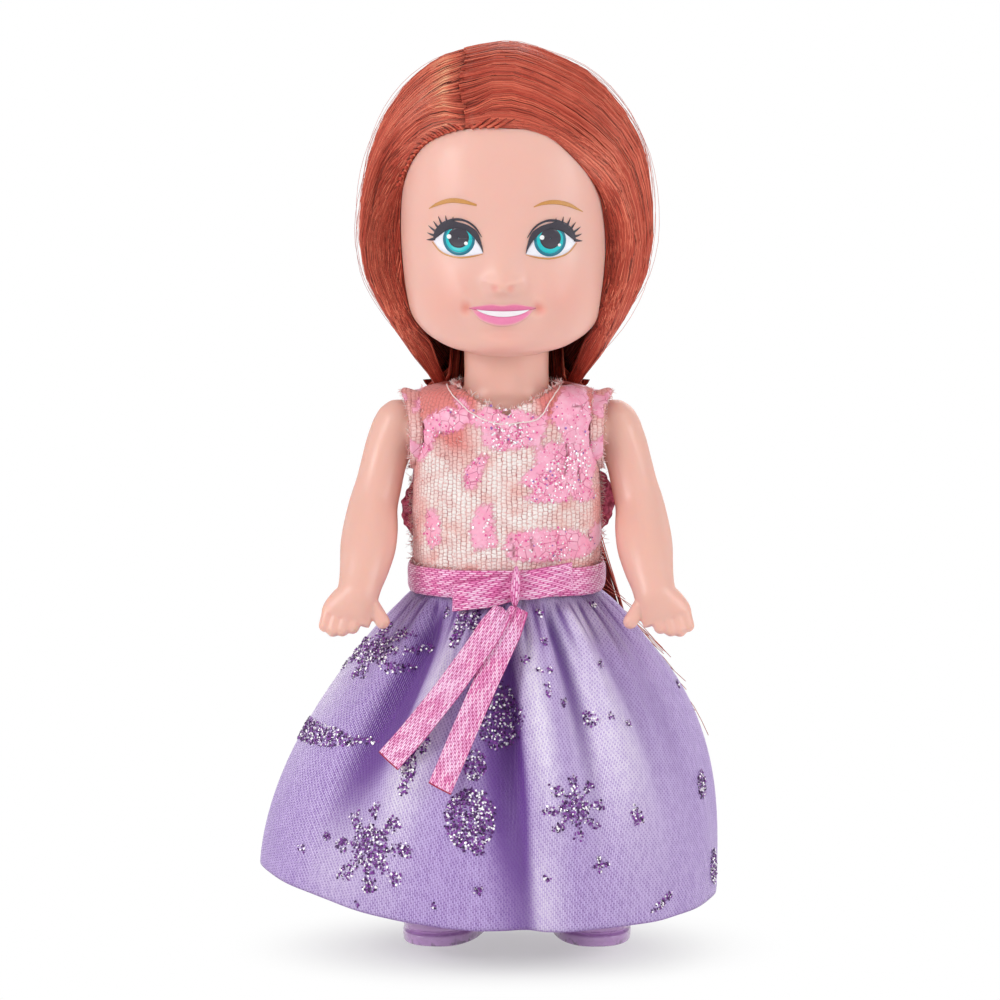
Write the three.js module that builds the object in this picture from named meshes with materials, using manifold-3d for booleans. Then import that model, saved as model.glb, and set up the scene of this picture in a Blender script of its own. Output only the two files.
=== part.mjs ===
// A small vinyl princess doll, about 118 mm tall, in a sleeveless top, a gathered skirt and slip-on shoes.
// Millimetres, +Z up. The doll faces -Y, so its own left hand is on +X. The origin is on the floor, in the
// middle of the footprint. Heights are worked out from the soles upwards.
import * as THREE from "three";
import { mergeVertices } from "three/addons/utils/BufferGeometryUtils.js";
import Module from "manifold-3d";

// Clearances
const FIT_GAP = 0.3; // between pieces that touch on the real doll
const SHAFT_GAP = 0.25; // round each joint plug
const NECK_GAP = 0.4; // between the top of the neck and the head

// Shoes
const SOLE = 1.3;
const SHOE_LENGTH = 17.4;
const SHOE_WIDTH = 10.3;
const SHOE_HEIGHT = 5.6;
const SHOE_WALL = 1.1;
const SOLE_GROOVE = 0.25; // how deep the line between sole and upper is pressed in

// Legs
const LEG_LENGTH = 37.4; // from the underside of the foot to the hip axis
const HIP_RADIUS = 6.2;
const THIGH_WIDTH = 10.4;
const KNEE_WIDTH = 8.4;
const CALF_WIDTH = 8.6;
const ANKLE_WIDTH = 6.8;
const FOOT_HEIGHT = 5.4;
const FOOT_TOE = 6.0; // how far the foot reaches in front of the ankle's middle
const FOOT_HEEL = 5.8;
const STANCE = { left: 11.2, right: 8.0 }; // how far each foot stands from the body's axis
const TOES_TURNED = { left: 6, right: -12 }; // degrees about the vertical
const HIP_PLUG_RADIUS = 1.7;

// Torso
const HIP_TO_WAIST = 9.4;
const WAIST_TO_SHOULDER = 19.4;
const SHOULDER_TO_NECK = 5.2;
const NECK_LENGTH = 6.1;
const HIP_WIDTH = 21.4;
const WAIST_WIDTH = 20.4;
const CHEST_WIDTH = 22.8;
const BELLY_DEPTH = 15.0;
const CHEST_DEPTH = 12.6;
const NECK_WIDTH = 11.2;
const TORSO_WALL = 1.3;
const HIP_WEB = 8.6; // width of the torso between the legs
const NECK_STEM = 7.0; // diameter of the groove that the head turns in
const NECK_KNOB = 10.4;
const NECK_KNOB_HEIGHT = 2.6;

// Arms
const ARM_SEAT_FLAT = 0.5; // how much of the chest's width is cut flat for the arm
const ARM_LENGTH = 20.8; // height from the shoulder axis to the wrist
const UPPER_ARM_WIDTH = 6.0;
const FOREARM_WIDTH = 7.3;
const WRIST_WIDTH = 5.6;
const PALM_WIDTH = 6.3;
const PALM_THICKNESS = 3.2;
const FINGER_WIDTH = 1.7;
const FINGER_LENGTH = 2.7;
const THUMB_WIDTH = 2.3;
const SHOULDER_BOSS = 6.6;
const ARM_PLUG_RADIUS = 1.5;
const PLUG_FLANGE = 1.0; // how far a plug's retaining flange stands out
const FLANGE_THICKNESS = 0.8;

// Head
const HEAD_WIDTH = 28.0;
const FACE_DEPTH = 13.9; // from the neck's axis to the front of the face
const SKULL_DEPTH = 14.2; // from the neck's axis to the back of the head
const HEAD_HEIGHT = 36.4;
const CHIN_DROP = 1.9; // how far the chin hangs below the neck joint
const HEAD_WALL = 1.5;
const NOSE = 1.9;
const CHEEK = 0.7;
const CHIN = 0.8;
const EYE_HOLLOW = 0.5;

// Hair
const HAIR_SIDE = 5.3; // thickness over the side of the head
const HAIR_TOP = 4.8;
const HAIR_BACK = 4.6;
const HAIR_FRONT = 1.1; // thickness at the hairline
const PARTING = -5.6; // the parting lies off the middle
const HAIR_NECK_WIDTH = 19.4; // where the hair is drawn in over the shoulders
const HAIR_NAPE = 12.6; // how far the hair hangs behind the neck's axis
const FALL_LENGTH = 51; // of the long hair below the shoulders
const FALL_THICKNESS = 2.6;

// Dress
const CLOTH = 0.5;
const TOP_EASE = 0.9; // looseness of the top at the chest
const NECKLINE_WIDTH = 14.6;
const NECKLINE_DEPTH = 15.8;
const ARMHOLE = 11.0;
const BINDING = 0.6;
const SLEEVE_CAP = 1.2; // how far the binding stands out over the arm's top
const TAPE = 0.3;
const TAPE_GAP = 0.1;
const FLAP_WIDTH = 4.6; // how far the back opening overlaps
const RIBBON_WIDTH = 3.6;
const RIBBON = 0.45;
const BOW_LOOP = { left: 7.2, right: 7.9 };
const BOW_SLOPE = 0.17; // the bow climbs towards the doll's left
const BOW_PLACE = 1.0; // the bow sits this far to the doll's left
const TAILS = [
  { name: "ribbon_tail_right", length: 24.0, start: -0.1, lean: -37, lift: 1.15 },
  { name: "ribbon_tail_left", length: 24.3, start: 1.7, lean: -25, lift: 0.35 },
];
const SKIRT_LENGTH = 42.0;
const SKIRT_COLLAR = 1.6; // the straight band under the waist ribbon
const HEM_REACH = { left: 28.0, right: 32.6, front: 25.4, back: 23.4 }; // from the body's axis
const HEM_LIFT = 4.2; // the doll's right side of the hem hangs higher
const GATHERS = 18;
const GATHER_DEPTH = 0.4;
// The main folds: degrees round from the front at the waist and at the hem, half width in degrees, depth in
// millimetres (a ridge is negative), where down the skirt it is deepest, and the share that reaches the hem.
const FOLDS = [
  { top: -19, hem: -40, wide: 9, deep: 2.8, at: 0.4, kept: 0.15 },
  { top: -6, hem: -14, wide: 9, deep: -1.3, at: 0.5, kept: 0.4 },
  { top: 4, hem: 8, wide: 8, deep: 3.2, at: 0.55, kept: 0.45 },
  { top: 15, hem: 22, wide: 8, deep: -1.3, at: 0.5, kept: 0.4 },
  { top: 25, hem: 36, wide: 7, deep: 1.5, at: 0.25, kept: 0.1 },
  { top: -52, hem: -60, wide: 10, deep: 1.4, at: 0.2, kept: 0.1 },
  { top: 62, hem: 66, wide: 13, deep: 1.0, at: 0.35, kept: 0.3 },
  { top: 112, hem: 118, wide: 12, deep: 2.0, at: 0.5, kept: 0.5 },
  { top: 146, hem: 150, wide: 11, deep: 1.8, at: 0.45, kept: 0.4 },
  { top: -112, hem: -108, wide: 12, deep: 2.1, at: 0.5, kept: 0.5 },
  { top: -148, hem: -146, wide: 11, deep: 1.7, at: 0.5, kept: 0.4 },
];

// Heights, from the floor upwards
const FOOT_BASE = SOLE + FIT_GAP;
const HIP_Z = FOOT_BASE + LEG_LENGTH;
const WAIST_Z = HIP_Z + HIP_TO_WAIST;
const SHOULDER_Z = WAIST_Z + WAIST_TO_SHOULDER;
const MIDRIFF_Z = (WAIST_Z + SHOULDER_Z) / 2;
const NECK_BASE = SHOULDER_Z + SHOULDER_TO_NECK;
const SLOPE_Z = (SHOULDER_Z + NECK_BASE) / 2; // halfway up the shoulder's slope
const NECK_TOP = NECK_BASE + NECK_LENGTH;
const HEAD_SEAT = NECK_TOP + NECK_GAP; // the rim of the head's neck opening
const HEAD_BASE = HEAD_SEAT - CHIN_DROP;
const HEAD_TOP = HEAD_BASE + HEAD_HEIGHT;
const ARM_SEAT = CHEST_WIDTH / 2 - ARM_SEAT_FLAT;
const HIP_SEAT = HIP_WEB / 2;

const wasm = await Module();
wasm.setup();

const DEGREE = Math.PI / 180;
const UP = new THREE.Vector3(0, 0, 1);
const lerp = THREE.MathUtils.lerp;
const clamp = THREE.MathUtils.clamp;
const bell = (x) => Math.exp(-x * x);
const power = (x, p) => Math.sign(x) * Math.abs(x) ** p;

// A smooth curve through rows of [place, value, value, ...]: returns the values at a place.
function smooth(rows) {
  const last = rows.length - 1;
  const slope = (i, k) => {
    const a = rows[Math.max(i - 1, 0)];
    const b = rows[Math.min(i + 1, last)];
    return (b[k] - a[k]) / (b[0] - a[0]);
  };
  return (place) => {
    const x = clamp(place, rows[0][0], rows[last][0]);
    let i = 0;
    while (i < last - 1 && rows[i + 1][0] < x) i += 1;
    const step = rows[i + 1][0] - rows[i][0];
    const t = (x - rows[i][0]) / step;
    return rows[i].slice(1).map((start, n) => {
      const end = rows[i + 1][n + 1];
      const h = t * t * (3 - 2 * t);
      const m0 = slope(i, n + 1) * step * t * (1 - t) * (1 - t);
      const m1 = slope(i + 1, n + 1) * step * t * t * (1 - t);
      return start + (end - start) * h + m0 - m1;
    });
  };
}

const steps = (from, to, count) =>
  Array.from({ length: count + 1 }, (_, i) => lerp(from, to, i / count));

// A level ring round the body, starting at the front and going towards +X. Its sides are a superellipse.
function levelRing({ x = 0, y = 0, z, side, front, back = front, squareness = 2 }, count) {
  return Array.from({ length: count }, (_, i) => {
    const a = (2 * Math.PI * i) / count;
    const across = power(Math.sin(a), 2 / squareness);
    const along = power(Math.cos(a), 2 / squareness);
    return new THREE.Vector3(x + side * across, y - (along > 0 ? front : back) * along, z);
  });
}

// A closed skin over rings of equal count, with a fan over each end.
function loft(rings) {
  const count = rings[0].length;
  const points = rings.flat();
  const faces = [];
  for (let r = 0; r < rings.length - 1; r += 1) {
    for (let i = 0; i < count; i += 1) {
      const [a, b] = [r * count + i, r * count + ((i + 1) % count)];
      faces.push(a, b, b + count, a, b + count, a + count);
    }
  }
  const middle = (ring) =>
    ring.reduce((sum, p) => sum.add(p), new THREE.Vector3()).divideScalar(count);
  const first = points.push(middle(rings[0])) - 1;
  const end = points.push(middle(rings[rings.length - 1])) - 1;
  const top = (rings.length - 1) * count;
  for (let i = 0; i < count; i += 1) {
    const j = (i + 1) % count;
    faces.push(first, j, i, end, top + i, top + j);
  }
  return meshOf(points, faces);
}

function meshOf(points, faces) {
  const geometry = new THREE.BufferGeometry().setFromPoints(points);
  geometry.setIndex(faces);
  return geometry;
}

// A three.js geometry as a solid for cutting and joining. A skin that came out inside out is turned round.
function solid(geometry) {
  const bare = new THREE.BufferGeometry();
  const source = geometry.index ? geometry : mergeVertices(geometry);
  bare.setAttribute("position", source.getAttribute("position"));
  bare.setIndex(source.index);
  const merged = mergeVertices(bare, 1e-4);
  const build = (triVerts) =>
    new wasm.Manifold(
      new wasm.Mesh({ numProp: 3, vertProperties: merged.attributes.position.array, triVerts }),
    );
  const faces = new Uint32Array(merged.index.array);
  const made = build(faces);
  return made.volume() > 0 ? made : build(faces.reverse());
}

// A solid's skin as a three.js geometry.
function skinOf(made) {
  const mesh = made.getMesh();
  const geometry = new THREE.BufferGeometry();
  const places = new Float32Array(mesh.numVert * 3);
  for (let i = 0; i < mesh.numVert; i += 1) {
    places.set(mesh.vertProperties.subarray(i * mesh.numProp, i * mesh.numProp + 3), i * 3);
  }
  geometry.setAttribute("position", new THREE.BufferAttribute(places, 3));
  geometry.setIndex(new THREE.BufferAttribute(mesh.triVerts, 1));
  geometry.computeVertexNormals();
  return geometry;
}

const join = (...solids) => solids.reduce((sum, s) => sum.add(s));

function block(low, high) {
  const size = high.map((h, i) => h - low[i]);
  const box = new THREE.BoxGeometry(...size);
  box.translate(...low.map((l, i) => l + size[i] / 2));
  return solid(box);
}

// A round bar along X, between two places on it.
function barAcross(from, to, radius, y, z, sides = 16) {
  const bar = new THREE.CylinderGeometry(radius, radius, Math.abs(to - from), sides);
  bar.rotateZ(Math.PI / 2);
  bar.translate((from + to) / 2, y, z);
  return solid(bar);
}

function barUp(low, high, radius, sides = 24) {
  const bar = new THREE.CylinderGeometry(radius, radius, high - low, sides);
  bar.rotateX(Math.PI / 2);
  bar.translate(0, 0, (low + high) / 2);
  return solid(bar);
}

const FAR = 200; // past every edge of the doll
const frontHalf = () => block([-FAR, -FAR, -FAR], [FAR, -FIT_GAP / 2, FAR]);
const backHalf = () => block([-FAR, FIT_GAP / 2, -FAR], [FAR, FAR, FAR]);
const between = (x0, x1) => block([x0, -FAR, -FAR], [x1, FAR, FAR]);

// Torso: two moulded shells, front and back, round a hollow that holds the arm and leg plugs

const CROTCH = HIP_Z - HIP_RADIUS - 0.6;
const torsoShape = smooth([
  [CROTCH, HIP_WIDTH * 0.12, BELLY_DEPTH * 0.14],
  [CROTCH + 1.4, HIP_WIDTH * 0.3, BELLY_DEPTH * 0.32],
  [HIP_Z - 2.4, HIP_WIDTH * 0.43, BELLY_DEPTH * 0.45],
  [HIP_Z + 2.5, HIP_WIDTH * 0.5, BELLY_DEPTH * 0.5],
  [WAIST_Z, WAIST_WIDTH * 0.5, BELLY_DEPTH * 0.5],
  [MIDRIFF_Z, lerp(WAIST_WIDTH, CHEST_WIDTH, 0.4) * 0.5, lerp(BELLY_DEPTH, CHEST_DEPTH, 0.5) * 0.5],
  [SHOULDER_Z - 3.5, CHEST_WIDTH * 0.49, CHEST_DEPTH * 0.5],
  [SHOULDER_Z, CHEST_WIDTH * 0.5, CHEST_DEPTH * 0.49],
  [SLOPE_Z, CHEST_WIDTH * 0.46, CHEST_DEPTH * 0.46],
  [lerp(SHOULDER_Z, NECK_BASE, 0.8), CHEST_WIDTH * 0.36, CHEST_DEPTH * 0.43],
  [NECK_BASE, NECK_WIDTH * 0.53, NECK_WIDTH * 0.5],
]);

function torsoForm(inset) {
  const top = NECK_BASE - inset * 1.6;
  return solid(
    loft(
      steps(CROTCH + inset, top, inset ? 9 : 14).map((z) => {
        const [side, depth] = torsoShape(z);
        return levelRing({ z, side: side - inset, front: depth - inset, squareness: 2.5 }, inset ? 20 : 32);
      }),
    ),
  );
}

function neck() {
  const stem = NECK_TOP + HEAD_WALL + 2 * NECK_GAP;
  const post = solid(
    loft([
      levelRing({ z: NECK_BASE - TORSO_WALL, side: NECK_WIDTH * 0.53, front: NECK_WIDTH * 0.5 }, 28),
      levelRing({ z: NECK_BASE, side: NECK_WIDTH * 0.53, front: NECK_WIDTH * 0.5 }, 28),
      levelRing({ z: NECK_BASE + 1.2, side: NECK_WIDTH * 0.5, front: NECK_WIDTH * 0.49 }, 28),
      levelRing({ z: NECK_TOP, side: NECK_WIDTH * 0.5, front: NECK_WIDTH * 0.49 }, 28),
    ]),
  );
  const knob = new THREE.LatheGeometry(
    [
      [0, NECK_TOP - 1],
      [NECK_STEM / 2, NECK_TOP - 1],
      [NECK_STEM / 2, stem],
      [NECK_KNOB / 2, stem],
      [NECK_KNOB / 2, stem + NECK_KNOB_HEIGHT * 0.45],
      [NECK_KNOB * 0.36, stem + NECK_KNOB_HEIGHT],
      [0, stem + NECK_KNOB_HEIGHT],
    ].map(([x, y]) => new THREE.Vector2(x, y)),
    24,
  );
  knob.rotateX(Math.PI / 2);
  return post.add(solid(knob));
}

function torso() {
  const legRoom = (side, extra) =>
    barAcross(side * (HIP_SEAT - extra), side * FAR, HIP_RADIUS + FIT_GAP + extra, 0, HIP_Z, 24);
  let body = torsoForm(0);
  let hollow = torsoForm(TORSO_WALL);
  for (const side of [-1, 1]) {
    body = body.subtract(between(side * FAR, side * ARM_SEAT)).subtract(legRoom(side, 0));
    hollow = hollow
      .subtract(between(side * FAR, side * (ARM_SEAT - TORSO_WALL)))
      .subtract(legRoom(side, TORSO_WALL));
  }
  body = join(body, neck()).subtract(hollow);
  for (const side of [-1, 1]) {
    const armFlange = ARM_PLUG_RADIUS + PLUG_FLANGE + FIT_GAP;
    body = body
      .subtract(barAcross(0, side * FAR, ARM_PLUG_RADIUS + SHAFT_GAP, 0, SHOULDER_Z))
      .subtract(barAcross(0, side * (ARM_SEAT - TORSO_WALL), armFlange, 0, SHOULDER_Z))
      .subtract(barAcross(0, side * FAR, HIP_PLUG_RADIUS + SHAFT_GAP, 0, HIP_Z));
  }
  return body;
}

// A plug with a retaining flange, which snaps through the torso's wall and turns in it.
function plug(seat, radius, z) {
  const inner = seat - TORSO_WALL - FIT_GAP;
  return join(
    barAcross(inner - FLANGE_THICKNESS / 2, seat + FIT_GAP + 0.6, radius, 0, z),
    barAcross(inner - FLANGE_THICKNESS, inner, radius + PLUG_FLANGE, 0, z),
  );
}

// Arms: one soft moulding each, bent at the elbow, with the hand and the shoulder plug

// Stations down the arm's middle, from the shoulder: outwards, forwards, down, half width, half thickness.
const ARM_STATIONS = (() => {
  const [upper, fore, wrist] = [UPPER_ARM_WIDTH / 2, FOREARM_WIDTH / 2, WRIST_WIDTH / 2];
  const down = (share) => -ARM_LENGTH * share;
  return [
    [2.3, 0, 3.75, 0.5, 0.5],
    [2.45, 0, 3.2, 1.9, 1.9],
    [2.75, 0, 1.9, 2.95, 2.95],
    [3.25, 0, 0, 3.4, 3.4],
    [4.3, 0.3, down(0.11), upper * 1.06, upper * 1.08],
    [5.0, 0.7, down(0.21), upper, upper * 1.04],
    [5.7, 1.5, down(0.35), upper * 1.02, upper * 1.04],
    [6.4, 2.6, down(0.48), lerp(upper, fore, 0.4), lerp(upper, fore, 0.3)],
    [6.7, 4.4, down(0.61), fore * 0.99, fore * 0.97],
    [7.0, 6.4, down(0.72), fore, fore * 0.95],
    [7.4, 8.4, down(0.83), lerp(fore, wrist, 0.45), lerp(fore, wrist, 0.5)],
    [7.9, 10.0, down(0.93), wrist * 1.02, wrist * 0.95],
    [8.3, 10.9, down(1), wrist, wrist * 0.9],
  ];
})();
const WRIST = ARM_STATIONS[ARM_STATIONS.length - 1];
// The hand's stations go on from the wrist: outwards, forwards and down from it, half width, half thickness.
const HAND_STATIONS = [
  [0.6, 0.4, -1.1, PALM_WIDTH * 0.47, PALM_THICKNESS * 0.58],
  [1.3, 0.8, -2.2, PALM_WIDTH * 0.5, PALM_THICKNESS * 0.5],
  [1.7, 1.1, -3.2, PALM_WIDTH * 0.5, PALM_THICKNESS * 0.42],
];

// A skin round a bent middle line; each ring is square to the line and its width lies across the body.
function limb(stations, count) {
  const line = stations.map(([x, y, z]) => new THREE.Vector3(x, -y, z));
  const rings = stations.map(([, , , wide, thick], i) => {
    const ahead = line[Math.min(i + 1, line.length - 1)];
    const along = ahead.clone().sub(line[Math.max(i - 1, 0)]).normalize();
    const across = new THREE.Vector3(1, 0, 0);
    across.addScaledVector(along, -across.dot(along)).normalize();
    const through = new THREE.Vector3().crossVectors(along, across);
    return Array.from({ length: count }, (_, n) => {
      const a = (2 * Math.PI * n) / count;
      return line[i]
        .clone()
        .addScaledVector(across, wide * Math.cos(a))
        .addScaledVector(through, thick * Math.sin(a));
    });
  });
  return solid(loft(rings));
}

// A finger: a short round-ended bar between two points.
function finger(from, to, radius) {
  const [a, b] = [from, to].map(([x, y, z]) => new THREE.Vector3(x, -y, z));
  const bar = new THREE.CapsuleGeometry(radius, a.distanceTo(b), 2, 7);
  bar.applyQuaternion(
    new THREE.Quaternion().setFromUnitVectors(new THREE.Vector3(0, 1, 0), b.clone().sub(a).normalize()),
  );
  bar.translate(...a.clone().add(b).divideScalar(2).toArray());
  return solid(bar);
}

function hand() {
  const [wx, wy, wz] = WRIST;
  const palm = HAND_STATIONS.map(([x, y, z, wide, thick]) => [wx + x, wy + y, wz + z, wide, thick]);
  const parts = [limb([WRIST, ...palm], 12)];
  const [kx, ky, kz] = palm[palm.length - 1];
  const reach = [0.55, 1, 0.95, 0.6]; // each finger's share of the longest, from the thumb's side
  reach.forEach((share, i) => {
    const off = (i - (reach.length - 1) / 2) * (FINGER_WIDTH * 0.82);
    const tip = [kx + off * 1.12 + 0.4, ky + 0.3, kz - FINGER_LENGTH * share * 0.6];
    parts.push(finger([kx + off, ky - 0.1, kz + 1.0], tip, FINGER_WIDTH / 2));
  });
  const thumb = THUMB_WIDTH / 2;
  parts.push(finger([wx - 0.9, wy + 0.5, wz - 0.9], [wx - 2.3, wy + 1.2, wz - 3.4], thumb));
  return join(...parts);
}

function arm(side) {
  const boss = barAcross(0, 3, SHOULDER_BOSS / 2, 0, 0, 24);
  const flesh = join(limb(ARM_STATIONS, 14), hand(), boss).intersect(between(0, FAR));
  const made = flesh
    .translate([ARM_SEAT + FIT_GAP, 0, SHOULDER_Z])
    .add(plug(ARM_SEAT, ARM_PLUG_RADIUS, SHOULDER_Z));
  return side > 0 ? made : made.mirror([1, 0, 0]);
}

// Legs and shoes

function leg(name, side) {
  const out = STANCE[name] - HIP_SEAT - THIGH_WIDTH / 2;
  const turn = TOES_TURNED[name] * DEGREE * side;
  const foot = ANKLE_WIDTH / 2;
  const lean = (z) => clamp((HIP_Z - z) / (HIP_Z - FOOT_HEIGHT), 0, 1);
  const rows = [
    [FOOT_BASE, foot - 0.25, FOOT_TOE - 0.4, FOOT_HEEL - 0.4],
    [FOOT_BASE + 0.7, foot, FOOT_TOE, FOOT_HEEL],
    [FOOT_BASE + FOOT_HEIGHT * 0.5, foot, FOOT_TOE - 0.3, FOOT_HEEL - 0.1],
    [FOOT_BASE + FOOT_HEIGHT, foot - 0.15, FOOT_TOE - 1.8, FOOT_HEEL - 1.0],
    [FOOT_BASE + FOOT_HEIGHT * 1.45, foot - 0.25, FOOT_TOE - 2.8, FOOT_HEEL - 1.9],
    [lerp(FOOT_BASE, HIP_Z, 0.32), CALF_WIDTH * 0.46, 3.6, 4.3],
    [lerp(FOOT_BASE, HIP_Z, 0.45), CALF_WIDTH * 0.5, 4.2, 4.9],
    [lerp(FOOT_BASE, HIP_Z, 0.58), KNEE_WIDTH * 0.5, 4.3, 4.3],
    [lerp(FOOT_BASE, HIP_Z, 0.72), lerp(KNEE_WIDTH, THIGH_WIDTH, 0.5) * 0.5, 4.8, 4.7],
    [lerp(FOOT_BASE, HIP_Z, 0.86), THIGH_WIDTH * 0.5, 5.3, 5.2],
    [HIP_Z - 1, THIGH_WIDTH * 0.49, 5.3, 5.2],
  ];
  const shape = smooth(rows);
  const rings = rows.map(([z]) => {
    const [half, front, back] = shape(z);
    const x = HIP_SEAT + THIGH_WIDTH / 2 + out * lean(z);
    const ring = levelRing({ z, side: half, front, back, squareness: 2.2 }, 18);
    const twist = turn * lean(z);
    return ring.map((p) => p.applyAxisAngle(UP, twist).add(new THREE.Vector3(x, 0, 0)));
  });
  const hip = new THREE.SphereGeometry(1, 22, 14);
  hip.scale(THIGH_WIDTH * 0.56, HIP_RADIUS, HIP_RADIUS);
  hip.translate(HIP_SEAT + THIGH_WIDTH * 0.44, 0, HIP_Z);
  const seat = barAcross(HIP_SEAT, HIP_SEAT + 3, HIP_RADIUS * 0.9, 0, HIP_Z, 24);
  const belowHip = block([0, -FAR, -FAR], [FAR, FAR, HIP_Z - 2]);
  const flesh = join(solid(loft(rings)), solid(hip), seat)
    .intersect(between(HIP_SEAT + FIT_GAP, FAR))
    .intersect(join(barAcross(0, FAR, HIP_RADIUS, 0, HIP_Z, 32), belowHip));
  const made = flesh.add(plug(HIP_SEAT, HIP_PLUG_RADIUS, HIP_Z));
  return side > 0 ? made : made.mirror([1, 0, 0]);
}

// The outline of a foot or shoe at a height, turned and moved to where that foot stands.
function footRing(name, side, { z, half, front, back, squareness = 2.5 }, count) {
  const turn = TOES_TURNED[name] * DEGREE * side;
  return levelRing({ z, side: half, front, back, squareness }, count).map((p) =>
    p.applyAxisAngle(UP, turn).add(new THREE.Vector3(STANCE[name], 0, 0)),
  );
}

function shoe(name, side) {
  const heel = SHOE_WALL + FIT_GAP + FOOT_HEEL;
  const toe = SHOE_LENGTH - heel;
  const levels = [
    [0, 0.95],
    [0.35, 1],
    [SOLE + 0.5, 1],
    [SOLE + 0.7, 1 - SOLE_GROOVE / (SHOE_WIDTH / 2)],
    [SOLE + 0.9, 0.99],
    [SHOE_HEIGHT * 0.66, 0.96],
    [SHOE_HEIGHT * 0.84, 0.88],
    [SHOE_HEIGHT * 0.95, 0.74],
    [SHOE_HEIGHT, 0.5],
  ];
  const half = SHOE_WIDTH / 2;
  const upper = levels.map(([z, share]) =>
    footRing(name, side, { z, half: half * share, front: toe * share, back: heel * share }, 28),
  );
  const outer = solid(loft(upper));
  const throat = Math.min(FOOT_TOE + FIT_GAP, toe - SHOE_WALL);
  const room = solid(
    loft(
      [SOLE, SHOE_HEIGHT + 2].map((z) =>
        footRing(
          name,
          side,
          { z, half: ANKLE_WIDTH / 2 + FIT_GAP, front: throat, back: FOOT_HEEL + FIT_GAP, squareness: 2.25 },
          28,
        ),
      ),
    ),
  );
  const made = outer.subtract(room);
  return side > 0 ? made : made.mirror([1, 0, 0]);
}

// Head: a hollow vinyl ball whose lower rim snaps over the neck's knob

// Up the head as a share of its height, then the half width, the front and the back as shares of their sizes.
const headShape = smooth([
  [0, 0.3, 0.78, -0.36],
  [0.022, 0.52, 0.87, 0.0],
  [0.05, 0.66, 0.92, 0.42],
  [0.09, 0.78, 0.95, 0.64],
  [0.155, 0.89, 0.98, 0.79],
  [0.24, 0.945, 0.995, 0.88],
  [0.33, 0.975, 1.0, 0.945],
  [0.43, 0.995, 0.99, 0.985],
  [0.53, 1.0, 0.975, 1.0],
  [0.63, 0.985, 0.955, 0.985],
  [0.74, 0.925, 0.9, 0.925],
  [0.83, 0.82, 0.8, 0.83],
  [0.91, 0.645, 0.635, 0.66],
  [0.965, 0.43, 0.42, 0.45],
  [1, 0.14, 0.14, 0.15],
]);

// How far the face stands proud of the plain head at a place across and up it, as shares of the head's sizes.
function faceRelief(across, up) {
  const nose = NOSE * bell(across / 0.125) * bell((up - 0.275) / (up > 0.275 ? 0.075 : 0.04));
  const bridge = NOSE * 0.22 * bell(across / 0.14) * bell((up - 0.37) / 0.08);
  const cheeks = CHEEK * bell((Math.abs(across) - 0.5) / 0.26) * bell((up - 0.215) / 0.1);
  const chin = CHIN * bell(across / 0.24) * bell((up - 0.06) / 0.05);
  const eyes = EYE_HOLLOW * bell((Math.abs(across) - 0.46) / 0.24) * bell((up - 0.43) / 0.07);
  return nose + bridge + cheeks + chin - eyes;
}

function headRing(share, grow, count, relief) {
  const [wide, front, back] = headShape(share);
  const half = (wide * HEAD_WIDTH) / 2 + grow;
  const [near, far] = [front * FACE_DEPTH + grow, back * SKULL_DEPTH + grow];
  const middle = (far - near) / 2; // the ring's own centre, which lies forward at the chin
  const z = lerp(HEAD_BASE - grow, HEAD_TOP + grow, share);
  const depth = (near + far) / 2;
  return levelRing({ y: middle, z, side: half, front: depth, squareness: 2.3 }, count).map((p) => {
    if (relief && p.y < 0) p.y -= faceRelief(p.x / (HEAD_WIDTH / 2), share) * clamp(-p.y / 6, 0, 1);
    return p;
  });
}

function headForm(grow, count, levels, relief) {
  return solid(loft(levels.map((share) => headRing(share, grow, count, relief))));
}

function head() {
  const faceLevels = [0, 0.03, 0.06, 0.1, 0.14, 0.18, 0.215, 0.245, 0.275, 0.31, 0.36, 0.41, 0.46, 0.54];
  const outer = headForm(0, 40, [...faceLevels, 0.64, 0.74, 0.83, 0.9, 0.96, 1], true);
  const inner = headForm(-HEAD_WALL, 20, [0, 0.05, 0.12, 0.25, 0.4, 0.55, 0.7, 0.83, 0.93, 1], false);
  const hollow = inner.intersect(block([-FAR, -FAR, HEAD_SEAT + HEAD_WALL], [FAR, FAR, FAR]));
  const opening = barUp(HEAD_SEAT - FAR, HEAD_SEAT + 6, NECK_STEM / 2 + NECK_GAP * 1.6, 24);
  const neckRoom = barUp(HEAD_SEAT - FAR, HEAD_SEAT, NECK_WIDTH / 2 + NECK_GAP, 28);
  return outer.subtract(hollow).subtract(opening).subtract(neckRoom);
}

// Hair: rooted along a side parting and combed down, with the long part falling over the back

const HEAD_MIDDLE = lerp(HEAD_BASE, HEAD_TOP, 0.42);

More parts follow.
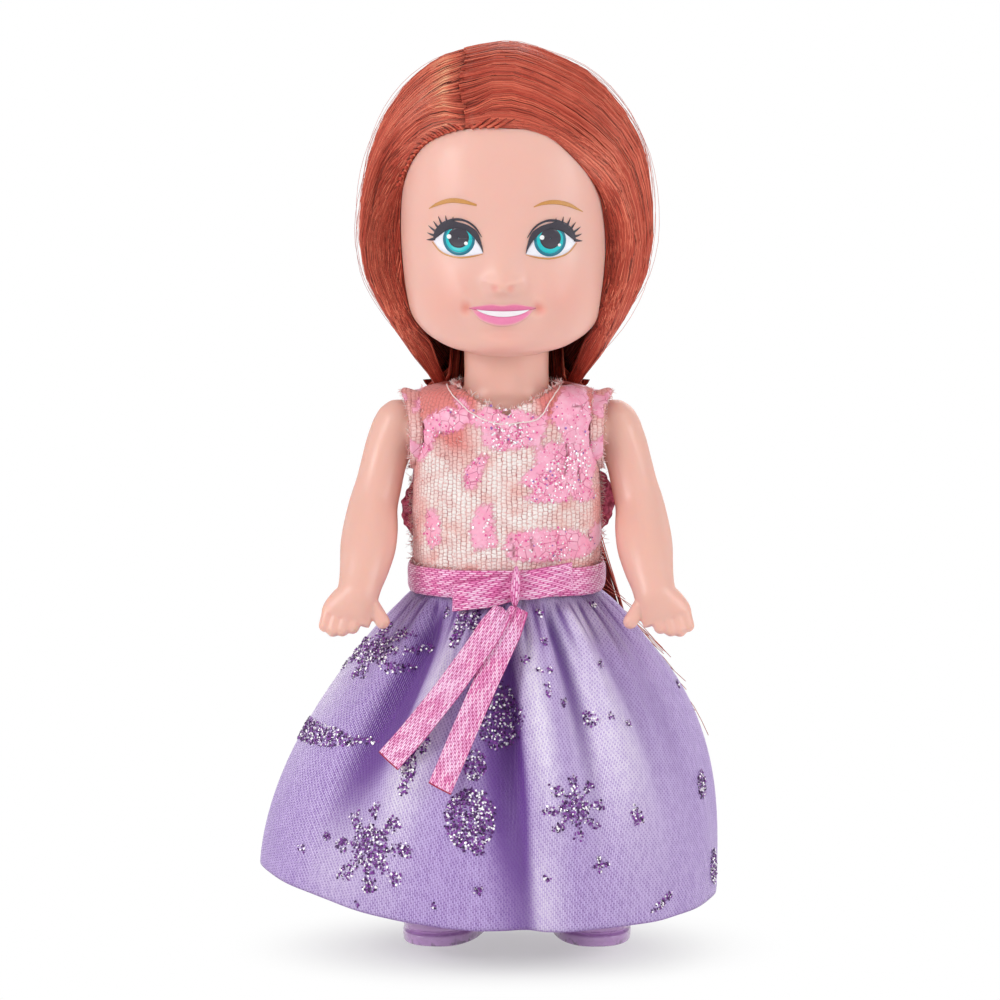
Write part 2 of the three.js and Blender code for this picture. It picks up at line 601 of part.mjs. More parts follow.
// How far the hair's surface lies from the middle of the head, on a line turned from the front and tilted up.
function hairReach(turn, rise) {
  const side = HEAD_WIDTH / 2 + HAIR_SIDE;
  const fore = FACE_DEPTH + HAIR_FRONT;
  const rear = SKULL_DEPTH + HAIR_BACK;
  const level = Math.cos(turn) > 0 ? fore : rear;
  const round = 1 / Math.hypot(Math.sin(turn) / side, Math.cos(turn) / level);
  const top = HEAD_TOP + HAIR_TOP - HEAD_MIDDLE;
  const low = HEAD_MIDDLE - NECK_BASE;
  if (rise >= 0) {
    const full = 2.25;
    return (Math.abs(Math.cos(rise) / round) ** full + Math.abs(Math.sin(rise) / top) ** full) ** (-1 / full);
  }
  const nape = Math.cos(turn) > 0 ? HAIR_NECK_WIDTH / 2 : HAIR_NAPE;
  const neckHalf = 1 / Math.hypot(Math.sin(turn) / (HAIR_NECK_WIDTH / 2), Math.cos(turn) / nape);
  const shrink = smooth([
    [0, round],
    [low * 0.25, round * 0.965],
    [low * 0.5, lerp(round, neckHalf, 0.31)],
    [low * 0.72, lerp(round, neckHalf, 0.66)],
    [low, neckHalf],
    [low * 1.4, neckHalf * 0.9],
  ]);
  let reach = round;
  for (let n = 0; n < 12; n += 1) {
    const drop = -Math.sin(rise) * reach;
    const outward = shrink(drop)[0] / Math.max(Math.cos(rise), 0.05);
    reach = lerp(reach, Math.min(outward, (low * 1.35) / -Math.sin(rise)), 0.6);
  }
  return reach;
}

function hairCap() {
  const count = 40;
  const rings = steps(-78, 84, 22).map((degrees) => {
    const rise = degrees * DEGREE;
    return Array.from({ length: count }, (_, i) => {
      const turn = (2 * Math.PI * i) / count;
      const r = hairReach(turn, rise);
      return new THREE.Vector3(
        r * Math.cos(rise) * Math.sin(turn),
        -r * Math.cos(rise) * Math.cos(turn),
        HEAD_MIDDLE + r * Math.sin(rise),
      );
    });
  });
  return solid(loft(rings));
}

// The face's opening in the hair from the front: shares of the head's half width across and its height up.
// It runs from the parting down the doll's left side and back up the other.
const FACE_OPENING = [
  [PARTING / (HEAD_WIDTH / 2), 0.825],
  [0.02, 0.845],
  [0.36, 0.82],
  [0.68, 0.72],
  [0.87, 0.6],
  [0.98, 0.45],
  [1.0, 0.3],
  [0.95, 0.17],
  [0.83, 0.06],
  [0.68, -0.12],
  [-0.68, -0.12],
  [-0.83, 0.06],
  [-0.94, 0.17],
  [-1.0, 0.3],
  [-1.0, 0.45],
  [-0.94, 0.6],
  [-0.84, 0.7],
  [-0.66, 0.79],
];

function faceCutter() {
  const corner = ([across, up]) =>
    new THREE.Vector2((across * HEAD_WIDTH) / 2, lerp(HEAD_BASE, HEAD_TOP, up));
  const outline = new THREE.Shape(FACE_OPENING.map(corner));
  const cutter = new THREE.ExtrudeGeometry(outline, { depth: FAR, bevelEnabled: false });
  cutter.rotateX(Math.PI / 2);
  cutter.translate(0, -2.5, 0);
  return solid(cutter);
}

function hair() {
  const insideLevels = [0, 0.05, 0.1, 0.16, 0.25, 0.4, 0.55, 0.68, 0.78, 0.86, 0.92, 0.965, 1];
  const inside = headForm(FIT_GAP + 0.1, 32, insideLevels, false);
  const neckRoom = barUp(NECK_BASE - FAR, HEAD_SEAT + 4, NECK_WIDTH / 2 + 0.8, 24);
  const throat = block([-FAR, -FAR, -FAR], [FAR, -1.5, HEAD_BASE - 0.2]);
  return hairCap()
    .subtract(inside)
    .subtract(neckRoom)
    .subtract(faceCutter())
    .subtract(throat)
    .intersect(block([-FAR, -FAR, NECK_BASE + 1.2], [FAR, FAR, FAR]));
}

// Dress: the top

const TOP_BASE = WAIST_Z + FIT_GAP;
const TOP_HEIGHT = NECK_BASE + 0.9;
const WAIST_SIDE = WAIST_WIDTH / 2 + TOP_EASE;
const CHEST_SIDE = CHEST_WIDTH / 2 + TOP_EASE;
const BELLY = BELLY_DEPTH / 2;
const CHEST = CHEST_DEPTH / 2;
const topShape = smooth([
  [TOP_BASE, WAIST_SIDE + 1.0, BELLY + 3.1, BELLY + 1.6],
  [TOP_BASE + 4, WAIST_SIDE + 1.3, BELLY + 3.0, BELLY + 1.5],
  [MIDRIFF_Z, CHEST_SIDE + 0.2, BELLY + 2.3, BELLY + 1.1],
  [SHOULDER_Z - 3.5, CHEST_SIDE - 0.1, CHEST + 2.6, CHEST + 1.9],
  [SHOULDER_Z, CHEST_SIDE, CHEST + 2.3, CHEST + 1.7],
  [SLOPE_Z, CHEST_SIDE + 0.2, CHEST + 1.8, CHEST + 1.3],
  [NECK_BASE - 0.8, CHEST_SIDE - 0.3, CHEST + 1.0, CHEST + 0.7],
  [NECK_BASE + 0.2, CHEST_SIDE - TOP_EASE - 0.3, CHEST - 0.3, CHEST - 0.4],
  [TOP_HEIGHT, CHEST_SIDE - TOP_EASE - 2.8, CHEST - 1.7, CHEST - 1.7],
]);
function topForm(grow) {
  const rings = steps(0, 1, 13).map((share) => {
    const [side, front, back] = topShape(lerp(TOP_BASE, TOP_HEIGHT, share)).map((reach) => reach + grow);
    const z = lerp(TOP_BASE - (grow < 0 ? FAR / 100 : 0), TOP_HEIGHT + grow, share);
    return levelRing({ z, side, front, back, squareness: 2.5 }, 36);
  });
  return solid(loft(rings));
}

function topShell(inner, outer) {
  const neckline = { side: NECKLINE_WIDTH / 2, front: NECKLINE_DEPTH / 2, back: NECKLINE_DEPTH / 2 - 0.9 };
  const neckHole = solid(loft([SHOULDER_Z, TOP_HEIGHT + 5].map((z) => levelRing({ z, ...neckline }, 32))));
  let shell = topForm(outer).subtract(topForm(inner)).subtract(neckHole);
  for (const side of [-1, 1]) {
    shell = shell.subtract(barAcross(side * (ARM_SEAT - 0.3), side * FAR, ARMHOLE / 2, 0, SHOULDER_Z, 28));
  }
  return shell;
}

// The back opens down the middle. The doll's left panel steps out and laps over the right one, and a hook
// tape and a loop tape lie between them.
function backPieces() {
  const back = (inner, outer, from, to) =>
    topShell(inner, outer).intersect(backHalf()).intersect(between(from, to));
  const lap = FLAP_WIDTH / 2;
  const hookIn = TAPE_GAP + TAPE + TAPE_GAP;
  const flapIn = hookIn + TAPE + TAPE_GAP;
  const tapeHeight = block([-FAR, 0, TOP_BASE + RIBBON_WIDTH], [FAR, FAR, SHOULDER_Z + 1.5]);
  const flapHeight = block([-FAR, 0, TOP_BASE + RIBBON_WIDTH - 0.9], [FAR, FAR, NECK_BASE - 0.4]);
  const flap = back(flapIn, flapIn + CLOTH, -lap, lap + 0.9);
  const step = back(-CLOTH, flapIn + CLOTH, lap + FIT_GAP, lap + 0.9);
  return {
    top_back_right: back(-CLOTH, 0, -FAR, lap),
    top_back_left: join(back(-CLOTH, 0, lap + FIT_GAP, FAR), join(flap, step).intersect(flapHeight)),
    loop_tape: back(TAPE_GAP, TAPE_GAP + TAPE, 0.4 - lap, lap - 0.4).intersect(tapeHeight),
    hook_tape: back(hookIn, hookIn + TAPE, 0.4 - lap, lap - 0.4).intersect(tapeHeight),
  };
}

// The folded strip round an armhole: a ring about the shoulder's axis that stands out further at its top.
function armholeBinding(side) {
  const count = 32;
  const outer = ARMHOLE / 2 - FIT_GAP;
  const inside = outer - BINDING;
  const corners = [];
  for (let i = 0; i < count; i += 1) {
    const a = (2 * Math.PI * i) / count; // from the top
    const reach = ARM_SEAT + FIT_GAP + 1.5 + SLEEVE_CAP * (0.5 + 0.5 * Math.cos(a)) ** 6;
    const at = (radius, x) => new THREE.Vector3(x, radius * Math.sin(a), SHOULDER_Z + radius * Math.cos(a));
    const root = ARM_SEAT + 0.5;
    corners.push([at(inside, root), at(outer, root), at(outer, reach - 0.2), at(inside, reach)]);
  }
  const made = solid(tyre(corners));
  return side > 0 ? made : made.mirror([1, 0, 0]);
}

// A closed ring of sections: the last joins the first.
function tyre(sections) {
  const count = sections[0].length;
  const points = sections.flat();
  const total = points.length;
  const faces = [];
  for (let s = 0; s < sections.length; s += 1) {
    for (let i = 0; i < count; i += 1) {
      const j = (i + 1) % count;
      const [a, b] = [s * count + i, s * count + j];
      const [c, d] = [(a + count) % total, (b + count) % total];
      faces.push(a, b, d, a, d, c);
    }
  }
  return meshOf(points, faces);
}

// Dress: the skirt

const FLARE_Z = WAIST_Z - SKIRT_COLLAR - 0.2;
const hemHeight = (turn) =>
  FLARE_Z + SKIRT_COLLAR - SKIRT_LENGTH + HEM_LIFT * Math.max(0, -Math.sin(turn)) ** 2 - 0.8 * Math.cos(turn);

// The skirt's plain radius: turned from the front, and its share of the way from the waist down to the hem.
function skirtPlain(turn, down) {
  const [sine, cosine] = [Math.sin(turn), Math.cos(turn)];
  const waistSide = WAIST_SIDE + 1.1;
  const waistDeep = BELLY + (cosine > 0 ? 3.1 : 1.9);
  const sideways = sine > 0 ? HEM_REACH.left : HEM_REACH.right;
  const onward = cosine > 0 ? HEM_REACH.front : HEM_REACH.back;
  const bulge = clamp(0.5 + 0.5 * sine, 0, 1);
  const flare = lerp(1 - (1 - down) ** 1.6, 1 - (1 - down) ** 2.75, bulge);
  const side = lerp(waistSide, sideways, flare);
  const deep = lerp(waistDeep, onward, flare);
  const square = lerp(2, 2.2, down);
  return (Math.abs(sine / side) ** square + Math.abs(cosine / deep) ** square) ** (-1 / square);
}

const wrap = (turn) => Math.atan2(Math.sin(turn), Math.cos(turn));

function skirtRadius(turn, down) {
  let radius = skirtPlain(turn, down);
  for (const fold of FOLDS) {
    const centre = lerp(fold.top, fold.hem, down) * DEGREE;
    const rise = Math.sin((Math.PI / 2) * Math.min(1, down / fold.at));
    const past = Math.max(0, (down - fold.at) / (1 - fold.at));
    const fall = lerp(1, fold.kept, (1 - Math.cos(Math.PI * past)) / 2);
    radius -= fold.deep * rise * fall * bell(wrap(turn - centre) / (fold.wide * DEGREE));
  }
  const gather = bell((down - 0.12) / 0.14) * Math.min(1, down / 0.05);
  return radius + GATHER_DEPTH * Math.cos(GATHERS * turn) * gather;
}

function skirt() {
  const count = 64;
  const downs = [0, 0.035, 0.1, 0.2, 0.34, 0.52, 0.74, 1];
  const at = (i, down, inset, top) => {
    const turn = (2 * Math.PI * i) / count;
    const radius = skirtRadius(turn, down) - inset;
    const z = top ?? lerp(FLARE_Z, hemHeight(turn), down);
    return new THREE.Vector3(radius * Math.sin(turn), -radius * Math.cos(turn), z);
  };
  const sections = Array.from({ length: count }, (_, i) => {
    const outside = [at(i, 0, 0, WAIST_Z), ...downs.map((down) => at(i, down, 0))];
    const inside = [at(i, 0, CLOTH, WAIST_Z), ...downs.map((down) => at(i, down, CLOTH))];
    return [...outside, ...inside.reverse()];
  });
  return solid(tyre(sections));
}

// Dress: the waist ribbon with its bow

const RIBBON_LOW = FLARE_Z + 0.15;
const ribbonRadius = (turn, grow) => {
  const side = WAIST_SIDE + 1.35 + FIT_GAP + grow;
  const deep = BELLY + (Math.cos(turn) > 0 ? 3.35 : 2.2) + FIT_GAP + grow;
  return 1 / (Math.abs(Math.sin(turn) / side) ** 2.4 + Math.abs(Math.cos(turn) / deep) ** 2.4) ** (1 / 2.4);
};

// A flat strip lying round the waist between two turns, between two distances from the belt's inner face.
function waistStrip(fromTurn, toTurn, inner, outer, low, high, count, slope = 0) {
  const sections = steps(fromTurn, toTurn, count).map((turn) =>
    [
      [inner, low],
      [outer, low],
      [outer, high],
      [inner, high],
    ].map(([grow, z]) => {
      const radius = ribbonRadius(turn, grow);
      const climb = slope * (radius * Math.sin(turn) - BOW_PLACE);
      return new THREE.Vector3(radius * Math.sin(turn), -radius * Math.cos(turn), z + climb);
    }),
  );
  if (Math.abs(toTurn - fromTurn) > 2 * Math.PI - 1e-6) return solid(tyre(sections.slice(0, -1)));
  return solid(loft(sections));
}

const BOW_TURN = Math.asin(BOW_PLACE / ribbonRadius(0, 0));
const BOW_GAP = 0.9; // half the width of the tied middle

function bowLoop(side) {
  const start = BOW_TURN + (side * BOW_GAP) / ribbonRadius(0, 1);
  const length = side > 0 ? BOW_LOOP.left : BOW_LOOP.right;
  const end = start + (side * length) / ribbonRadius(0, 1);
  const inner = RIBBON + FIT_GAP;
  const [from, to] = [Math.min(start, end), Math.max(start, end)];
  const [low, high] = [RIBBON_LOW - 0.3, RIBBON_LOW - 0.3 + RIBBON_WIDTH];
  return waistStrip(from, to, inner, inner + 2 * RIBBON, low, high, 8, BOW_SLOPE);
}

function bowTie() {
  const half = (BOW_GAP - FIT_GAP) / ribbonRadius(0, 1);
  const inner = RIBBON + FIT_GAP;
  const [low, high] = [RIBBON_LOW - 0.9, RIBBON_LOW + RIBBON_WIDTH + 0.9];
  return waistStrip(BOW_TURN - half, BOW_TURN + half, inner, inner + 2 * RIBBON + 0.7, low, high, 4);
}

// A ribbon's end, hanging from the bow and lying over the front of the skirt.
function ribbonTail({ length, start: across, lean, lift }) {
  const away = new THREE.Vector2(Math.sin(lean * DEGREE), -Math.cos(lean * DEGREE)); // across and down
  const start = new THREE.Vector2(across, RIBBON_LOW - 0.75 - FIT_GAP);
  const rings = steps(0, 1, 14).map((share) => {
    const on = start.clone().addScaledVector(away, share * length);
    const edge = new THREE.Vector2(-away.y, away.x).multiplyScalar(RIBBON_WIDTH / 2);
    const lay = (sign, proud) => {
      const x = on.x + sign * edge.x;
      const z = Math.min(on.y + sign * edge.y, start.y);
      let turn = 0;
      let radius = 12;
      for (let n = 0; n < 14; n += 1) {
        turn = Math.asin(clamp(x / radius, -0.95, 0.95));
        const down = clamp((FLARE_Z - z) / (FLARE_Z - hemHeight(turn)), 0, 1);
        radius = skirtPlain(turn, down) + 1.6 + lift * (1 - 0.75 * bell((1 - share) / 0.16)) + proud;
      }
      return new THREE.Vector3(x, -radius * Math.cos(turn), z);
    };
    return [lay(-1, 0), lay(0, 0), lay(1, 0), lay(1, RIBBON), lay(0, RIBBON), lay(-1, RIBBON)];
  });
  return solid(loft(rings));
}

// Hair: the long part, lying over the back of the top and the skirt

const FALL_TOP = NECK_BASE + 1.2 - FIT_GAP;
const FALL_PROUD = 2 * (TAPE + TAPE_GAP) + TAPE_GAP + CLOTH + FIT_GAP + 0.15;

function dressBack(turn, z) {
  if (z < FLARE_Z) return skirtPlain(turn, clamp((FLARE_Z - z) / (FLARE_Z - hemHeight(turn)), 0, 1)) + 1.0;
  const [side, , back] = topShape(clamp(z, TOP_BASE, NECK_BASE - 2));
  const belt = ribbonRadius(turn, RIBBON) * (z < RIBBON_LOW + RIBBON_WIDTH + 1 ? 1 : 0);
  return Math.max(1 / Math.hypot(Math.sin(turn) / side, Math.cos(turn) / back), belt);
}

const fallWidth = smooth([
  [0, 8.4],
  [0.2, 9.6],
  [0.45, 12],
  [0.7, 14.5],
  [1, 12.5],
]);

function hairFall() {
  const rings = steps(0, 1, 16).map((down) => {
    const z = FALL_TOP - down * FALL_LENGTH;
    const half = fallWidth(down)[0];
    const drift = 2.2 * down;
    const thick = FALL_THICKNESS * lerp(1, 0.5, down ** 3);
    const lay = (across, proud) => {
      const x = drift + across * half;
      let radius = 14;
      let turn = 0;
      for (let n = 0; n < 14; n += 1) {
        turn = Math.PI - Math.asin(clamp(x / radius, -0.97, 0.97));
        const ease = Math.max(dressBack(turn, z), dressBack(turn, Math.max(z - 2.5, 0)));
        radius = ease + FALL_PROUD + proud;
      }
      return new THREE.Vector3(x, -radius * Math.cos(turn), z);
    };
    const across = steps(-1, 1, 8);
    const body = (a) => thick * Math.sqrt(Math.max(0, 1 - a * a * 0.96));
    return [...across.map((a) => lay(a, 0)), ...across.slice().reverse().map((a) => lay(a, body(a)))];
  });
  return solid(loft(rings));
}

// The assembly

const finish = (color, roughness) => new THREE.MeshStandardMaterial({ color, roughness, metalness: 0 });
const VINYL = finish(0xe9b497, 0.42);
const FACE = finish(0xefbfa6, 0.45);
const HAIR = finish(0xa8402f, 0.45);
const SHOE = finish(0xd9a7e0, 0.35);
const BROCADE = finish(0xf0a9b4, 0.8);
const SATIN = finish(0xa98bd6, 0.45);
const RIBBON_PINK = finish(0xe873ad, 0.5);
const TAPE_WHITE = finish(0xf4f1f4, 0.9);

const doll = new THREE.Group();

function place(name, made, material) {
  const mesh = new THREE.Mesh(skinOf(made), material);
  mesh.name = name;
  doll.add(mesh);
}

const wholeTorso = torso();
place("torso_front", wholeTorso.intersect(frontHalf()), VINYL);
place("torso_back", wholeTorso.intersect(backHalf()), VINYL);
place("head", head(), FACE);
const wholeHair = hair();
place("hair_left", wholeHair.intersect(between(PARTING + FIT_GAP / 2, FAR)), HAIR);
place("hair_right", wholeHair.intersect(between(-FAR, PARTING - FIT_GAP / 2)), HAIR);
place("hair_fall", hairFall(), HAIR);
for (const [name, side] of [["left", 1], ["right", -1]]) {
  place(`${name}_arm`, arm(side), VINYL);
  place(`${name}_leg`, leg(name, side), VINYL);
  place(`${name}_shoe`, shoe(name, side), SHOE);
  place(`${name}_armhole_binding`, armholeBinding(side), BROCADE);
}
place("top_front", topShell(-CLOTH, 0).intersect(frontHalf()), BROCADE);
for (const [name, made] of Object.entries(backPieces())) {
  place(name, made, name.endsWith("tape") ? TAPE_WHITE : BROCADE);
}
place("skirt", skirt(), SATIN);
const belt = waistStrip(0, 2 * Math.PI, 0, RIBBON, RIBBON_LOW, RIBBON_LOW + RIBBON_WIDTH, 48);
place("waist_ribbon", belt, RIBBON_PINK);
place("bow_loop_left", bowLoop(1), RIBBON_PINK);
place("bow_loop_right", bowLoop(-1), RIBBON_PINK);
place("bow_tie", bowTie(), RIBBON_PINK);
for (const tail of TAILS) place(tail.name, ribbonTail(tail), RIBBON_PINK);

// The skirt hangs a little to the doll's right, so the body's axis stands beside the middle of the footprint.
doll.position.set((HEM_REACH.right - HEM_REACH.left) / 2, 0, 0);

export default doll;
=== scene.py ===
# A small vinyl princess doll with rooted auburn hair, a looped-knit top with glitter film, a
# gathered satin skirt, a ribbon tied in a bow and slip-on shoes. Sizes are in millimetres from the
# body's axis until a mesh is made. The doll faces -Y, and its own left hand is on +X. The sections
# follow the doll as it is put together.
import math

import bmesh
import bpy
import numpy as np
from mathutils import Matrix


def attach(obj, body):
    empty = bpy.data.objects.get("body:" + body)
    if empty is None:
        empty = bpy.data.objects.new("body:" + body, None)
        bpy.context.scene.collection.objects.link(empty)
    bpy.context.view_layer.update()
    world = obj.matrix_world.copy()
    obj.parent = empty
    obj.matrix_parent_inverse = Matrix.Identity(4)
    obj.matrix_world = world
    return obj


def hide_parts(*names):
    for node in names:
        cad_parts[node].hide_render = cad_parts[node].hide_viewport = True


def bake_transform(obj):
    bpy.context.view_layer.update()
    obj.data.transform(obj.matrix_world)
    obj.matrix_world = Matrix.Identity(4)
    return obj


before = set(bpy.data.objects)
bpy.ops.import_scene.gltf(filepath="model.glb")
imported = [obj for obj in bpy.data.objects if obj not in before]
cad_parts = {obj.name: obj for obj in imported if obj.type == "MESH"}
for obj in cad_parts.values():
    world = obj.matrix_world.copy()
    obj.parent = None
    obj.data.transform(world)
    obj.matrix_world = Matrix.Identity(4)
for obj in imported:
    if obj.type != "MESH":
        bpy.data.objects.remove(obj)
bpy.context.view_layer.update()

# Legs. Each is one hollow moulding of soft vinyl, from the hip to the bare foot. A plug on its inner side
# snaps into the hip, and the leg swings on it. The skirt hides them, apart from a look from below.

MM = 0.001
BODY_X = 2.3  # the body's axis stands this far beside the middle of the footprint
FIT_GAP = 0.3
SOLE = 1.3
HIP_Z = 39.0
HIP_SEAT = 4.3
HIP_RADIUS = 6.2
THIGH_WIDTH = 10.4
KNEE_WIDTH = 8.4
CALF_WIDTH = 8.6
ANKLE_WIDTH = 6.8
FOOT_TOE = 6.0
FOOT_HEEL = 5.8
STANCE = {"left": 11.2, "right": 8.0}
TOES_TURNED = {"left": 6.0, "right": -12.0}
SKIN = (0.81, 0.47, 0.39)
SKIN_BLUSH = (0.80, 0.30, 0.20)
SKIN_EDGE_SHADE = (0.62, 0.20, 0.11)


def smooth(rows):
    """A smooth curve through rows of [place, value, value, ...]. Between two rows each value follows the
    cubic whose slopes at the rows are those of the line through their neighbours."""
    rows = np.array(rows, float)
    places = rows[:, 0]
    below = np.maximum(np.arange(len(rows)) - 1, 0)
    above = np.minimum(np.arange(len(rows)) + 1, len(rows) - 1)
    slopes = (rows[above, 1:] - rows[below, 1:]) / (places[above] - places[below])[:, None]

    def values(place):
        x = np.clip(np.asarray(place, float), places[0], places[-1])
        i = np.clip(np.searchsorted(places, x) - 1, 0, len(rows) - 2)
        step = (places[i + 1] - places[i])[..., None]
        t = (x - places[i])[..., None] / step
        eased = t * t * (3 - 2 * t)
        bend = slopes[i] * step * t * (1 - t) ** 2 - slopes[i + 1] * step * t * t * (1 - t)
        return rows[i, 1:] + (rows[i + 1, 1:] - rows[i, 1:]) * eased + bend

    return values


def signed_power(x, power):
    """The power of a number's size, with the number's own sign."""
    return np.sign(x) * np.abs(x) ** power


def lerp(a, b, t):
    """The place between a and b at the share t."""
    return a + (b - a) * t


def bell(x):
    """A bell curve: 1 at 0, and nearly 0 beyond 2 to either side."""
    return np.exp(-np.square(x))


def level_rings(z, side, front, back=None, squareness=2.5, count=48, x=0.0, y=0.0):
    """Level rings, one for each height: a superellipse that reaches side across, front forwards and back
    backwards. Each starts at the front and goes towards +X. Returns rings by points by coordinates."""
    z, side, front, back, x, y = (
        np.broadcast_to(np.asarray(v, float), np.shape(z))[:, None]
        for v in (z, side, front, front if back is None else back, x, y)
    )
    turn = np.linspace(0, 2 * math.pi, count, endpoint=False)[None, :]
    across = signed_power(np.sin(turn), 2 / squareness)
    along = signed_power(np.cos(turn), 2 / squareness)
    return np.stack([x + side * across, y - np.where(along > 0, front, back) * along, z + 0 * turn], -1)


def turned(points, degrees):
    """The points turned about the vertical through the body's axis."""
    a = math.radians(degrees)
    x, y = points[..., 0], points[..., 1]
    sine, cosine = math.sin(a), math.cos(a)
    return np.stack([x * cosine - y * sine, x * sine + y * cosine, points[..., 2]], -1)


def linked(name, data):
    """An object with that data, put into the scene."""
    made = bpy.data.objects.new(name, data)
    bpy.context.collection.objects.link(made)
    return made


def mesh_object(name, points, faces, material=None, corner_uv=None, smooth_shaded=True):
    """A mesh from points in millimetres from the body's axis and faces of equal corner counts, each a table
    of point numbers. corner_uv has one pair for each corner, in the faces' order."""
    mesh = bpy.data.meshes.new(name)
    places = (np.asarray(points, float) + [BODY_X, 0, 0]) * MM
    mesh.vertices.add(len(places))
    mesh.vertices.foreach_set("co", places.astype(np.float32).ravel())
    corners = np.concatenate([np.asarray(f).ravel() for f in faces])
    lengths = np.concatenate([np.full(len(f), np.shape(f)[1]) for f in faces])
    mesh.loops.add(len(corners))
    mesh.loops.foreach_set("vertex_index", corners.astype(np.int32))
    mesh.polygons.add(len(lengths))
    mesh.polygons.foreach_set("loop_start", np.concatenate([[0], np.cumsum(lengths)[:-1]]).astype(np.int32))
    mesh.polygons.foreach_set("use_smooth", np.full(len(lengths), smooth_shaded))
    mesh.update(calc_edges=True)
    if corner_uv is not None:
        layer = mesh.uv_layers.new(name="UVMap")
        layer.data.foreach_set("uv", np.asarray(corner_uv, np.float32).ravel())
    if material is not None:
        mesh.materials.append(material)
    return linked(name, mesh)


def grid_faces(rows, columns, around):
    """The four-cornered cells of a grid of points, as point numbers. around joins the
    last column to the first."""
    index = np.arange(rows * columns).reshape(rows, columns)
    if around:
        index = np.concatenate([index, index[:, :1]], axis=1)
    return np.stack([index[:-1, :-1], index[:-1, 1:], index[1:, 1:], index[1:, :-1]], -1).reshape(-1, 4)


def end_fans(rows, columns):
    """Fans of triangles over the first and the last row of a grid that goes around. Their middle points are
    numbered after the grid's own."""
    ring = np.arange(columns)
    ahead = np.roll(ring, -1)
    last = (rows - 1) * columns
    middle = np.full(columns, rows * columns)
    return [np.stack([middle, ahead, ring], -1), np.stack([middle + 1, last + ring, last + ahead], -1)]


def surface(name, grid, material=None, around=False, closed=False, uv=None, flip=False):
    """A skin over a grid of points, rows by columns. around joins the last column to the first, and closed
    puts a fan over the first and the last row. Without uv, its map runs from 0 to 1 along columns and rows.
    uv has a pair for each grid point, with one more column where the grid goes around."""
    rows, columns = grid.shape[:2]
    points = grid.reshape(-1, 3)
    quads = grid_faces(rows, columns, around)
    wide = columns + (1 if around else 0)
    if uv is None:
        uv = np.stack(np.meshgrid(np.linspace(0, 1, wide), np.linspace(0, 1, rows)), -1)
    cells = grid_faces(rows, wide, False)
    corner_uv = [uv.reshape(-1, 2)[cells.ravel()]]
    faces = [quads]
    if closed:
        points = np.concatenate([points, grid[:1].mean(axis=1), grid[-1:].mean(axis=1)])
        faces += end_fans(rows, columns)
        for row in (0, -1):
            rim = uv[row, :columns]
            corner_uv.append(np.stack([rim, rim, rim], 1).reshape(-1, 2))
    if flip:
        faces = [f[:, ::-1] for f in faces]
        corner_uv = [c.reshape(-1, k, 2)[:, ::-1].reshape(-1, 2) for c, k in zip(corner_uv, (4, 3, 3))]
    return mesh_object(name, points, faces, material, np.concatenate(corner_uv))


def mirrored(grid):
    """The grid mirrored to the doll's other side, with its columns turned round so
    that it still faces out."""
    return (grid * [-1, 1, 1])[:, ::-1]


open_trees = []  # new shader nodes go into the last one


def put(socket, value):
    """Joins another node's output to a socket, or sets the socket to a value."""
    if isinstance(value, bpy.types.NodeSocket):
        open_trees[-1].links.new(value, socket)
    else:
        socket.default_value = value


def join(made, **sockets):
    """Puts an output or a value on each of a node's sockets, by the sockets' names with _ for a space."""
    for key, value in sockets.items():
        put(made.inputs[key.replace("_", " ")], value)


def node(kind, inputs=None, **settings):
    """Adds a shader node to the open tree. settings are the node's own choices, and inputs gives sockets, by
    name or number, a value or another node's output."""
    made = open_trees[-1].nodes.new("ShaderNode" + kind)
    for key, value in settings.items():
        setattr(made, key, value)
    for key, value in (inputs or {}).items():
        put(made.inputs[key], value)
    return made


def maths(operation, a, b=0.0, c=0.0):
    """The outcome of a math node."""
    return node("Math", {0: a, 1: b, 2: c}, operation=operation).outputs[0]


def blended(share, a, b):
    """Colour a where share is 0 and colour b where it is 1."""
    mix = node("Mix", {0: share}, data_type="RGBA")
    for socket, value in ((mix.inputs[6], a), (mix.inputs[7], b)):
        put(socket, (*value, 1.0) if isinstance(value, tuple) else value)
    return mix.outputs[2]


def spread(value, low, high, to_low=0.0, to_high=1.0):
    """The value mapped smoothly from low..high to to_low..to_high, and held inside them."""
    numbers = {0: value, 1: low, 2: high, 3: to_low, 4: to_high}
    return node("MapRange", numbers, interpolation_type="SMOOTHSTEP").outputs[0]


def noise(place, scale, detail=3.0, roughness=0.55):
    """A noise from 0 to 1 over a place."""
    numbers = {"Vector": place, "Scale": scale, "Detail": detail, "Roughness": roughness}
    return node("TexNoise", numbers).outputs["Fac"]


def uneven(place, scale, detail, low, high):
    """A noise that wanders between low and high."""
    return spread(noise(place, scale, detail), 0.3, 0.7, low, high)


def bumped(height, strength, distance):
    """A normal that is bumped by the height, where distance is how far 1 stands up, in millimetres."""
    numbers = {"Height": height, "Strength": strength, "Distance": distance * MM}
    return node("Bump", numbers).outputs["Normal"]


def own_place():
    """The place on the object, in metres."""
    return node("TexCoord").outputs["Object"]


def own_map():
    """The sockets X and Y of the piece's map, across and along it."""
    return node("SeparateXYZ", {0: node("UVMap", uv_map="UVMap").outputs["UV"]}).outputs


def finish(name, **plain):
    """A new material, whose tree is opened. Returns it and its one Principled shader
    with the plain settings."""
    material = bpy.data.materials.new(name)
    material.use_nodes = True
    open_trees.append(material.node_tree)
    shader = material.node_tree.nodes["Principled BSDF"]
    join(shader, **plain)
    return material, shader


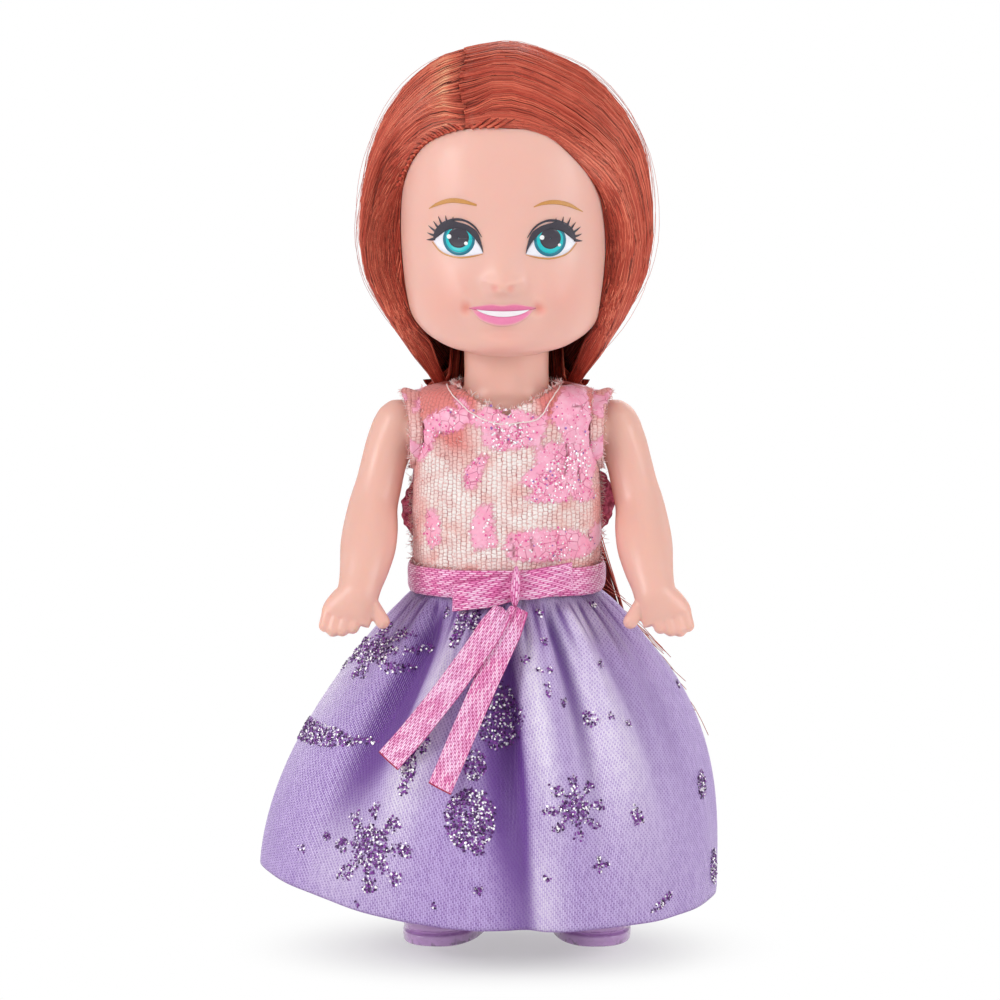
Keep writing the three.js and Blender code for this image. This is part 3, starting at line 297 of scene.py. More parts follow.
def group(name, inputs, outputs):
    """A new node group, whose tree is opened, with inputs and outputs given as names and kinds of socket.
    Returns it, the sockets of its inputs and the node that takes its outputs."""
    tree = bpy.data.node_groups.new(name, "ShaderNodeTree")
    for way, sockets in (("INPUT", inputs), ("OUTPUT", outputs)):
        for socket, kind in sockets.items():
            tree.interface.new_socket(socket, in_out=way, socket_type="NodeSocket" + kind)
    open_trees.append(tree)
    return tree, tree.nodes.new("NodeGroupInput").outputs, tree.nodes.new("NodeGroupOutput")


# Soft vinyl: a slow, faint drift of colour, small specks of pigment, and the fine orange peel of the mould.
moulded_vinyl, entry, leave = group(
    "moulded vinyl",
    {"Place": "Vector", "Colour": "Color", "Deep Colour": "Color", "Drift": "Float"},
    {"Colour": "Color", "Height": "Float", "Roughness": "Float"},
)
place = entry["Place"]
drift = maths("MULTIPLY", spread(noise(place, 140), 0.35, 0.7), entry["Drift"])
specks = spread(noise(place, 5200, 2), 0.6, 0.8, 0, 0.1)
join(
    leave,
    Colour=blended(specks, blended(drift, entry["Colour"], entry["Deep Colour"]), entry["Deep Colour"]),
    Height=noise(place, 2600, 2),
    Roughness=uneven(place, 420, 3, 0.36, 0.46),
)


def soft_vinyl(name, colour, deep, drift, **plain):
    """A finish in moulded vinyl. Returns also the place on the object and the group's outputs."""
    material, shader = finish(name, **plain)
    place = own_place()
    inputs = {"Place": place, "Colour": (*colour, 1), "Deep Colour": (*deep, 1), "Drift": drift}
    return material, shader, place, node("Group", inputs, node_tree=moulded_vinyl).outputs


def fitted(piece, body, solid=None):
    """Says which body a piece belongs to, and hides the solid that it is shown instead of."""
    if solid:
        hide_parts(solid)
    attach(piece, body)


VINYL_DEPTH = {"Subsurface_Weight": 0.35, "Subsurface_Radius": (1.0, 0.4, 0.2), "IOR": 1.47}

skin_vinyl, shader, place, vinyl = soft_vinyl(
    "skin vinyl", SKIN, SKIN_BLUSH, 0.06, **VINYL_DEPTH,
    Subsurface_Scale=0.0016, Specular_IOR_Level=0.5, Coat_Weight=0.06, Coat_Roughness=0.2
)
# Painted shade: the skin turns darker and redder where its surface is seen edge-on.
edge_facing = node("LayerWeight", {"Blend": 0.35}).outputs["Facing"]
join(
    shader,
    Base_Color=blended(spread(edge_facing, 0.35, 0.95, 0.0, 0.6), vinyl["Colour"], SKIN_EDGE_SHADE),
    Roughness=vinyl["Roughness"],
    Normal=bumped(vinyl["Height"], 0.25, 0.03),
)

leg_shape = smooth(
    [
        [1.6, 3.15, 5.6, 5.4],
        [2.3, 3.4, 6.0, 5.8],
        [4.3, 3.4, 5.7, 5.7],
        [7.0, 3.25, 4.2, 4.8],
        [9.43, 3.15, 3.2, 3.9],
        [13.57, CALF_WIDTH * 0.46, 3.6, 4.3],
        [18.43, CALF_WIDTH * 0.5, 4.2, 4.9],
        [23.29, KNEE_WIDTH * 0.5, 4.3, 4.3],
        [28.53, (KNEE_WIDTH + THIGH_WIDTH) / 4, 4.8, 4.7],
        [33.76, THIGH_WIDTH * 0.5, 5.3, 5.2],
        [38.0, THIGH_WIDTH * 0.49, 5.3, 5.2],
        [42.0, THIGH_WIDTH * 0.42, 4.6, 4.6],
        [44.2, THIGH_WIDTH * 0.28, 2.8, 2.8],
        [45.1, THIGH_WIDTH * 0.06, 0.5, 0.5],
    ]
)
for name, side in (("left", 1), ("right", -1)):
    z = np.concatenate([np.linspace(1.6, 42, 60), np.linspace(42.4, 45.1, 10)])
    half, front, back = leg_shape(z).T
    lean = np.clip((HIP_Z - z) / (HIP_Z - 5.4), 0, 1)
    rings = level_rings(z, half, front, back, 2.2, 40)
    for row, share in enumerate(lean):
        rings[row] = turned(rings[row], TOES_TURNED[name] * side * share)
    middle = HIP_SEAT + THIGH_WIDTH / 2 + (STANCE[name] - HIP_SEAT - THIGH_WIDTH / 2) * lean
    rings[..., 0] = np.maximum(rings[..., 0] + middle[:, None], HIP_SEAT + FIT_GAP)
    leg = surface(f"{name}_leg_vinyl", rings if side > 0 else mirrored(rings), skin_vinyl, True, True)
    fitted(leg, f"{name}_leg", f"{name}_leg")

# Shoes. Slip-on shoes of thin, glossy lilac vinyl, moulded in one piece with a line pressed in between sole
# and upper. Each is pushed onto the bare foot, and pulls straight off it.

SHOE_LENGTH = 17.4
SHOE_WIDTH = 10.3
SHOE_HEIGHT = 5.6
SHOE_WALL = 1.1
SOLE_GROOVE = 0.32
LILAC = (0.70, 0.42, 0.78)
LILAC_DEEP = (0.42, 0.19, 0.52)
LILAC_LOW_DARK = (0.30, 0.20, 0.33)

shoe_vinyl, shader, place, vinyl = soft_vinyl(
    "shoe vinyl", LILAC, LILAC_DEEP, 0.25,
    IOR=1.5, Specular_IOR_Level=0.6, Coat_Weight=0.5, Coat_Roughness=0.12,
    Subsurface_Weight=0.15, Subsurface_Radius=(0.8, 0.5, 0.9), Subsurface_Scale=0.0008
)
height_up = node("SeparateXYZ", {0: place}).outputs["Z"]
# Darker in blotches within 1.3 mm of the floor.
darker_low = maths("MULTIPLY", spread(height_up, 0.0, 0.0013, 1, 0), spread(noise(place, 900, 4), 0.5, 0.62))
join(
    shader,
    Base_Color=blended(darker_low, vinyl["Colour"], LILAC_LOW_DARK),
    Roughness=uneven(place, 600, 3, 0.22, 0.34),
    Normal=bumped(vinyl["Height"], 0.2, 0.03),
)

shoe_levels = smooth(
    [
        [0.0, 0.93],
        [0.18, 0.985],
        [0.5, 1.0],
        [1.55, 1.0],
        [1.72, 0.995 - SOLE_GROOVE / 5],
        [1.95, 1 - SOLE_GROOVE / 5],
        [2.15, 0.99],
        [2.8, 0.985],
        [3.7, 0.96],
        [4.7, 0.885],
        [5.3, 0.76],
        [5.55, 0.66],
        [5.6, 0.58],
    ]
)
for name, side in (("left", 1), ("right", -1)):
    heel = SHOE_WALL + FIT_GAP + FOOT_HEEL
    toe = SHOE_LENGTH - heel
    outer_z = np.concatenate([np.linspace(0, 2.4, 26), np.linspace(2.6, SHOE_HEIGHT, 22)])
    share = shoe_levels(outer_z)[:, 0]
    outer = level_rings(outer_z, share * SHOE_WIDTH / 2, toe * share, heel * share, 2.5, 72)
    throat = min(FOOT_TOE + FIT_GAP, toe - SHOE_WALL)
    inner_z = np.linspace(SHOE_HEIGHT - 0.05, SOLE, 10)
    inner = level_rings(inner_z, ANKLE_WIDTH / 2 + FIT_GAP, throat, FOOT_HEEL + FIT_GAP, 2.25, 72)
    # The upper closes over the instep down to the throat, so the topmost rings never
    # pass inside the foot's room.
    inside = np.hypot(outer[..., 0], outer[..., 1]) < np.hypot(inner[0, :, 0], inner[0, :, 1])[None, :]
    outer[..., :2] = np.where(inside[..., None], inner[0, None, :, :2] * 1.02, outer[..., :2])
    rings = turned(np.concatenate([outer, inner]), TOES_TURNED[name] * side) + [STANCE[name], 0, 0]
    shoe = surface(f"{name}_slip_on", rings if side > 0 else mirrored(rings), shoe_vinyl, True, True)
    fitted(shoe, f"{name}_shoe", f"{name}_shoe")

# Torso. A front and a back shell of firmer vinyl, glued together round the plugs of the arms and legs. The
# neck rises from it as a plain post with a knob, over which the head snaps.

WAIST_Z = 48.4
SHOULDER_Z = 67.8
NECK_BASE = 73.0
NECK_TOP = 79.1
HIP_WIDTH = 21.4
WAIST_WIDTH = 20.4
CHEST_WIDTH = 22.8
BELLY_DEPTH = 15.0
CHEST_DEPTH = 12.6
NECK_WIDTH = 11.2
ARM_SEAT = CHEST_WIDTH / 2 - 0.5
CROTCH = HIP_Z - HIP_RADIUS - 0.6
MIDRIFF_Z = (WAIST_Z + SHOULDER_Z) / 2
SLOPE_Z = (SHOULDER_Z + NECK_BASE) / 2

torso_shape = smooth(
    [
        [CROTCH, HIP_WIDTH * 0.12, BELLY_DEPTH * 0.14],
        [CROTCH + 1.4, HIP_WIDTH * 0.3, BELLY_DEPTH * 0.32],
        [HIP_Z - 2.4, HIP_WIDTH * 0.43, BELLY_DEPTH * 0.45],
        [HIP_Z + 2.5, HIP_WIDTH * 0.5, BELLY_DEPTH * 0.5],
        [WAIST_Z, WAIST_WIDTH * 0.5, BELLY_DEPTH * 0.5],
        [MIDRIFF_Z, lerp(WAIST_WIDTH, CHEST_WIDTH, 0.4) * 0.5, lerp(BELLY_DEPTH, CHEST_DEPTH, 0.5) * 0.5],
        [SHOULDER_Z - 3.5, CHEST_WIDTH * 0.49, CHEST_DEPTH * 0.5],
        [SHOULDER_Z, CHEST_WIDTH * 0.5, CHEST_DEPTH * 0.49],
        [SLOPE_Z, CHEST_WIDTH * 0.46, CHEST_DEPTH * 0.46],
        [lerp(SHOULDER_Z, NECK_BASE, 0.8), CHEST_WIDTH * 0.36, CHEST_DEPTH * 0.43],
        [NECK_BASE, NECK_WIDTH * 0.53, NECK_WIDTH * 0.5],
        [NECK_BASE + 1.2, NECK_WIDTH * 0.5, NECK_WIDTH * 0.49],
        [NECK_TOP, NECK_WIDTH * 0.5, NECK_WIDTH * 0.49],
    ]
)
z = np.linspace(CROTCH, NECK_TOP, 96)
side_reach, depth_reach = torso_shape(z).T
neck_roundness = np.clip((z - SLOPE_Z) / (NECK_BASE - SLOPE_Z), 0, 1)
rings = np.concatenate(
    [
        level_rings([h], [s], [d], squareness=lerp(2.5, 2.05, r), count=96)
        for h, s, d, r in zip(z, side_reach, depth_reach, neck_roundness)
    ]
)
in_chest = (rings[..., 2] < SLOPE_Z + 1) & (rings[..., 2] > CROTCH + 3)
rings[..., 0] = np.where(in_chest, np.clip(rings[..., 0], -ARM_SEAT, ARM_SEAT), rings[..., 0])
# Under the hips the shell is pinched in to a web between the two leg tops, which are
# rounds about the hip axis.
leg_room = np.hypot(rings[..., 1], rings[..., 2] - HIP_Z) < HIP_RADIUS + FIT_GAP
rings[..., 0] = np.where(leg_room, np.clip(rings[..., 0], -HIP_SEAT, HIP_SEAT), rings[..., 0])
for name, facing in (("front", -1), ("back", 1)):
    half_rings = rings.copy()
    half_rings[..., 1] = facing * np.maximum(facing * rings[..., 1], FIT_GAP / 2)
    shell = surface(f"torso_{name}_vinyl", half_rings, skin_vinyl, True, True)
    fitted(shell, "torso", f"torso_{name}")

# Arms. One soft moulding each, bent at the elbow, with a flat hand whose fingers are only grooved apart and a
# free thumb. A round boss at the top turns against the torso's flat side.

ARM_LENGTH = 20.8
UPPER_ARM_WIDTH = 6.0
FOREARM_WIDTH = 7.3
WRIST_WIDTH = 5.6
ARM_VOXEL = 0.17


def tube(line, wide, thick, count=32, level_across=(1.0, 0.0, 0.0)):
    """Rings square to a line of points. Each is an ellipse that reaches wide along the level
    direction and thick across it."""
    line = np.asarray(line, float)
    along = np.gradient(line, axis=0)
    along /= np.linalg.norm(along, axis=1, keepdims=True)
    across = np.array(level_across) - along * (along @ np.array(level_across))[:, None]
    across /= np.linalg.norm(across, axis=1, keepdims=True)
    through = np.cross(along, across)
    a = np.linspace(0, 2 * math.pi, count, endpoint=False)[None, :, None]
    wide, thick = (np.broadcast_to(v, len(line))[:, None, None] for v in (wide, thick))
    return line[:, None] + wide * across[:, None] * np.cos(a) + thick * through[:, None] * np.sin(a)


def rounded_bar(start, end, radius, count=20):
    """A bar between two points with a half ball on each end: the radius follows a
    circle over the end parts."""
    start, end = np.array(start, float), np.array(end, float)
    length = np.linalg.norm(end - start)
    cap = np.linspace(-math.pi / 2 + 0.12, 0, 7)
    place = np.concatenate([radius * np.sin(cap), length - radius * np.sin(cap[::-1])])
    thick = np.concatenate([radius * np.cos(cap), radius * np.cos(cap[::-1])])
    line = start + (end - start) / length * place[:, None]
    return tube(line, thick, thick, count, (1.0, 0.3, 0.2))


def closed_skin(rings):
    """The points and faces of a closed skin over rings, with a fan over each end."""
    rows, columns = rings.shape[:2]
    points = np.concatenate([rings.reshape(-1, 3), rings[:1].mean(axis=1), rings[-1:].mean(axis=1)])
    quads = grid_faces(rows, columns, True)
    triangles = np.concatenate([quads[:, [0, 1, 2]], quads[:, [0, 2, 3]], *end_fans(rows, columns)])
    corners = points[triangles]
    volume = np.einsum("ij,ij->i", corners[:, 0], np.cross(corners[:, 1], corners[:, 2])).sum()
    return points, triangles if volume > 0 else triangles[:, ::-1]


def welded(name, skins, voxel, passes, material):
    """One skin over several closed ones that overlap: they are remeshed on a grid of that size, which melts
    them together, and then smoothed, which leaves soft grooves where they met."""
    points = np.concatenate([p for p, _ in skins])
    starts = np.cumsum([0] + [len(p) for p, _ in skins[:-1]])
    faces = np.concatenate([f + s for (_, f), s in zip(skins, starts)])
    rough = mesh_object(name + "_rough", points, [faces])
    melt = rough.modifiers.new("melt", "REMESH")
    melt.mode = "VOXEL"
    melt.voxel_size = voxel * MM
    ease = rough.modifiers.new("ease", "SMOOTH")
    ease.factor = 0.5
    ease.iterations = passes
    bpy.context.view_layer.update()
    mesh = bpy.data.meshes.new_from_object(rough.evaluated_get(bpy.context.evaluated_depsgraph_get()))
    bpy.data.objects.remove(rough)
    mesh.name = name
    mesh.materials.clear()
    mesh.materials.append(material)
    mesh.polygons.foreach_set("use_smooth", np.full(len(mesh.polygons), True))
    return linked(name, mesh)


# Down the arm's middle from the shoulder: outwards, forwards, down, half width, half thickness.
upper, fore, wrist = UPPER_ARM_WIDTH / 2, FOREARM_WIDTH / 2, WRIST_WIDTH / 2
arm_stations = np.array(
    [
        [2.3, 0, 3.75, 0.5, 0.5],
        [2.45, 0, 3.2, 1.9, 1.9],
        [2.75, 0, 1.9, 2.95, 2.95],
        [3.25, 0, 0, 3.4, 3.4],
        [4.3, 0.3, -0.11 * ARM_LENGTH, upper * 1.06, upper * 1.08],
        [5.0, 0.7, -0.21 * ARM_LENGTH, upper, upper * 1.04],
        [5.7, 1.5, -0.35 * ARM_LENGTH, upper * 1.02, upper * 1.04],
        [6.4, 2.6, -0.48 * ARM_LENGTH, lerp(upper, fore, 0.4), lerp(upper, fore, 0.3)],
        [6.7, 4.4, -0.61 * ARM_LENGTH, fore * 0.99, fore * 0.97],
        [7.0, 6.4, -0.72 * ARM_LENGTH, fore, fore * 0.95],
        [7.4, 8.4, -0.83 * ARM_LENGTH, lerp(fore, wrist, 0.45), lerp(fore, wrist, 0.5)],
        [7.9, 10.0, -0.93 * ARM_LENGTH, wrist * 1.02, wrist * 0.95],
        [8.3, 10.9, -ARM_LENGTH, wrist, wrist * 0.9],
        [8.95, 11.35, -ARM_LENGTH - 1.1, 3.1, 2.0],
        [9.55, 11.7, -ARM_LENGTH - 2.2, 3.35, 1.6],
        [9.85, 11.95, -ARM_LENGTH - 3.0, 3.3, 1.2],
    ]
)
# Each finger from knuckle to tip: outwards, forwards, down at both, then the radius.
# The last one is the thumb.
FINGERS = [
    [(12.05, 11.75, -22.9), (12.45, 12.1, -24.5), 0.86],
    [(10.85, 11.95, -23.0), (11.4, 12.45, -25.05), 0.9],
    [(9.5, 12.05, -23.0), (10.2, 12.6, -24.95), 0.92],
    [(8.15, 12.0, -22.9), (8.85, 12.5, -24.65), 0.9],
    [(6.55, 11.35, -21.5), (4.95, 12.0, -24.0), 0.98],
]
station_curve = smooth(np.column_stack([np.arange(len(arm_stations)), arm_stations]))
stations = station_curve(np.linspace(0, len(arm_stations) - 1, 90))
limb_line = stations[:, :3] * [1, -1, 1]
limb = tube(limb_line, stations[:, 3], stations[:, 4])
boss_turn = np.linspace(0, 2 * math.pi, 40, endpoint=False)
boss_x = np.array([0.0, 0.02, 0.5, 2.0, 3.0])[:, None]
boss_radius = np.array([3.1, 3.3, 3.3, 3.3, 3.2])[:, None]
boss = (boss_x, boss_radius * np.cos(boss_turn), boss_radius * np.sin(boss_turn))
boss = np.stack(np.broadcast_arrays(*boss), -1)
arm_skins = [closed_skin(limb), closed_skin(boss)]
arm_skins += [
    closed_skin(rounded_bar(np.multiply(a, [1, -1, 1]), np.multiply(b, [1, -1, 1]), r)) for a, b, r in FINGERS
]
for name, side in (("left", 1), ("right", -1)):
    at_shoulder = []
    for points, faces in arm_skins:
        points = points.copy()
        points[:, 0] = side * (np.maximum(points[:, 0], 0) + ARM_SEAT + FIT_GAP)
        points[:, 2] += SHOULDER_Z
        at_shoulder.append((points, faces if side > 0 else faces[:, ::-1]))
    arm = welded(f"{name}_arm_vinyl", at_shoulder, ARM_VOXEL, 7, skin_vinyl)
    fitted(arm, f"{name}_arm", f"{name}_arm")

# Head. A hollow ball of soft vinyl with a low, wide face: small nose, full cheeks, a smiling
# mouth. Its neck opening snaps over the torso's knob, and the head turns there. The cheeks are
# tinted by spray, and painted shade darkens the dimples, the nostrils, below the mouth and the chin.

HEAD_SQUARE = 2.3  # how squared the head's level ovals are; 2 would be plain ovals
HEAD_BASE = 77.6
HEAD_TOP = 114.0
HEAD_WIDTH = 28.0
FACE_DEPTH = 13.9
SKULL_DEPTH = 14.2
CHIN_LIFT = 1.1  # the jaw's underside curves up this much more than the plain form
FACE_MIDDLE = -0.45  # the face is moulded and printed a little off the head's middle
FACE = (0.83, 0.485, 0.41)
FACE_BLUSH_AND_SHADE = (0.84, 0.28, 0.22)
FACE_EDGE_SHADE = (0.66, 0.25, 0.18)

head_shape = smooth(
    [
        [0, 0.3, 0.78, -0.36],
        [0.022, 0.52, 0.87, 0.0],
        [0.05, 0.66, 0.92, 0.42],
        [0.09, 0.78, 0.95, 0.64],
        [0.155, 0.89, 0.98, 0.79],
        [0.24, 0.945, 0.995, 0.88],
        [0.33, 0.975, 1.0, 0.945],
        [0.43, 0.995, 0.99, 0.985],
        [0.53, 1.0, 0.975, 1.0],
        [0.63, 0.985, 0.955, 0.985],
        [0.74, 0.925, 0.9, 0.925],
        [0.83, 0.82, 0.8, 0.83],
        [0.91, 0.645, 0.635, 0.66],
        [0.965, 0.43, 0.42, 0.45],
        [1, 0.14, 0.14, 0.15],
    ]
)
# Small forms of the face: place across and up, half width, half height, and how far each stands out.
FACE_FORMS = [
    (-0.05, 85.25, 2.9, 0.75, 0.34),
    (-0.05, 83.25, 2.3, 0.95, 0.48),
    (-0.05, 84.45, 3.9, 0.4, -0.3),
    (-4.75, 84.95, 0.75, 0.8, -0.5),
    (4.45, 84.95, 0.75, 0.8, -0.5),
    (-5.3, 86.0, 0.9, 1.7, 0.18),
    (5.1, 86.0, 0.9, 1.7, 0.18),
    (-0.05, 81.55, 2.2, 0.6, -0.28),
    (-1.05, 87.65, 0.42, 0.3, -0.3),
    (1.0, 87.65, 0.42, 0.3, -0.3),
    (-1.95, 88.35, 0.7, 0.75, 0.32),
    (1.9, 88.35, 0.7, 0.75, 0.32),
    (-0.05, 86.6, 0.42, 0.7, -0.14),
]


def face_relief(x, z):
    """How far the face stands out of the plain head: soft bells for the nose, its bridge, the cheeks and the
    chin, shallow hollows for the eyes, and the small forms of mouth and nose."""
    x = x - FACE_MIDDLE
    across, up = x / (HEAD_WIDTH / 2), (z - HEAD_BASE) / (HEAD_TOP - HEAD_BASE)
    relief = 1.6 * bell(across / 0.15) * bell((up - 0.272) / np.where(up > 0.272, 0.066, 0.034))
    relief += 0.42 * bell(across / 0.14) * bell((up - 0.37) / 0.08)
    relief += 0.7 * bell((np.abs(across) - 0.5) / 0.26) * bell((up - 0.215) / 0.1)
    relief += 0.8 * bell(across / 0.24) * bell((up - 0.06) / 0.05)
    relief -= 0.5 * bell((np.abs(across) - 0.46) / 0.24) * bell((up - 0.43) / 0.07)
    for x0, z0, half_width, half_height, stands in FACE_FORMS:
        relief = relief + stands * bell((x - x0) / half_width) * bell((z - z0) / half_height)
    return relief


def head_reaches(z):
    """At each height: the head's half width, its ring's own centre along Y, and its half depth."""
    wide, front, back = np.moveaxis(head_shape((z - HEAD_BASE) / (HEAD_TOP - HEAD_BASE)), -1, 0)
    near, far = front * FACE_DEPTH, back * SKULL_DEPTH
    return wide * HEAD_WIDTH / 2, (far - near) / 2, (far + near) / 2


def face_front(x, z):
    """Where the face's skin is, along Y, at a place across and up it. The head's ring
    there is a superellipse."""
    half, centre, depth = head_reaches(z)
    sine = np.clip(np.abs(x) / half, 0, 1) ** (HEAD_SQUARE / 2)
    y = centre - depth * np.sqrt(np.clip(1 - sine * sine, 0, 1)) ** (2 / HEAD_SQUARE)
    return y - face_relief(x, z) * np.clip(-y / 6, 0, 1)


face_vinyl, shader, place, vinyl = soft_vinyl(
    "face vinyl", FACE, FACE_BLUSH_AND_SHADE, 0.05, **VINYL_DEPTH,
    Subsurface_Scale=0.0018, Specular_IOR_Level=0.45, Coat_Weight=0.04, Coat_Roughness=0.25
)
blush_and_shade = 0.0
# Tints: place across and up the face, radius, and strength. The first two are sprayed blush on the cheeks;
# the rest are painted shade in the dimples, at the nostrils, below the mouth and under the chin.
for x, z, radius, strength in (
    (-8.2, 86.2, 6.0, 0.22),
    (7.5, 86.2, 6.0, 0.22),
    (-5.2, 84.9, 1.3, 0.62),
    (4.25, 84.9, 1.3, 0.62),
    (-1.5, 87.5, 0.8, 0.5),
    (0.5, 87.5, 0.8, 0.5),
    (-0.5, 82.6, 4.5, 0.12),
    (-0.5, 78.5, 6.0, 0.12),
):
    y = float(face_front(np.array(x), np.array(z)))
    spot = ((x + BODY_X) * MM, y * MM, z * MM)
    away = node("VectorMath", {0: place, 1: spot}, operation="DISTANCE").outputs["Value"]
    blush_and_shade = maths("ADD", spread(away, 0, radius * MM, strength, 0), blush_and_shade)
blushed_and_shaded = blended(maths("MINIMUM", blush_and_shade, 0.7), vinyl["Colour"], FACE_BLUSH_AND_SHADE)
# Painted shade: the face turns darker and redder where its surface is seen edge-on.
edge_facing = node("LayerWeight", {"Blend": 0.35}).outputs["Facing"]
join(
    shader,
    Base_Color=blended(spread(edge_facing, 0.5, 0.98, 0.0, 0.4), blushed_and_shaded, FACE_EDGE_SHADE),
    Roughness=vinyl["Roughness"],
    Normal=bumped(vinyl["Height"], 0.22, 0.03),
)

up = np.concatenate([np.linspace(0, 0.1, 22)[:-1], np.linspace(0.1, 0.46, 76)[:-1], np.linspace(0.46, 1, 56)])
z = lerp(HEAD_BASE, HEAD_TOP, up)
half, centre, depth = head_reaches(z)
rings = level_rings(z, half, depth, None, HEAD_SQUARE, 260, y=centre)
stands_out = face_relief(rings[..., 0], rings[..., 2]) * np.clip(-rings[..., 1] / 6, 0, 1)
rings[..., 1] -= np.where(rings[..., 1] < 0, stands_out, 0)
off_middle = np.minimum(np.abs(rings[..., 0]) / 8, 1)
below_mouth = np.maximum(83.5 - rings[..., 2], 0) / (83.5 - HEAD_BASE)
rings[..., 2] += CHIN_LIFT * lerp(0.7, 1, off_middle) * below_mouth**1.5
head = surface("head_vinyl", rings, face_vinyl, True, True)
fitted(head, "head", "head")

# Face print. The eyes, brows and mouth are pad-printed on the vinyl, one colour after the other, as thin
# films of paint that lie on each other. The lips are sprayed through a mask, so their outer edge is soft.

PAINT = 0.02  # thickness of one film
EYE = (-6.15, 93.6)  # the middle of the iris; the other eye is its mirror image about the face's middle
EYE_MIRROR = -0.52  # twice the face's middle
# Outlines round the middle of the doll's right iris: across and up.
LID_TOP = [
    (-3.35, 0.09), (-3.16, 1.0), (-2.7, 1.73), (-1.91, 2.37), (-1.01, 2.62), (-0.23, 2.36), (0.55, 2.18),
    (1.45, 1.82), (2.42, 1.03), (2.98, -0.57), (3.15, -1.5)
]
LID_LOW = [
    (-3.29, -0.14), (-2.77, 0.31), (-2.24, 0.74), (-1.66, 1.17), (-0.88, 1.41), (0.0, 1.51), (0.8, 1.32),
    (1.38, 0.94), (2.09, 0.22), (2.76, -0.77), (3.1, -1.55)
]
CREASE_TOP = [
    (-1.75, 2.35), (-1.14, 2.69), (-0.23, 2.84), (0.55, 2.74), (1.45, 2.36), (2.28, 1.65), (2.98, 0.5)
]
CREASE_LOW = [
    (-1.75, 2.3), (-1.14, 2.45), (-0.23, 2.51), (0.55, 2.44), (1.4, 2.09), (2.17, 1.44), (2.93, 0.43)
]
WHITE_TOP = [
    (-3.29, -0.23), (-2.77, 0.31), (-1.66, 1.25), (0.0, 1.82), (1.45, 1.07), (2.76, -0.77), (3.12, -1.56)
]
WHITE_LOW = [
    (-3.2, -0.36), (-2.44, -1.3), (-1.53, -1.81), (0.0, -2.09), (1.45, -1.96), (2.35, -1.78), (3.12, -1.61)
]
UNDER_TOP = [
    (-3.4, -0.36), (-2.51, -1.36), (-1.57, -1.87), (0.0, -2.15), (1.45, -2.03), (2.48, -1.84), (3.12, -1.69)
]
UNDER_LOW = [
    (-3.5, -0.37), (-2.6, -1.48), (-1.63, -2.04), (0.0, -2.35), (1.45, -2.21), (2.48, -1.96), (3.12, -1.74)
]
# Each lash: where its root and its tip are, and how wide its root is.
LASHES = [
    [(-3.1, 0.1), (-4.2, -0.1), 0.42],
    [(-3.1, 0.5), (-4.12, 0.82), 0.34],
    [(-2.95, 1.0), (-3.96, 1.75), 0.32],
    [(-2.65, 1.5), (-3.3, 2.35), 0.3],
    [(-2.2, 1.95), (-2.66, 3.0), 0.28],
    [(-1.55, 2.25), (-1.74, 3.15), 0.26],
    [(-0.8, 2.4), (-0.74, 3.02), 0.22],
]
SHINES = {"right": [(-1.27, 0.43, 0.3), (0.93, -0.4, 0.24)], "left": [(-1.05, 0.49, 0.3), (1.19, -0.52, 0.2)]}
BROWS = [
    [(-10.06, 97.55), (-8.97, 98.36), (-7.28, 98.97), (-5.6, 98.87), (-3.83, 98.27)],
    [(-10.02, 97.47), (-8.84, 97.97), (-7.28, 98.36), (-5.6, 98.31), (-3.84, 98.0)],
    [(3.5, 97.98), (4.7, 98.56), (6.25, 98.77), (8.06, 98.36), (9.89, 97.18)],
    [(3.52, 97.84), (4.7, 98.15), (6.25, 98.21), (7.93, 97.87), (9.87, 97.08)],
]
MOUTH_TOP = [
    (-4.87, 84.99), (-3.41, 85.32), (-1.97, 85.58), (-0.52, 85.42), (1.09, 85.62), (2.71, 85.28),
    (3.83, 84.99)
]
LIP_LINE = [
    (-4.8, 84.92), (-4.06, 84.77), (-2.77, 84.57), (-0.52, 84.5), (1.74, 84.58), (3.16, 84.76), (3.78, 84.92)
]
TEETH_LOW = [
    (-3.85, 84.7), (-3.2, 84.32), (-2.13, 83.98), (-0.36, 83.8), (1.22, 83.96), (2.3, 84.3), (2.95, 84.7)
]
TEETH_TOP = [
    (-3.85, 84.74), (-3.2, 84.63), (-2.13, 84.55), (-0.36, 84.5), (1.22, 84.55), (2.3, 84.64), (2.95, 84.74)
]
MOUTH_LOW = [
    (-4.6, 84.75), (-3.42, 83.36), (-1.97, 82.72), (-0.52, 82.5), (1.1, 82.77), (2.51, 83.54), (3.6, 84.75)
]


def through_points(points, count):
    """A smooth line of count points through some points, evenly spread by the distance between them."""
    points = np.array(points, float)
    run = np.concatenate([[0], np.cumsum(np.linalg.norm(np.diff(points, axis=0), axis=1))])
    return smooth(np.column_stack([run / run[-1], points]))(np.linspace(0, 1, count))


def band(low, top, count=48, rows=7):
    """The patch between two lines: each column runs straight from one to the other."""
    low, top = through_points(low, count), through_points(top, count)
    share = np.linspace(0, 1, rows)[:, None, None]
    return low + (top - low) * share


def disc(x, z, radius, count=40, rows=7, inner=0.02):
    """A round patch: rings from the middle out, evenly spread. The pinhole in the
    middle closes to a point."""
    turn = np.linspace(0, 2 * math.pi, count + 1)
    out = np.linspace(inner, 1, rows)[:, None] * radius
    return np.stack([x + out * np.cos(turn), z + out * np.sin(turn)], -1)


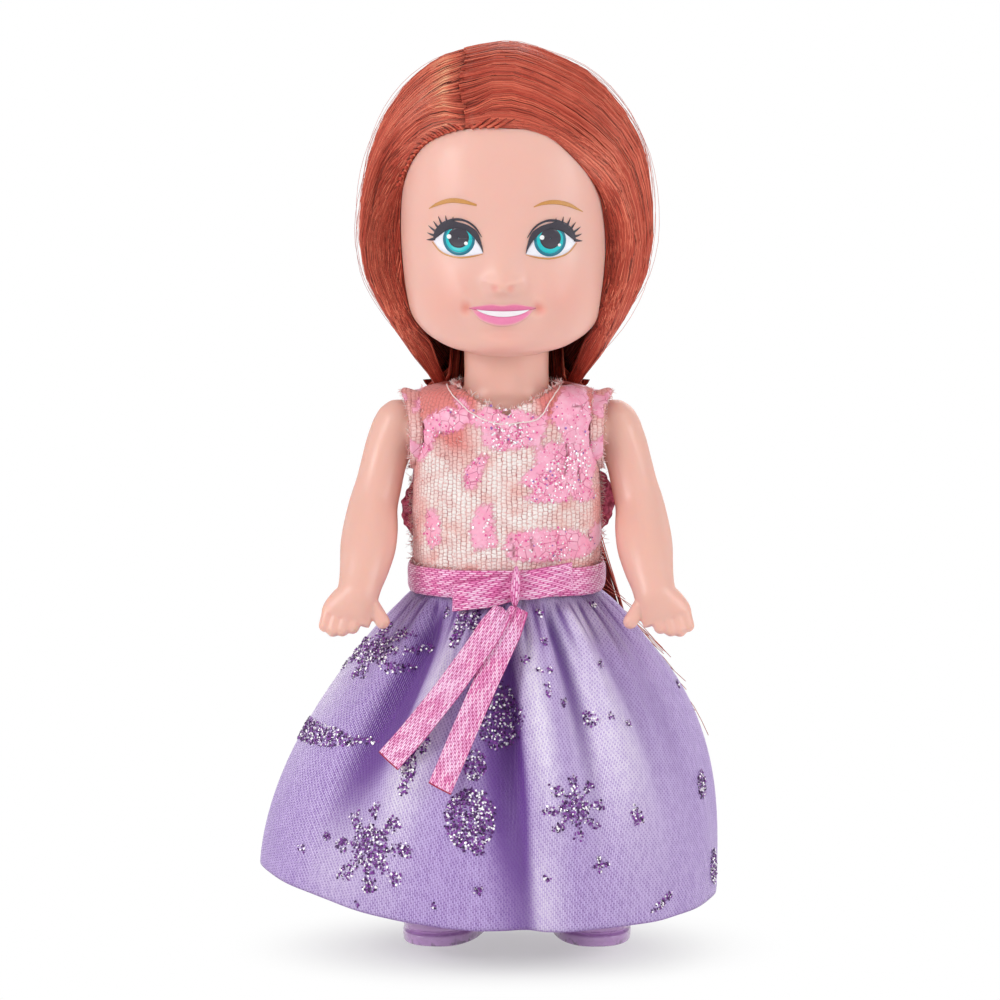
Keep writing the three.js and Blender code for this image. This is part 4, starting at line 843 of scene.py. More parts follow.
def lash(root, tip, width):
    """A tapered stroke from root to tip, bowed a little upwards."""
    root, tip = np.array(root), np.array(tip)
    t = np.linspace(0, 1, 9)[:, None]
    bow = root * 0.45 + tip * 0.55 + np.array([0.02, -0.1])
    middle = root * (1 - t) ** 2 + bow * 2 * t * (1 - t) + tip * t * t
    across = np.array([-(tip - root)[1], (tip - root)[0]]) / np.linalg.norm(tip - root)
    half = width / 2 * (1 - t) ** 0.8 + 0.012
    return np.stack([middle - across * half, middle, middle + across * half], axis=0)


def thickened(piece, thickness, offset=-1.0):
    """Gives a thin skin its wall, in millimetres: inside the skin at offset -1 and outside it at 1."""
    wall = piece.modifiers.new("wall", "SOLIDIFY")
    wall.thickness = thickness * MM
    wall.offset = offset


def printed(name, patches, colour, deep, layer, roughness=0.3, soft_edge=None):
    """A film of one colour on the face: patches of places across and up, laid on the skin. Its material is an
    ink with a fine grain, which fades into the vinyl's colour near the outer edge where soft_edge says so."""
    coat = {"Specular_IOR_Level": 0.5, "Coat_Weight": 0.2, "Coat_Roughness": 0.15}
    ink, shader = finish(name.replace("_", " "), IOR=1.45, **coat)
    place = own_place()
    grain = spread(noise(place, 9000, 2), 0.42, 0.62)
    wash = uneven(place, 800, 2, 0, 0.5)
    shade = blended(maths("MULTIPLY", maths("ADD", grain, wash), 0.4), colour, deep)
    if soft_edge:
        across = own_map()
        fade = spread(across["Y"], soft_edge, 1.0, 0, 0.9)
        ends = spread(maths("ABSOLUTE", maths("SUBTRACT", across["X"], 0.5)), 0.4, 0.5, 0, 0.6)
        shade = blended(maths("MAXIMUM", fade, ends), shade, FACE)
    join(
        shader,
        Base_Color=shade,
        Roughness=spread(grain, 0, 1, roughness, roughness + 0.1),
        Normal=bumped(noise(place, 3000, 2), 0.15, 0.01),
    )
    points, faces, corner_uv, start = [], [], [], 0
    for patch in patches:
        rows, columns = patch.shape[:2]
        x, z = patch[..., 0], patch[..., 1]
        y = face_front(x, z) - PAINT * layer
        points.append(np.stack([x, y, z], -1).reshape(-1, 3))
        cells = grid_faces(rows, columns, False)
        corners = points[-1][cells]
        facing = np.cross(corners[:, 2] - corners[:, 0], corners[:, 3] - corners[:, 1])[:, 1].sum()
        uv = np.stack(np.meshgrid(np.linspace(0, 1, columns), np.linspace(0, 1, rows)), -1).reshape(-1, 2)
        cells = cells if facing < 0 else cells[:, ::-1]
        faces.append(cells + start)
        corner_uv.append(uv[cells.ravel()])
        start += rows * columns
    film = mesh_object(name, np.concatenate(points), [np.concatenate(faces)], ink, np.concatenate(corner_uv))
    thickened(film, PAINT, 1.0)
    fitted(film, "head")


def both_eyes(patches):
    """Patches round the right iris, put on both eyes."""
    placed_right = [patch + np.array(EYE) for patch in patches]
    return placed_right + [patch * [-1, 1] + [EYE_MIRROR, -0.12] for patch in placed_right]


CHARCOAL = (0.026, 0.020, 0.034)
printed("eye_white_print", both_eyes([band(WHITE_LOW, WHITE_TOP)]), (0.88, 0.87, 0.92), (0.74, 0.72, 0.82), 1)
printed("iris_rim_print", both_eyes([disc(0.02, 0.09, 2.07)]), (0.006, 0.19, 0.27), (0.004, 0.12, 0.20), 2)
printed("iris_print", both_eyes([disc(0.02, 0.14, 1.72)]), (0.0, 0.56, 0.60), (0.0, 0.42, 0.48), 3)
lid_patches = [disc(-0.03, 0.33, 1.34), band(LID_LOW, LID_TOP), band(CREASE_LOW, CREASE_TOP)]
printed(
    "lid_print", both_eyes(lid_patches + [lash(*l) for l in LASHES]), CHARCOAL, (0.05, 0.04, 0.06), 4, 0.35
)
shines = [disc(EYE[0] + x, EYE[1] + z, r, 20, 4) for x, z, r in SHINES["right"]]
shines += [disc(EYE_MIRROR - EYE[0] + x, EYE[1] - 0.12 + z, r, 20, 4) for x, z, r in SHINES["left"]]
printed("eye_shine_print", shines, (0.95, 0.95, 0.95), (0.85, 0.88, 0.9), 5.2)
brow_patches = [band(BROWS[1], BROWS[0]), band(BROWS[3], BROWS[2])] + both_eyes([band(UNDER_LOW, UNDER_TOP)])
printed("brow_print", brow_patches, (0.62, 0.29, 0.07), (0.48, 0.19, 0.04), 1.2, 0.4)
printed("upper_lip_print", [band(LIP_LINE, MOUTH_TOP)], (0.80, 0.19, 0.37), (0.72, 0.14, 0.30), 1, 0.28, 0.6)
printed(
    "lower_lip_print", [band(TEETH_LOW, MOUTH_LOW)], (0.84, 0.24, 0.43), (0.78, 0.18, 0.36), 1, 0.28, 0.62
)
lip_line = band([(a, b - 0.09) for a, b in LIP_LINE], LIP_LINE, 60, 4)
printed("lip_line_print", [lip_line], (0.62, 0.10, 0.22), (0.5, 0.08, 0.18), 2.2, 0.35)
printed("teeth_print", [band(TEETH_LOW, TEETH_TOP)], (0.92, 0.90, 0.92), (0.84, 0.82, 0.86), 3.2)

# Hair. Auburn nylon, rooted in tufts along a zigzag side parting and round the hairline, combed
# smooth over the head and drawn in at the neck. A dark under-layer, its colour painted shade of
# the deeper hair, fills it; single fibres, gathered in locks, lie over that.

HAIR_SIDE = 5.3
HAIR_TOP = 4.8
HAIR_BACK = 4.6
HAIR_FRONT = 1.1
HAIR_NECK_WIDTH = 19.4
HAIR_NAPE = 12.6
HEAD_MIDDLE = lerp(HEAD_BASE, HEAD_TOP, 0.42)
FIBRE = 0.062  # radius of a drawn fibre, which stands for a few real ones
UNDER = 0.8  # how far the under-layer lies beneath the outermost fibres
ROLL = 0.055  # share of each side over which the hair rises from the hairline to its full thickness
LOCKS = 58
HAIR_DARK = (0.10, 0.012, 0.010)
HAIR_RED = (0.54, 0.072, 0.046)
HAIR_COPPER = (0.86, 0.23, 0.14)
HAIR_HIGHLIGHT_GOLD = (0.97, 0.60, 0.36)
dice = np.random.default_rng(11)

# Guide lines on each side of the parting, from it to the nape: the share of the side's hair, then the points.
back_line = [
    (-4, 7, 117), (-2.6, 12, 114), (-1.0, 16.4, 107.6), (0, 18.6, 98), (0, 18.4, 90), (0, 16.3, 83),
    (0, 14, 77.5), (0, 13, 74)
]
GUIDES = {
    "left": [
        (0.0, [
            (-4.9, -10.2, 107.5), (0, -11.2, 108), (4.5, -10.9, 107.4), (8.2, -10.2, 104.2),
            (10.7, -8.6, 100.9), (11.9, -7.2, 98.1), (12.5, -6.6, 95.3), (12.9, -6.0, 91), (12.5, -6.4, 86.8),
            (11.8, -6.0, 84.4), (10.6, -3.6, 81.6), (9.4, -0.4, 79), (8.3, 2.2, 76.5), (7.4, 4, 74)
        ]),
        (0.3, [
            (-4.9, -6, 114.5), (1, -7.5, 115), (7, -7.2, 113), (12, -6, 108), (15.6, -4.6, 102),
            (17.6, -3.4, 95), (17.4, -2, 88), (15, 0, 82.5), (11.5, 3, 78), (9.3, 5.5, 74)
        ]),
        (0.62, [
            (-4.9, -1, 118), (1, -1, 119), (8, -0.3, 117), (13.5, 1.2, 112), (17.2, 3.2, 104.5),
            (18.6, 5.2, 96), (17.8, 6.6, 88.5), (14.8, 8.2, 82), (11, 9.3, 77.5), (9, 9.6, 74)
        ]),
        (0.82, [
            (-5.0, 4, 118), (1, 6.5, 117.5), (7, 9.5, 114.5), (11.5, 12, 108.5), (13.8, 13.6, 100.5),
            (13.9, 14, 92.5), (12.3, 13.8, 85.5), (9, 13, 79.5), (6.2, 12.2, 74)
        ]),
        (1.0, back_line),
    ],
    "right": [
        (0.0, [
            (-4.9, -10.2, 107.5), (-8.4, -9.3, 107.2), (-10.3, -7.9, 106.1), (-11.9, -6.3, 104.2),
            (-13.0, -4.7, 101.8), (-13.6, -3.4, 99), (-13.9, -2.6, 95), (-13.9, -2.4, 91), (-13.6, -2.6, 87),
            (-12.9, -2.6, 84), (-11.6, -1.8, 81.5), (-10.0, 0, 79), (-8.6, 2.2, 76.5), (-7.4, 4, 74)
        ]),
        (0.3, [
            (-4.9, -6, 114.5), (-8, -6.8, 113), (-11.5, -6, 109.5), (-14.6, -4.6, 104.5), (-16.9, -2.6, 98.5),
            (-17.9, -0.8, 92), (-16.8, 0.8, 86), (-14, 2.2, 81.5), (-11, 4, 77.5), (-9.3, 5.5, 74)
        ]),
        (0.62, [
            (-4.9, -1, 118), (-9.5, -0.7, 117), (-13.3, 0.3, 113.5), (-16.4, 2, 108), (-18.4, 4.2, 100),
            (-18.6, 5.8, 92.5), (-16.9, 7.4, 86), (-14, 8.6, 81), (-10.9, 9.4, 77.3), (-9, 9.6, 74)
        ]),
        (0.82, [
            (-5, 4, 118), (-7.4, 6.8, 116.5), (-10, 9.6, 112.5), (-12.5, 12, 106.5), (-14, 13.5, 99),
            (-13.8, 14, 92), (-12.2, 13.8, 85.5), (-9, 13, 79.5), (-6.2, 12.2, 74)
        ]),
        (1.0, back_line),
    ],
}

# Shares of the head's and of the neck's roundness down the hanging part of the hair.
hang = smooth([[0, 1, 0], [0.25, 0.95, 0], [0.5, 0.665, 0.31], [0.72, 0.34, 0.66], [1, 0, 1], [1.4, 0, 0.9]])


def in_hair(points):
    """Whether points lie inside the hair's outer form: an egg above the head's middle, and below it level
    ovals that shrink from the head's breadth to the neck's."""
    x, y, z = np.moveaxis(points, -1, 0)
    distance = np.hypot(x, y)
    sine, cosine = x / np.maximum(distance, 1e-9), -y / np.maximum(distance, 1e-9)
    level = np.where(cosine > 0, FACE_DEPTH + HAIR_FRONT, SKULL_DEPTH + HAIR_BACK)
    nape = np.where(cosine > 0, HAIR_NECK_WIDTH / 2, HAIR_NAPE)
    broad = 1 / np.hypot(sine / (HEAD_WIDTH / 2 + HAIR_SIDE), cosine / level)
    narrow = 1 / np.hypot(sine / (HAIR_NECK_WIDTH / 2), cosine / nape)
    up = np.maximum(z - HEAD_MIDDLE, 0) / (HEAD_TOP + HAIR_TOP - HEAD_MIDDLE)
    full = 2.25 + 0.085 * (1 + sine)  # the crown is fuller on the side that the hair is combed over to
    above = (distance / broad) ** full + up**full < 1
    down = hang(np.maximum(HEAD_MIDDLE - z, 0) / (HEAD_MIDDLE - NECK_BASE))
    below = distance < broad * down[..., 0] + narrow * down[..., 1]
    return np.where(z >= HEAD_MIDDLE, above, below)


def in_head(points):
    """Whether points lie inside the head's vinyl, without the face's small forms."""
    x, y, z = np.moveaxis(points, -1, 0)
    half, centre, depth = head_reaches(z)
    ring = (np.abs(x) / half) ** HEAD_SQUARE + (np.abs(y - centre) / depth) ** HEAD_SQUARE < 1
    return ring & (z > HEAD_BASE) & (z < HEAD_TOP)


def reach(inside, ways):
    """How far a form reaches from the head's middle along each way, found by halving the span 22 times."""
    near, far = np.zeros(ways.shape[:-1]), np.full(ways.shape[:-1], 40.0)
    for _ in range(22):
        middle = (near + far) / 2
        is_in = inside(ways * middle[..., None] + [0, 0, HEAD_MIDDLE])
        near, far = np.where(is_in, middle, near), np.where(is_in, far, middle)
    return near


GUIDE_STEPS = 81


def combed(side):
    """The direction field of one side's hair: at a share of the side and a share of the way down, the
    direction from the head's middle, on smooth curves through the side's guide lines."""
    shares = np.array([share for share, _ in GUIDES[side]])
    table = np.stack([through_points(line, GUIDE_STEPS) - [0, 0, HEAD_MIDDLE] for _, line in GUIDES[side]])
    table /= np.linalg.norm(table, axis=-1, keepdims=True)
    curves = smooth(np.column_stack([shares, table.reshape(len(shares), -1)]))

    def ways(a, t):
        rows = curves(a).reshape(*a.shape, GUIDE_STEPS, 3)
        step = np.clip(t, 0, 1) * (GUIDE_STEPS - 1)
        low = np.clip(step.astype(int), 0, GUIDE_STEPS - 2)
        share = (step - low)[..., None]
        first = np.take_along_axis(rows, low[..., None, None], axis=-2)[..., 0, :]
        second = np.take_along_axis(rows, low[..., None, None] + 1, axis=-2)[..., 0, :]
        way = first + (second - first) * share
        return way / np.linalg.norm(way, axis=-1, keepdims=True)

    return ways


def spread_smooth(x):
    """0 below 0, 1 above 1, and between them a smooth step."""
    x = np.clip(x, 0, 1)
    return x * x * (3 - 2 * x)


def laid(ways, a, t, depth, clear=0.22):
    """Points in the hair of one side. The outermost layer rises from the scalp at the hairline, over the
    forehead on a gentle slope and beside the face on a quarter circle, and dips into the parting. Everything
    lies depth further in, but clear of the scalp."""
    way = ways(a, t)
    outer = reach(in_hair, way)
    scalp = reach(in_head, way) + clear
    beside_face = spread_smooth((t - 0.22) / 0.34)
    slope = np.sin(math.pi / 2 * np.clip(a / (3 * ROLL), 0, 1))
    rise = lerp(slope, np.sqrt(1 - (1 - np.clip(a / ROLL, 0, 1)) ** 2), beside_face)
    under_jaw = np.clip((t - 0.8) / 0.1, 0, 1)
    bottom = np.where(scalp > outer, outer - 0.3, scalp)
    bottom = lerp(bottom, outer - 2.2, under_jaw)
    dip = 0.3 * (1 - spread_smooth(t / 0.08)) * np.clip(a * 8 + 0.35, 0, 1)
    dip = dip + 1.0 * spread_smooth(way[..., 0] / 0.3) * spread_smooth((way[..., 2] - 0.5) / 0.4)
    length = lerp(bottom, outer, rise) - (dip + depth) * np.clip(2 * rise, 0, 1)
    length = np.maximum(length, np.where(under_jaw > 0.5, 0, bottom))
    return way * length[..., None] + [0, 0, HEAD_MIDDLE]


def tagged(piece, name, values):
    """Puts a value on each of the piece's points, which a material reads with read_tag."""
    tag = piece.data.attributes.new(name, "FLOAT", "POINT")
    tag.data.foreach_set("value", np.ascontiguousarray(values, np.float32).ravel())


def read_tag(name):
    """The value that tagged put on the piece's points, for its material."""
    return node("Attribute", attribute_name=name).outputs["Fac"]


def fibres(name, lines, radii, shades, material):
    """Many thin three-sided tubes along lines (fibres by points by coordinates), closed at both ends, with
    their shades, for each fibre or each of its points, in the tag "shade"."""
    count, steps = lines.shape[:2]
    along = np.gradient(lines, axis=1)
    along /= np.linalg.norm(along, axis=-1, keepdims=True) + 1e-12
    outward = lines * [1, 1, 0] + [0, 0, 0.01]
    across = np.cross(along, outward)
    across /= np.linalg.norm(across, axis=-1, keepdims=True) + 1e-12
    through = np.cross(across, along)
    corner = 2 * math.pi * np.arange(3) / 3
    way = across[:, :, None] * np.sin(corner)[:, None] + through[:, :, None] * np.cos(corner)[:, None]
    ring = lines[:, :, None] + radii[..., None, None] * way
    index = np.arange(count * steps * 3).reshape(count, steps, 3)
    ahead = np.roll(index, -1, axis=2)
    quads = np.stack([index[:, :-1], ahead[:, :-1], ahead[:, 1:], index[:, 1:]], -1).reshape(-1, 4)
    ends = np.concatenate([index[:, 0, ::-1], index[:, -1]])
    hair = mesh_object(name, ring.reshape(-1, 3), [quads, ends], material)
    tagged(hair, "shade", np.repeat(np.broadcast_to(shades.reshape(count, -1), (count, steps)), 3))
    return hair


hair_nylon, shader = finish(
    "hair nylon", IOR=1.55, Specular_IOR_Level=0.5, Specular_Tint=(1.0, 0.72, 0.55, 1)
)
place = own_place()
shade = read_tag("shade")
shade = maths("ADD", shade, uneven(place, 180, 2, -0.06, 0.06))
# Low shades run to near black, mostly as painted shade of deeper fibres; shades above 1 run to gold, a
# painted highlight.
low = blended(spread(shade, 0.0, 0.5), HAIR_DARK, HAIR_RED)
copper = blended(spread(shade, 0.55, 1.0), low, HAIR_COPPER)
join(
    shader,
    Base_Color=blended(spread(shade, 1.0, 1.5), copper, HAIR_HIGHLIGHT_GOLD),
    Roughness=uneven(place, 1500, 2, 0.34, 0.46),
    Normal=bumped(noise(place, 6000, 2), 0.2, 0.02),
)

# The under-layer's dark colour is painted shade: it stands for the deeper hair, which lies in shadow.
hair_under, shader = finish(
    "hair under-layer", IOR=1.55, Specular_IOR_Level=0.5, Specular_Tint=(1.0, 0.7, 0.5, 1)
)
uv = node("UVMap", uv_map="UVMap").outputs["UV"]
along_hair = node("Mapping", {"Vector": uv, "Scale": (230, 5, 1)}).outputs[0]
thread = noise(along_hair, 1.0, 3, 0.6)
join(
    shader,
    Base_Color=blended(spread(thread, 0.40, 0.62), HAIR_DARK, (0.44, 0.056, 0.036)),
    Roughness=spread(thread, 0.3, 0.7, 0.55, 0.4),
    Normal=bumped(thread, 0.7, 0.2),
)


def lock_of(a, t, centres, sways):
    """Draws each fibre towards its lock's middle as it runs down, and sways the lock a little, hardly at all
    on the round edge beside the face, where a gap would show the under-layer."""
    number = np.clip(np.searchsorted(centres, a[:, 0]) - 1, 0, len(centres) - 2)
    nearer = number + (a[:, 0] - centres[number] > centres[number + 1] - a[:, 0])
    middle = centres[nearer][:, None]
    width = np.gradient(centres)[nearer][:, None]
    loose_hair = 0.1 + 0.9 * spread_smooth((a[:, :1] - ROLL) / (1.5 * ROLL))
    drawn = 0.35 * spread_smooth((t - 0.05) / 0.6) * loose_hair
    sway = sways[nearer][:, None] * width * np.sin(2.2 * math.pi * t + 9 * sways[nearer][:, None])
    from_middle = (a - middle) / width
    return a + (middle - a) * drawn + sway * spread_smooth(t / 0.3) * loose_hair, from_middle


FIBRE_STEPS = 18
for name, side in (("left", 1), ("right", -1)):
    ways = combed(name)
    a = np.concatenate([np.linspace(0, ROLL, 16)[:-1], np.linspace(ROLL, 1, 70)])
    a, t = np.meshgrid(a, np.linspace(0, 1, 80))
    ridges = 0.1 * np.cos(a * LOCKS * 2 * math.pi)
    grid = laid(ways, a, t, UNDER + ridges * (a > ROLL), clear=0.03)
    under = surface(f"hair_{name}_under", grid, hair_under, flip=side > 0)
    thickened(under, 0.5)
    fitted(under, "head", f"hair_{name}")

    count = 3200 if side > 0 else 2800
    centres = np.sort(
        np.clip(np.linspace(-0.01, 1.01, LOCKS) + dice.uniform(-0.35, 0.35, LOCKS) / LOCKS, 0, 1)
    )
    sways = dice.uniform(-0.35, 0.35, LOCKS)
    lock_tones = dice.normal(0, 0.06, LOCKS)
    even = (np.arange(count) + dice.uniform(0, 1, count)) / count
    a = np.where(even < 0.2, even / 0.2 * ROLL, ROLL + (even - 0.2) / 0.8 * (1 - ROLL))[:, None]
    start = np.where(dice.uniform(0, 1, count) < 0.1, dice.uniform(0, 0.25, count), 0)[:, None]
    end = (1 - np.abs(dice.normal(0, 0.012, count)))[:, None]
    t = start + (end - start) * np.linspace(0, 1, FIBRE_STEPS) ** 1.3
    drawn_a, from_middle = lock_of(a + 0 * t, t, centres, sways)
    drawn_a = np.clip(drawn_a + dice.normal(0, 0.006, (count, 1)) * np.sin(5 * t + 6 * even[:, None]), 0, 1)
    layer = dice.uniform(0, 1, (count, 1)) ** 1.4
    depth = 0.6 * layer + 0.22 * np.clip(np.abs(from_middle), 0, 0.6) ** 2 * spread_smooth(t / 0.2)
    depth += 0.07 * np.sin(7 * t + 20 * even[:, None])
    # At the parting the fibres come from further in front, as in a herringbone.
    drawn_a = np.clip(drawn_a - 0.05 * spread_smooth(a / 0.12) * (1 - spread_smooth(t / 0.09)), 0, 1)
    lines = laid(ways, drawn_a, t, depth - 0.05)
    # At the back the ends reach down over the long hair, each by its own length.
    overhang = 5.5 * dice.uniform(0, 1, (count, 1)) ** 1.5 * spread_smooth((a - 0.35) / 0.2)
    overhang = overhang * spread_smooth((t - 0.86) / 0.14)
    lines = lines * (1 - 0.022 * overhang[..., None] * [1, 1, 0]) - overhang[..., None] * [0, 0, 1]
    # Roots cross the parting by turns and leave it in a zigzag.
    at_root = 1 - spread_smooth(t / 0.055)
    crossing = 0.5 + 0.5 * np.sign(np.sin(a * 110 + (math.pi if side > 0 else 0)))
    lines[..., 0] -= side * (0.55 * crossing - 0.12) * at_root
    lines[..., 0] += 0.3 * np.sin(a * 17 + 0.4) * (1 - spread_smooth(t / 0.12))
    lines[..., 2] += 0.07 * at_root * crossing
    taper = np.ones(FIBRE_STEPS)
    taper[-2:] = (0.8, 0.35)
    radii = FIBRE * dice.uniform(0.75, 1.3, (count, 1)) * taper
    in_lock = lock_tones[np.clip(np.searchsorted(centres, a[:, 0]) - 1, 0, LOCKS - 1)]
    # Painted shade: deeper fibres, fibres at a lock's edges, and at the parting the roots that do not cross
    # it, are darker; the random spread and the locks' tones are the hair's own.
    shades = (
        0.62 - 0.34 * layer[:, 0] - 0.14 * np.abs(from_middle[:, 0]) + in_lock + dice.normal(0.0, 0.26, count)
    )
    shades = np.clip(shades, 0.02, 1)[:, None] - 0.2 * at_root * (1 - crossing)
    # Painted highlight: a gold band just below the parting on the doll's right side.
    if side < 0:
        glow = bell((t - 0.065) / 0.04) * bell((a - 0.3) / 0.34)
        shades = shades + 1.0 * glow * dice.uniform(0.2, 1, (count, 1)) * (shades > 0.3)
    shades = shades + 0 * t
    # Fibres rooted along the hairline, which leave it at a slant and lie over the others beside the face.
    extra = 1300
    root = dice.uniform(0.0, 0.5, (extra, 1)) ** 1.15
    share = np.linspace(0, 1, 12)[None, :]
    fan = (
        dice.uniform(0.03, 0.2, (extra, 1)) * (1.15 - root) * lerp(1, 0.4, spread_smooth((root - 0.1) / 0.15))
    )
    slant_a = 0.001 + fan * share ** dice.uniform(0.7, 1.0, (extra, 1))
    slant_a = slant_a + dice.normal(0, 0.003, (extra, 1)) * np.sin(6 * share)
    slant_t = root + (1 - root) * dice.uniform(0.75, 1.0, (extra, 1)) * share
    slant_a = np.clip(slant_a * (1 - 0.55 * spread_smooth((slant_t - 0.55) / 0.4)), 0.001, 1)
    slant_depth = dice.uniform(-0.12, 0.25, (extra, 1)) + 0.4 * share + 0.05 * np.sin(9 * share + root * 40)
    slant = laid(ways, slant_a, slant_t, slant_depth)
    # Painted shade: each hairline fibre is darker at its root.
    slant_shades = 0.55 + dice.normal(0, 0.24, (extra, 1)) - 0.3 * (1 - spread_smooth(share / 0.06))
    slant_shades = np.clip(slant_shades, 0.02, 1) + 0 * share
    slant_radii = FIBRE * dice.uniform(0.75, 1.2, (extra, 1)) * taper[-12:]
    half = np.arange(count) % 2 == 0
    layers = [
        fibres(f"hair_{name}_fibres_{part}", lines[chosen], radii[chosen], shades[chosen], hair_nylon)
        for part, chosen in (("one", half), ("two", ~half))
    ]
    layers.append(fibres(f"hair_{name}_hairline_fibres", slant, slant_radii, slant_shades, hair_nylon))

    # Tufts: twisted ends of fibre at the hairline beside the parting, laid the way the hair is combed.
    tuft_t = np.linspace(0, 1, 8)
    tuft_height = 0.16 + 0.16 * np.sin(math.pi * tuft_t)
    tufts = []
    for root_t in np.linspace(0.012, 0.31, 15) if side < 0 else np.linspace(0.012, 0.07, 4):
        tuft_a = 0.002 + lerp(0.028, 0.007, spread_smooth((root_t - 0.1) / 0.15)) * tuft_t**1.3
        tufts.append(laid(ways, tuft_a, root_t + 0.045 * tuft_t, -tuft_height))
    tufts = np.stack(tufts)
    strands = []
    for turn in (0.0, 2.1, 4.2):
        phase = turn + 6.0 * tuft_t
        swing = (
            np.stack([np.cos(phase), np.sin(phase), np.sin(phase + 1)], -1) * 0.2
            * (1 - 0.7 * tuft_t)[:, None]
        )
        strands.append(tufts + swing)
    strands = np.concatenate(strands)
    tuft_radii = 0.28 * (1 - 0.8 * tuft_t) + 0 * strands[..., 0]
    tuft_shades = np.repeat([0.15, 0.55, 0.8], len(tufts)) + dice.uniform(-0.1, 0.1, len(strands))
    tuft = fibres(f"hair_{name}_tufts", strands, tuft_radii, tuft_shades, hair_nylon)

    # Stray fibres that stand off the combed surface.
    stray_count = 22
    a = dice.uniform(0.05, 0.95, (stray_count, 1))
    t = dice.uniform(0.0, 0.35, (stray_count, 1)) + np.linspace(0, 0.6, FIBRE_STEPS)
    arch = np.sin(math.pi * np.linspace(0.05, 0.95, FIBRE_STEPS)) ** 1.5
    lift = dice.uniform(0.2, 0.9, (stray_count, 1)) * arch
    wander = dice.normal(0, 0.03, (stray_count, 1)) * np.linspace(0, 1, FIBRE_STEPS)
    lines = laid(ways, np.clip(a + wander, 0, 1), np.clip(t, 0, 1), -lift)
    stray_radii = np.full(lines.shape[:2], 0.03)
    stray = fibres(f"hair_{name}_strays", lines, stray_radii, dice.uniform(0.3, 0.9, stray_count), hair_nylon)
    for piece in (*layers, tuft, stray):
        fitted(piece, "head")

# Skirt. A full skirt of lilac polyester satin: one strip, its top edge gathered on to a
# straight band under the belt, its hem cut hot and left unhemmed. Purple and silver glitter is
# printed on it in snowflakes and drops.

FLARE_Z = 46.6
SKIRT_LENGTH = 40.4  # down from the flare at the sides
HEM_LIFT = 4.2  # the doll's right side of the hem hangs higher
FLARE_REACH = {"side": 12.2, "front": 10.6, "back": 9.4}
HEM_REACH = {"left": 28.0, "right": 32.6, "front": 25.4, "back": 23.4}
SATIN = 0.34
# Each fold: degrees from the front at the waist and at the hem, half width to either side in degrees, depth
# (a ridge is negative), where down the skirt it is deepest, and the share of it that reaches the hem.
FOLDS = [
    (-46, -57, 6.5, 13, 3.4, 0.22, 0.1),
    (-29, -38, 8, 8, -1.2, 0.35, 0.3),
    (-17, -20, 5, 5, 0.6, 0.3, 0.2),
    (0, 6.5, 12, 3.6, 3.6, 0.45, 0.45),
    (10, 17, 5, 8, -1.3, 0.4, 0.4),
    (28, 29, 5, 4, 1.9, 0.12, 0.05),
    (-72, -76, 10, 8, -0.8, 0.2, 0.2),
    (62, 66, 13, 13, 1.0, 0.35, 0.3),
    (112, 118, 12, 12, 2.0, 0.5, 0.5),
    (146, 150, 11, 8, 1.8, 0.45, 0.4),
    (-112, -108, 9, 12, 2.1, 0.5, 0.5),
    (-148, -146, 11, 11, 1.7, 0.5, 0.4),
    (38, 45, 5, 6, -0.6, 0.3, 0.2),
    (47, 54, 4, 5, 0.7, 0.2, 0.15),
    (88, 92, 7, 8, -0.8, 0.4, 0.3),
    (-84, -84, 8, 7, -0.9, 0.4, 0.3),
    (180, 180, 9, 9, -0.9, 0.5, 0.4),
]


def skirt_plain(turn, down):
    """The skirt's radius without folds: a superellipse that opens from the waist to the hem, at the doll's
    right nearly in a cone and at its left in a bell."""
    sine, cosine = np.sin(turn), np.cos(turn)
    bulge = np.clip(0.5 + 0.5 * sine, 0, 1)
    flare = lerp(1 - (1 - down) ** 1.6, 1 - (1 - down) ** 2.75, bulge)
    side_hem = np.where(sine > 0, HEM_REACH["left"], HEM_REACH["right"])
    deep_top = np.where(cosine > 0, FLARE_REACH["front"], FLARE_REACH["back"])
    deep_hem = np.where(cosine > 0, HEM_REACH["front"], HEM_REACH["back"])
    side, deep = lerp(FLARE_REACH["side"], side_hem, flare), lerp(deep_top, deep_hem, flare)
    square = lerp(2, 2.2, down)
    return (np.abs(sine / side) ** square + np.abs(cosine / deep) ** square) ** (-1 / square)


def degrees_off(turn, degrees):
    """How many degrees a turn in radians lies beside a direction, from -180 to 180."""
    off = turn - np.radians(degrees)
    return np.degrees(np.arctan2(np.sin(off), np.cos(off)))


def fold_depth(turn, down):
    """How far the folds draw the cloth inwards: each runs down from the waist, deepens on a quarter sine,
    then fades on a half cosine towards the hem, and has a bell's section, steeper to one side."""
    total = 0 * turn * down
    for top, hem, left, right, deep, place, kept in FOLDS:
        off = degrees_off(turn, lerp(top, hem, down))
        rise = np.sin(math.pi / 2 * np.minimum(1, down / place))
        past = np.maximum(0, (down - place) / (1 - place))
        fading = lerp(1, kept, (1 - np.cos(math.pi * past)) / 2)
        total += deep * rise * fading * bell(off / np.where(off < 0, left, right))
    return total


def hem_height(turn):
    """How high the hem hangs above the floor at a turn from the front."""
    return FLARE_Z - SKIRT_LENGTH + HEM_LIFT * np.maximum(0, -np.sin(turn)) ** 2 - 0.8 * np.cos(turn)


def pleat_wave(turn):
    """1 on the crest of each small pleat that the gathered waist lays, -1 between two."""
    return np.cos(47 * turn + 1.3 * np.sin(5 * turn))


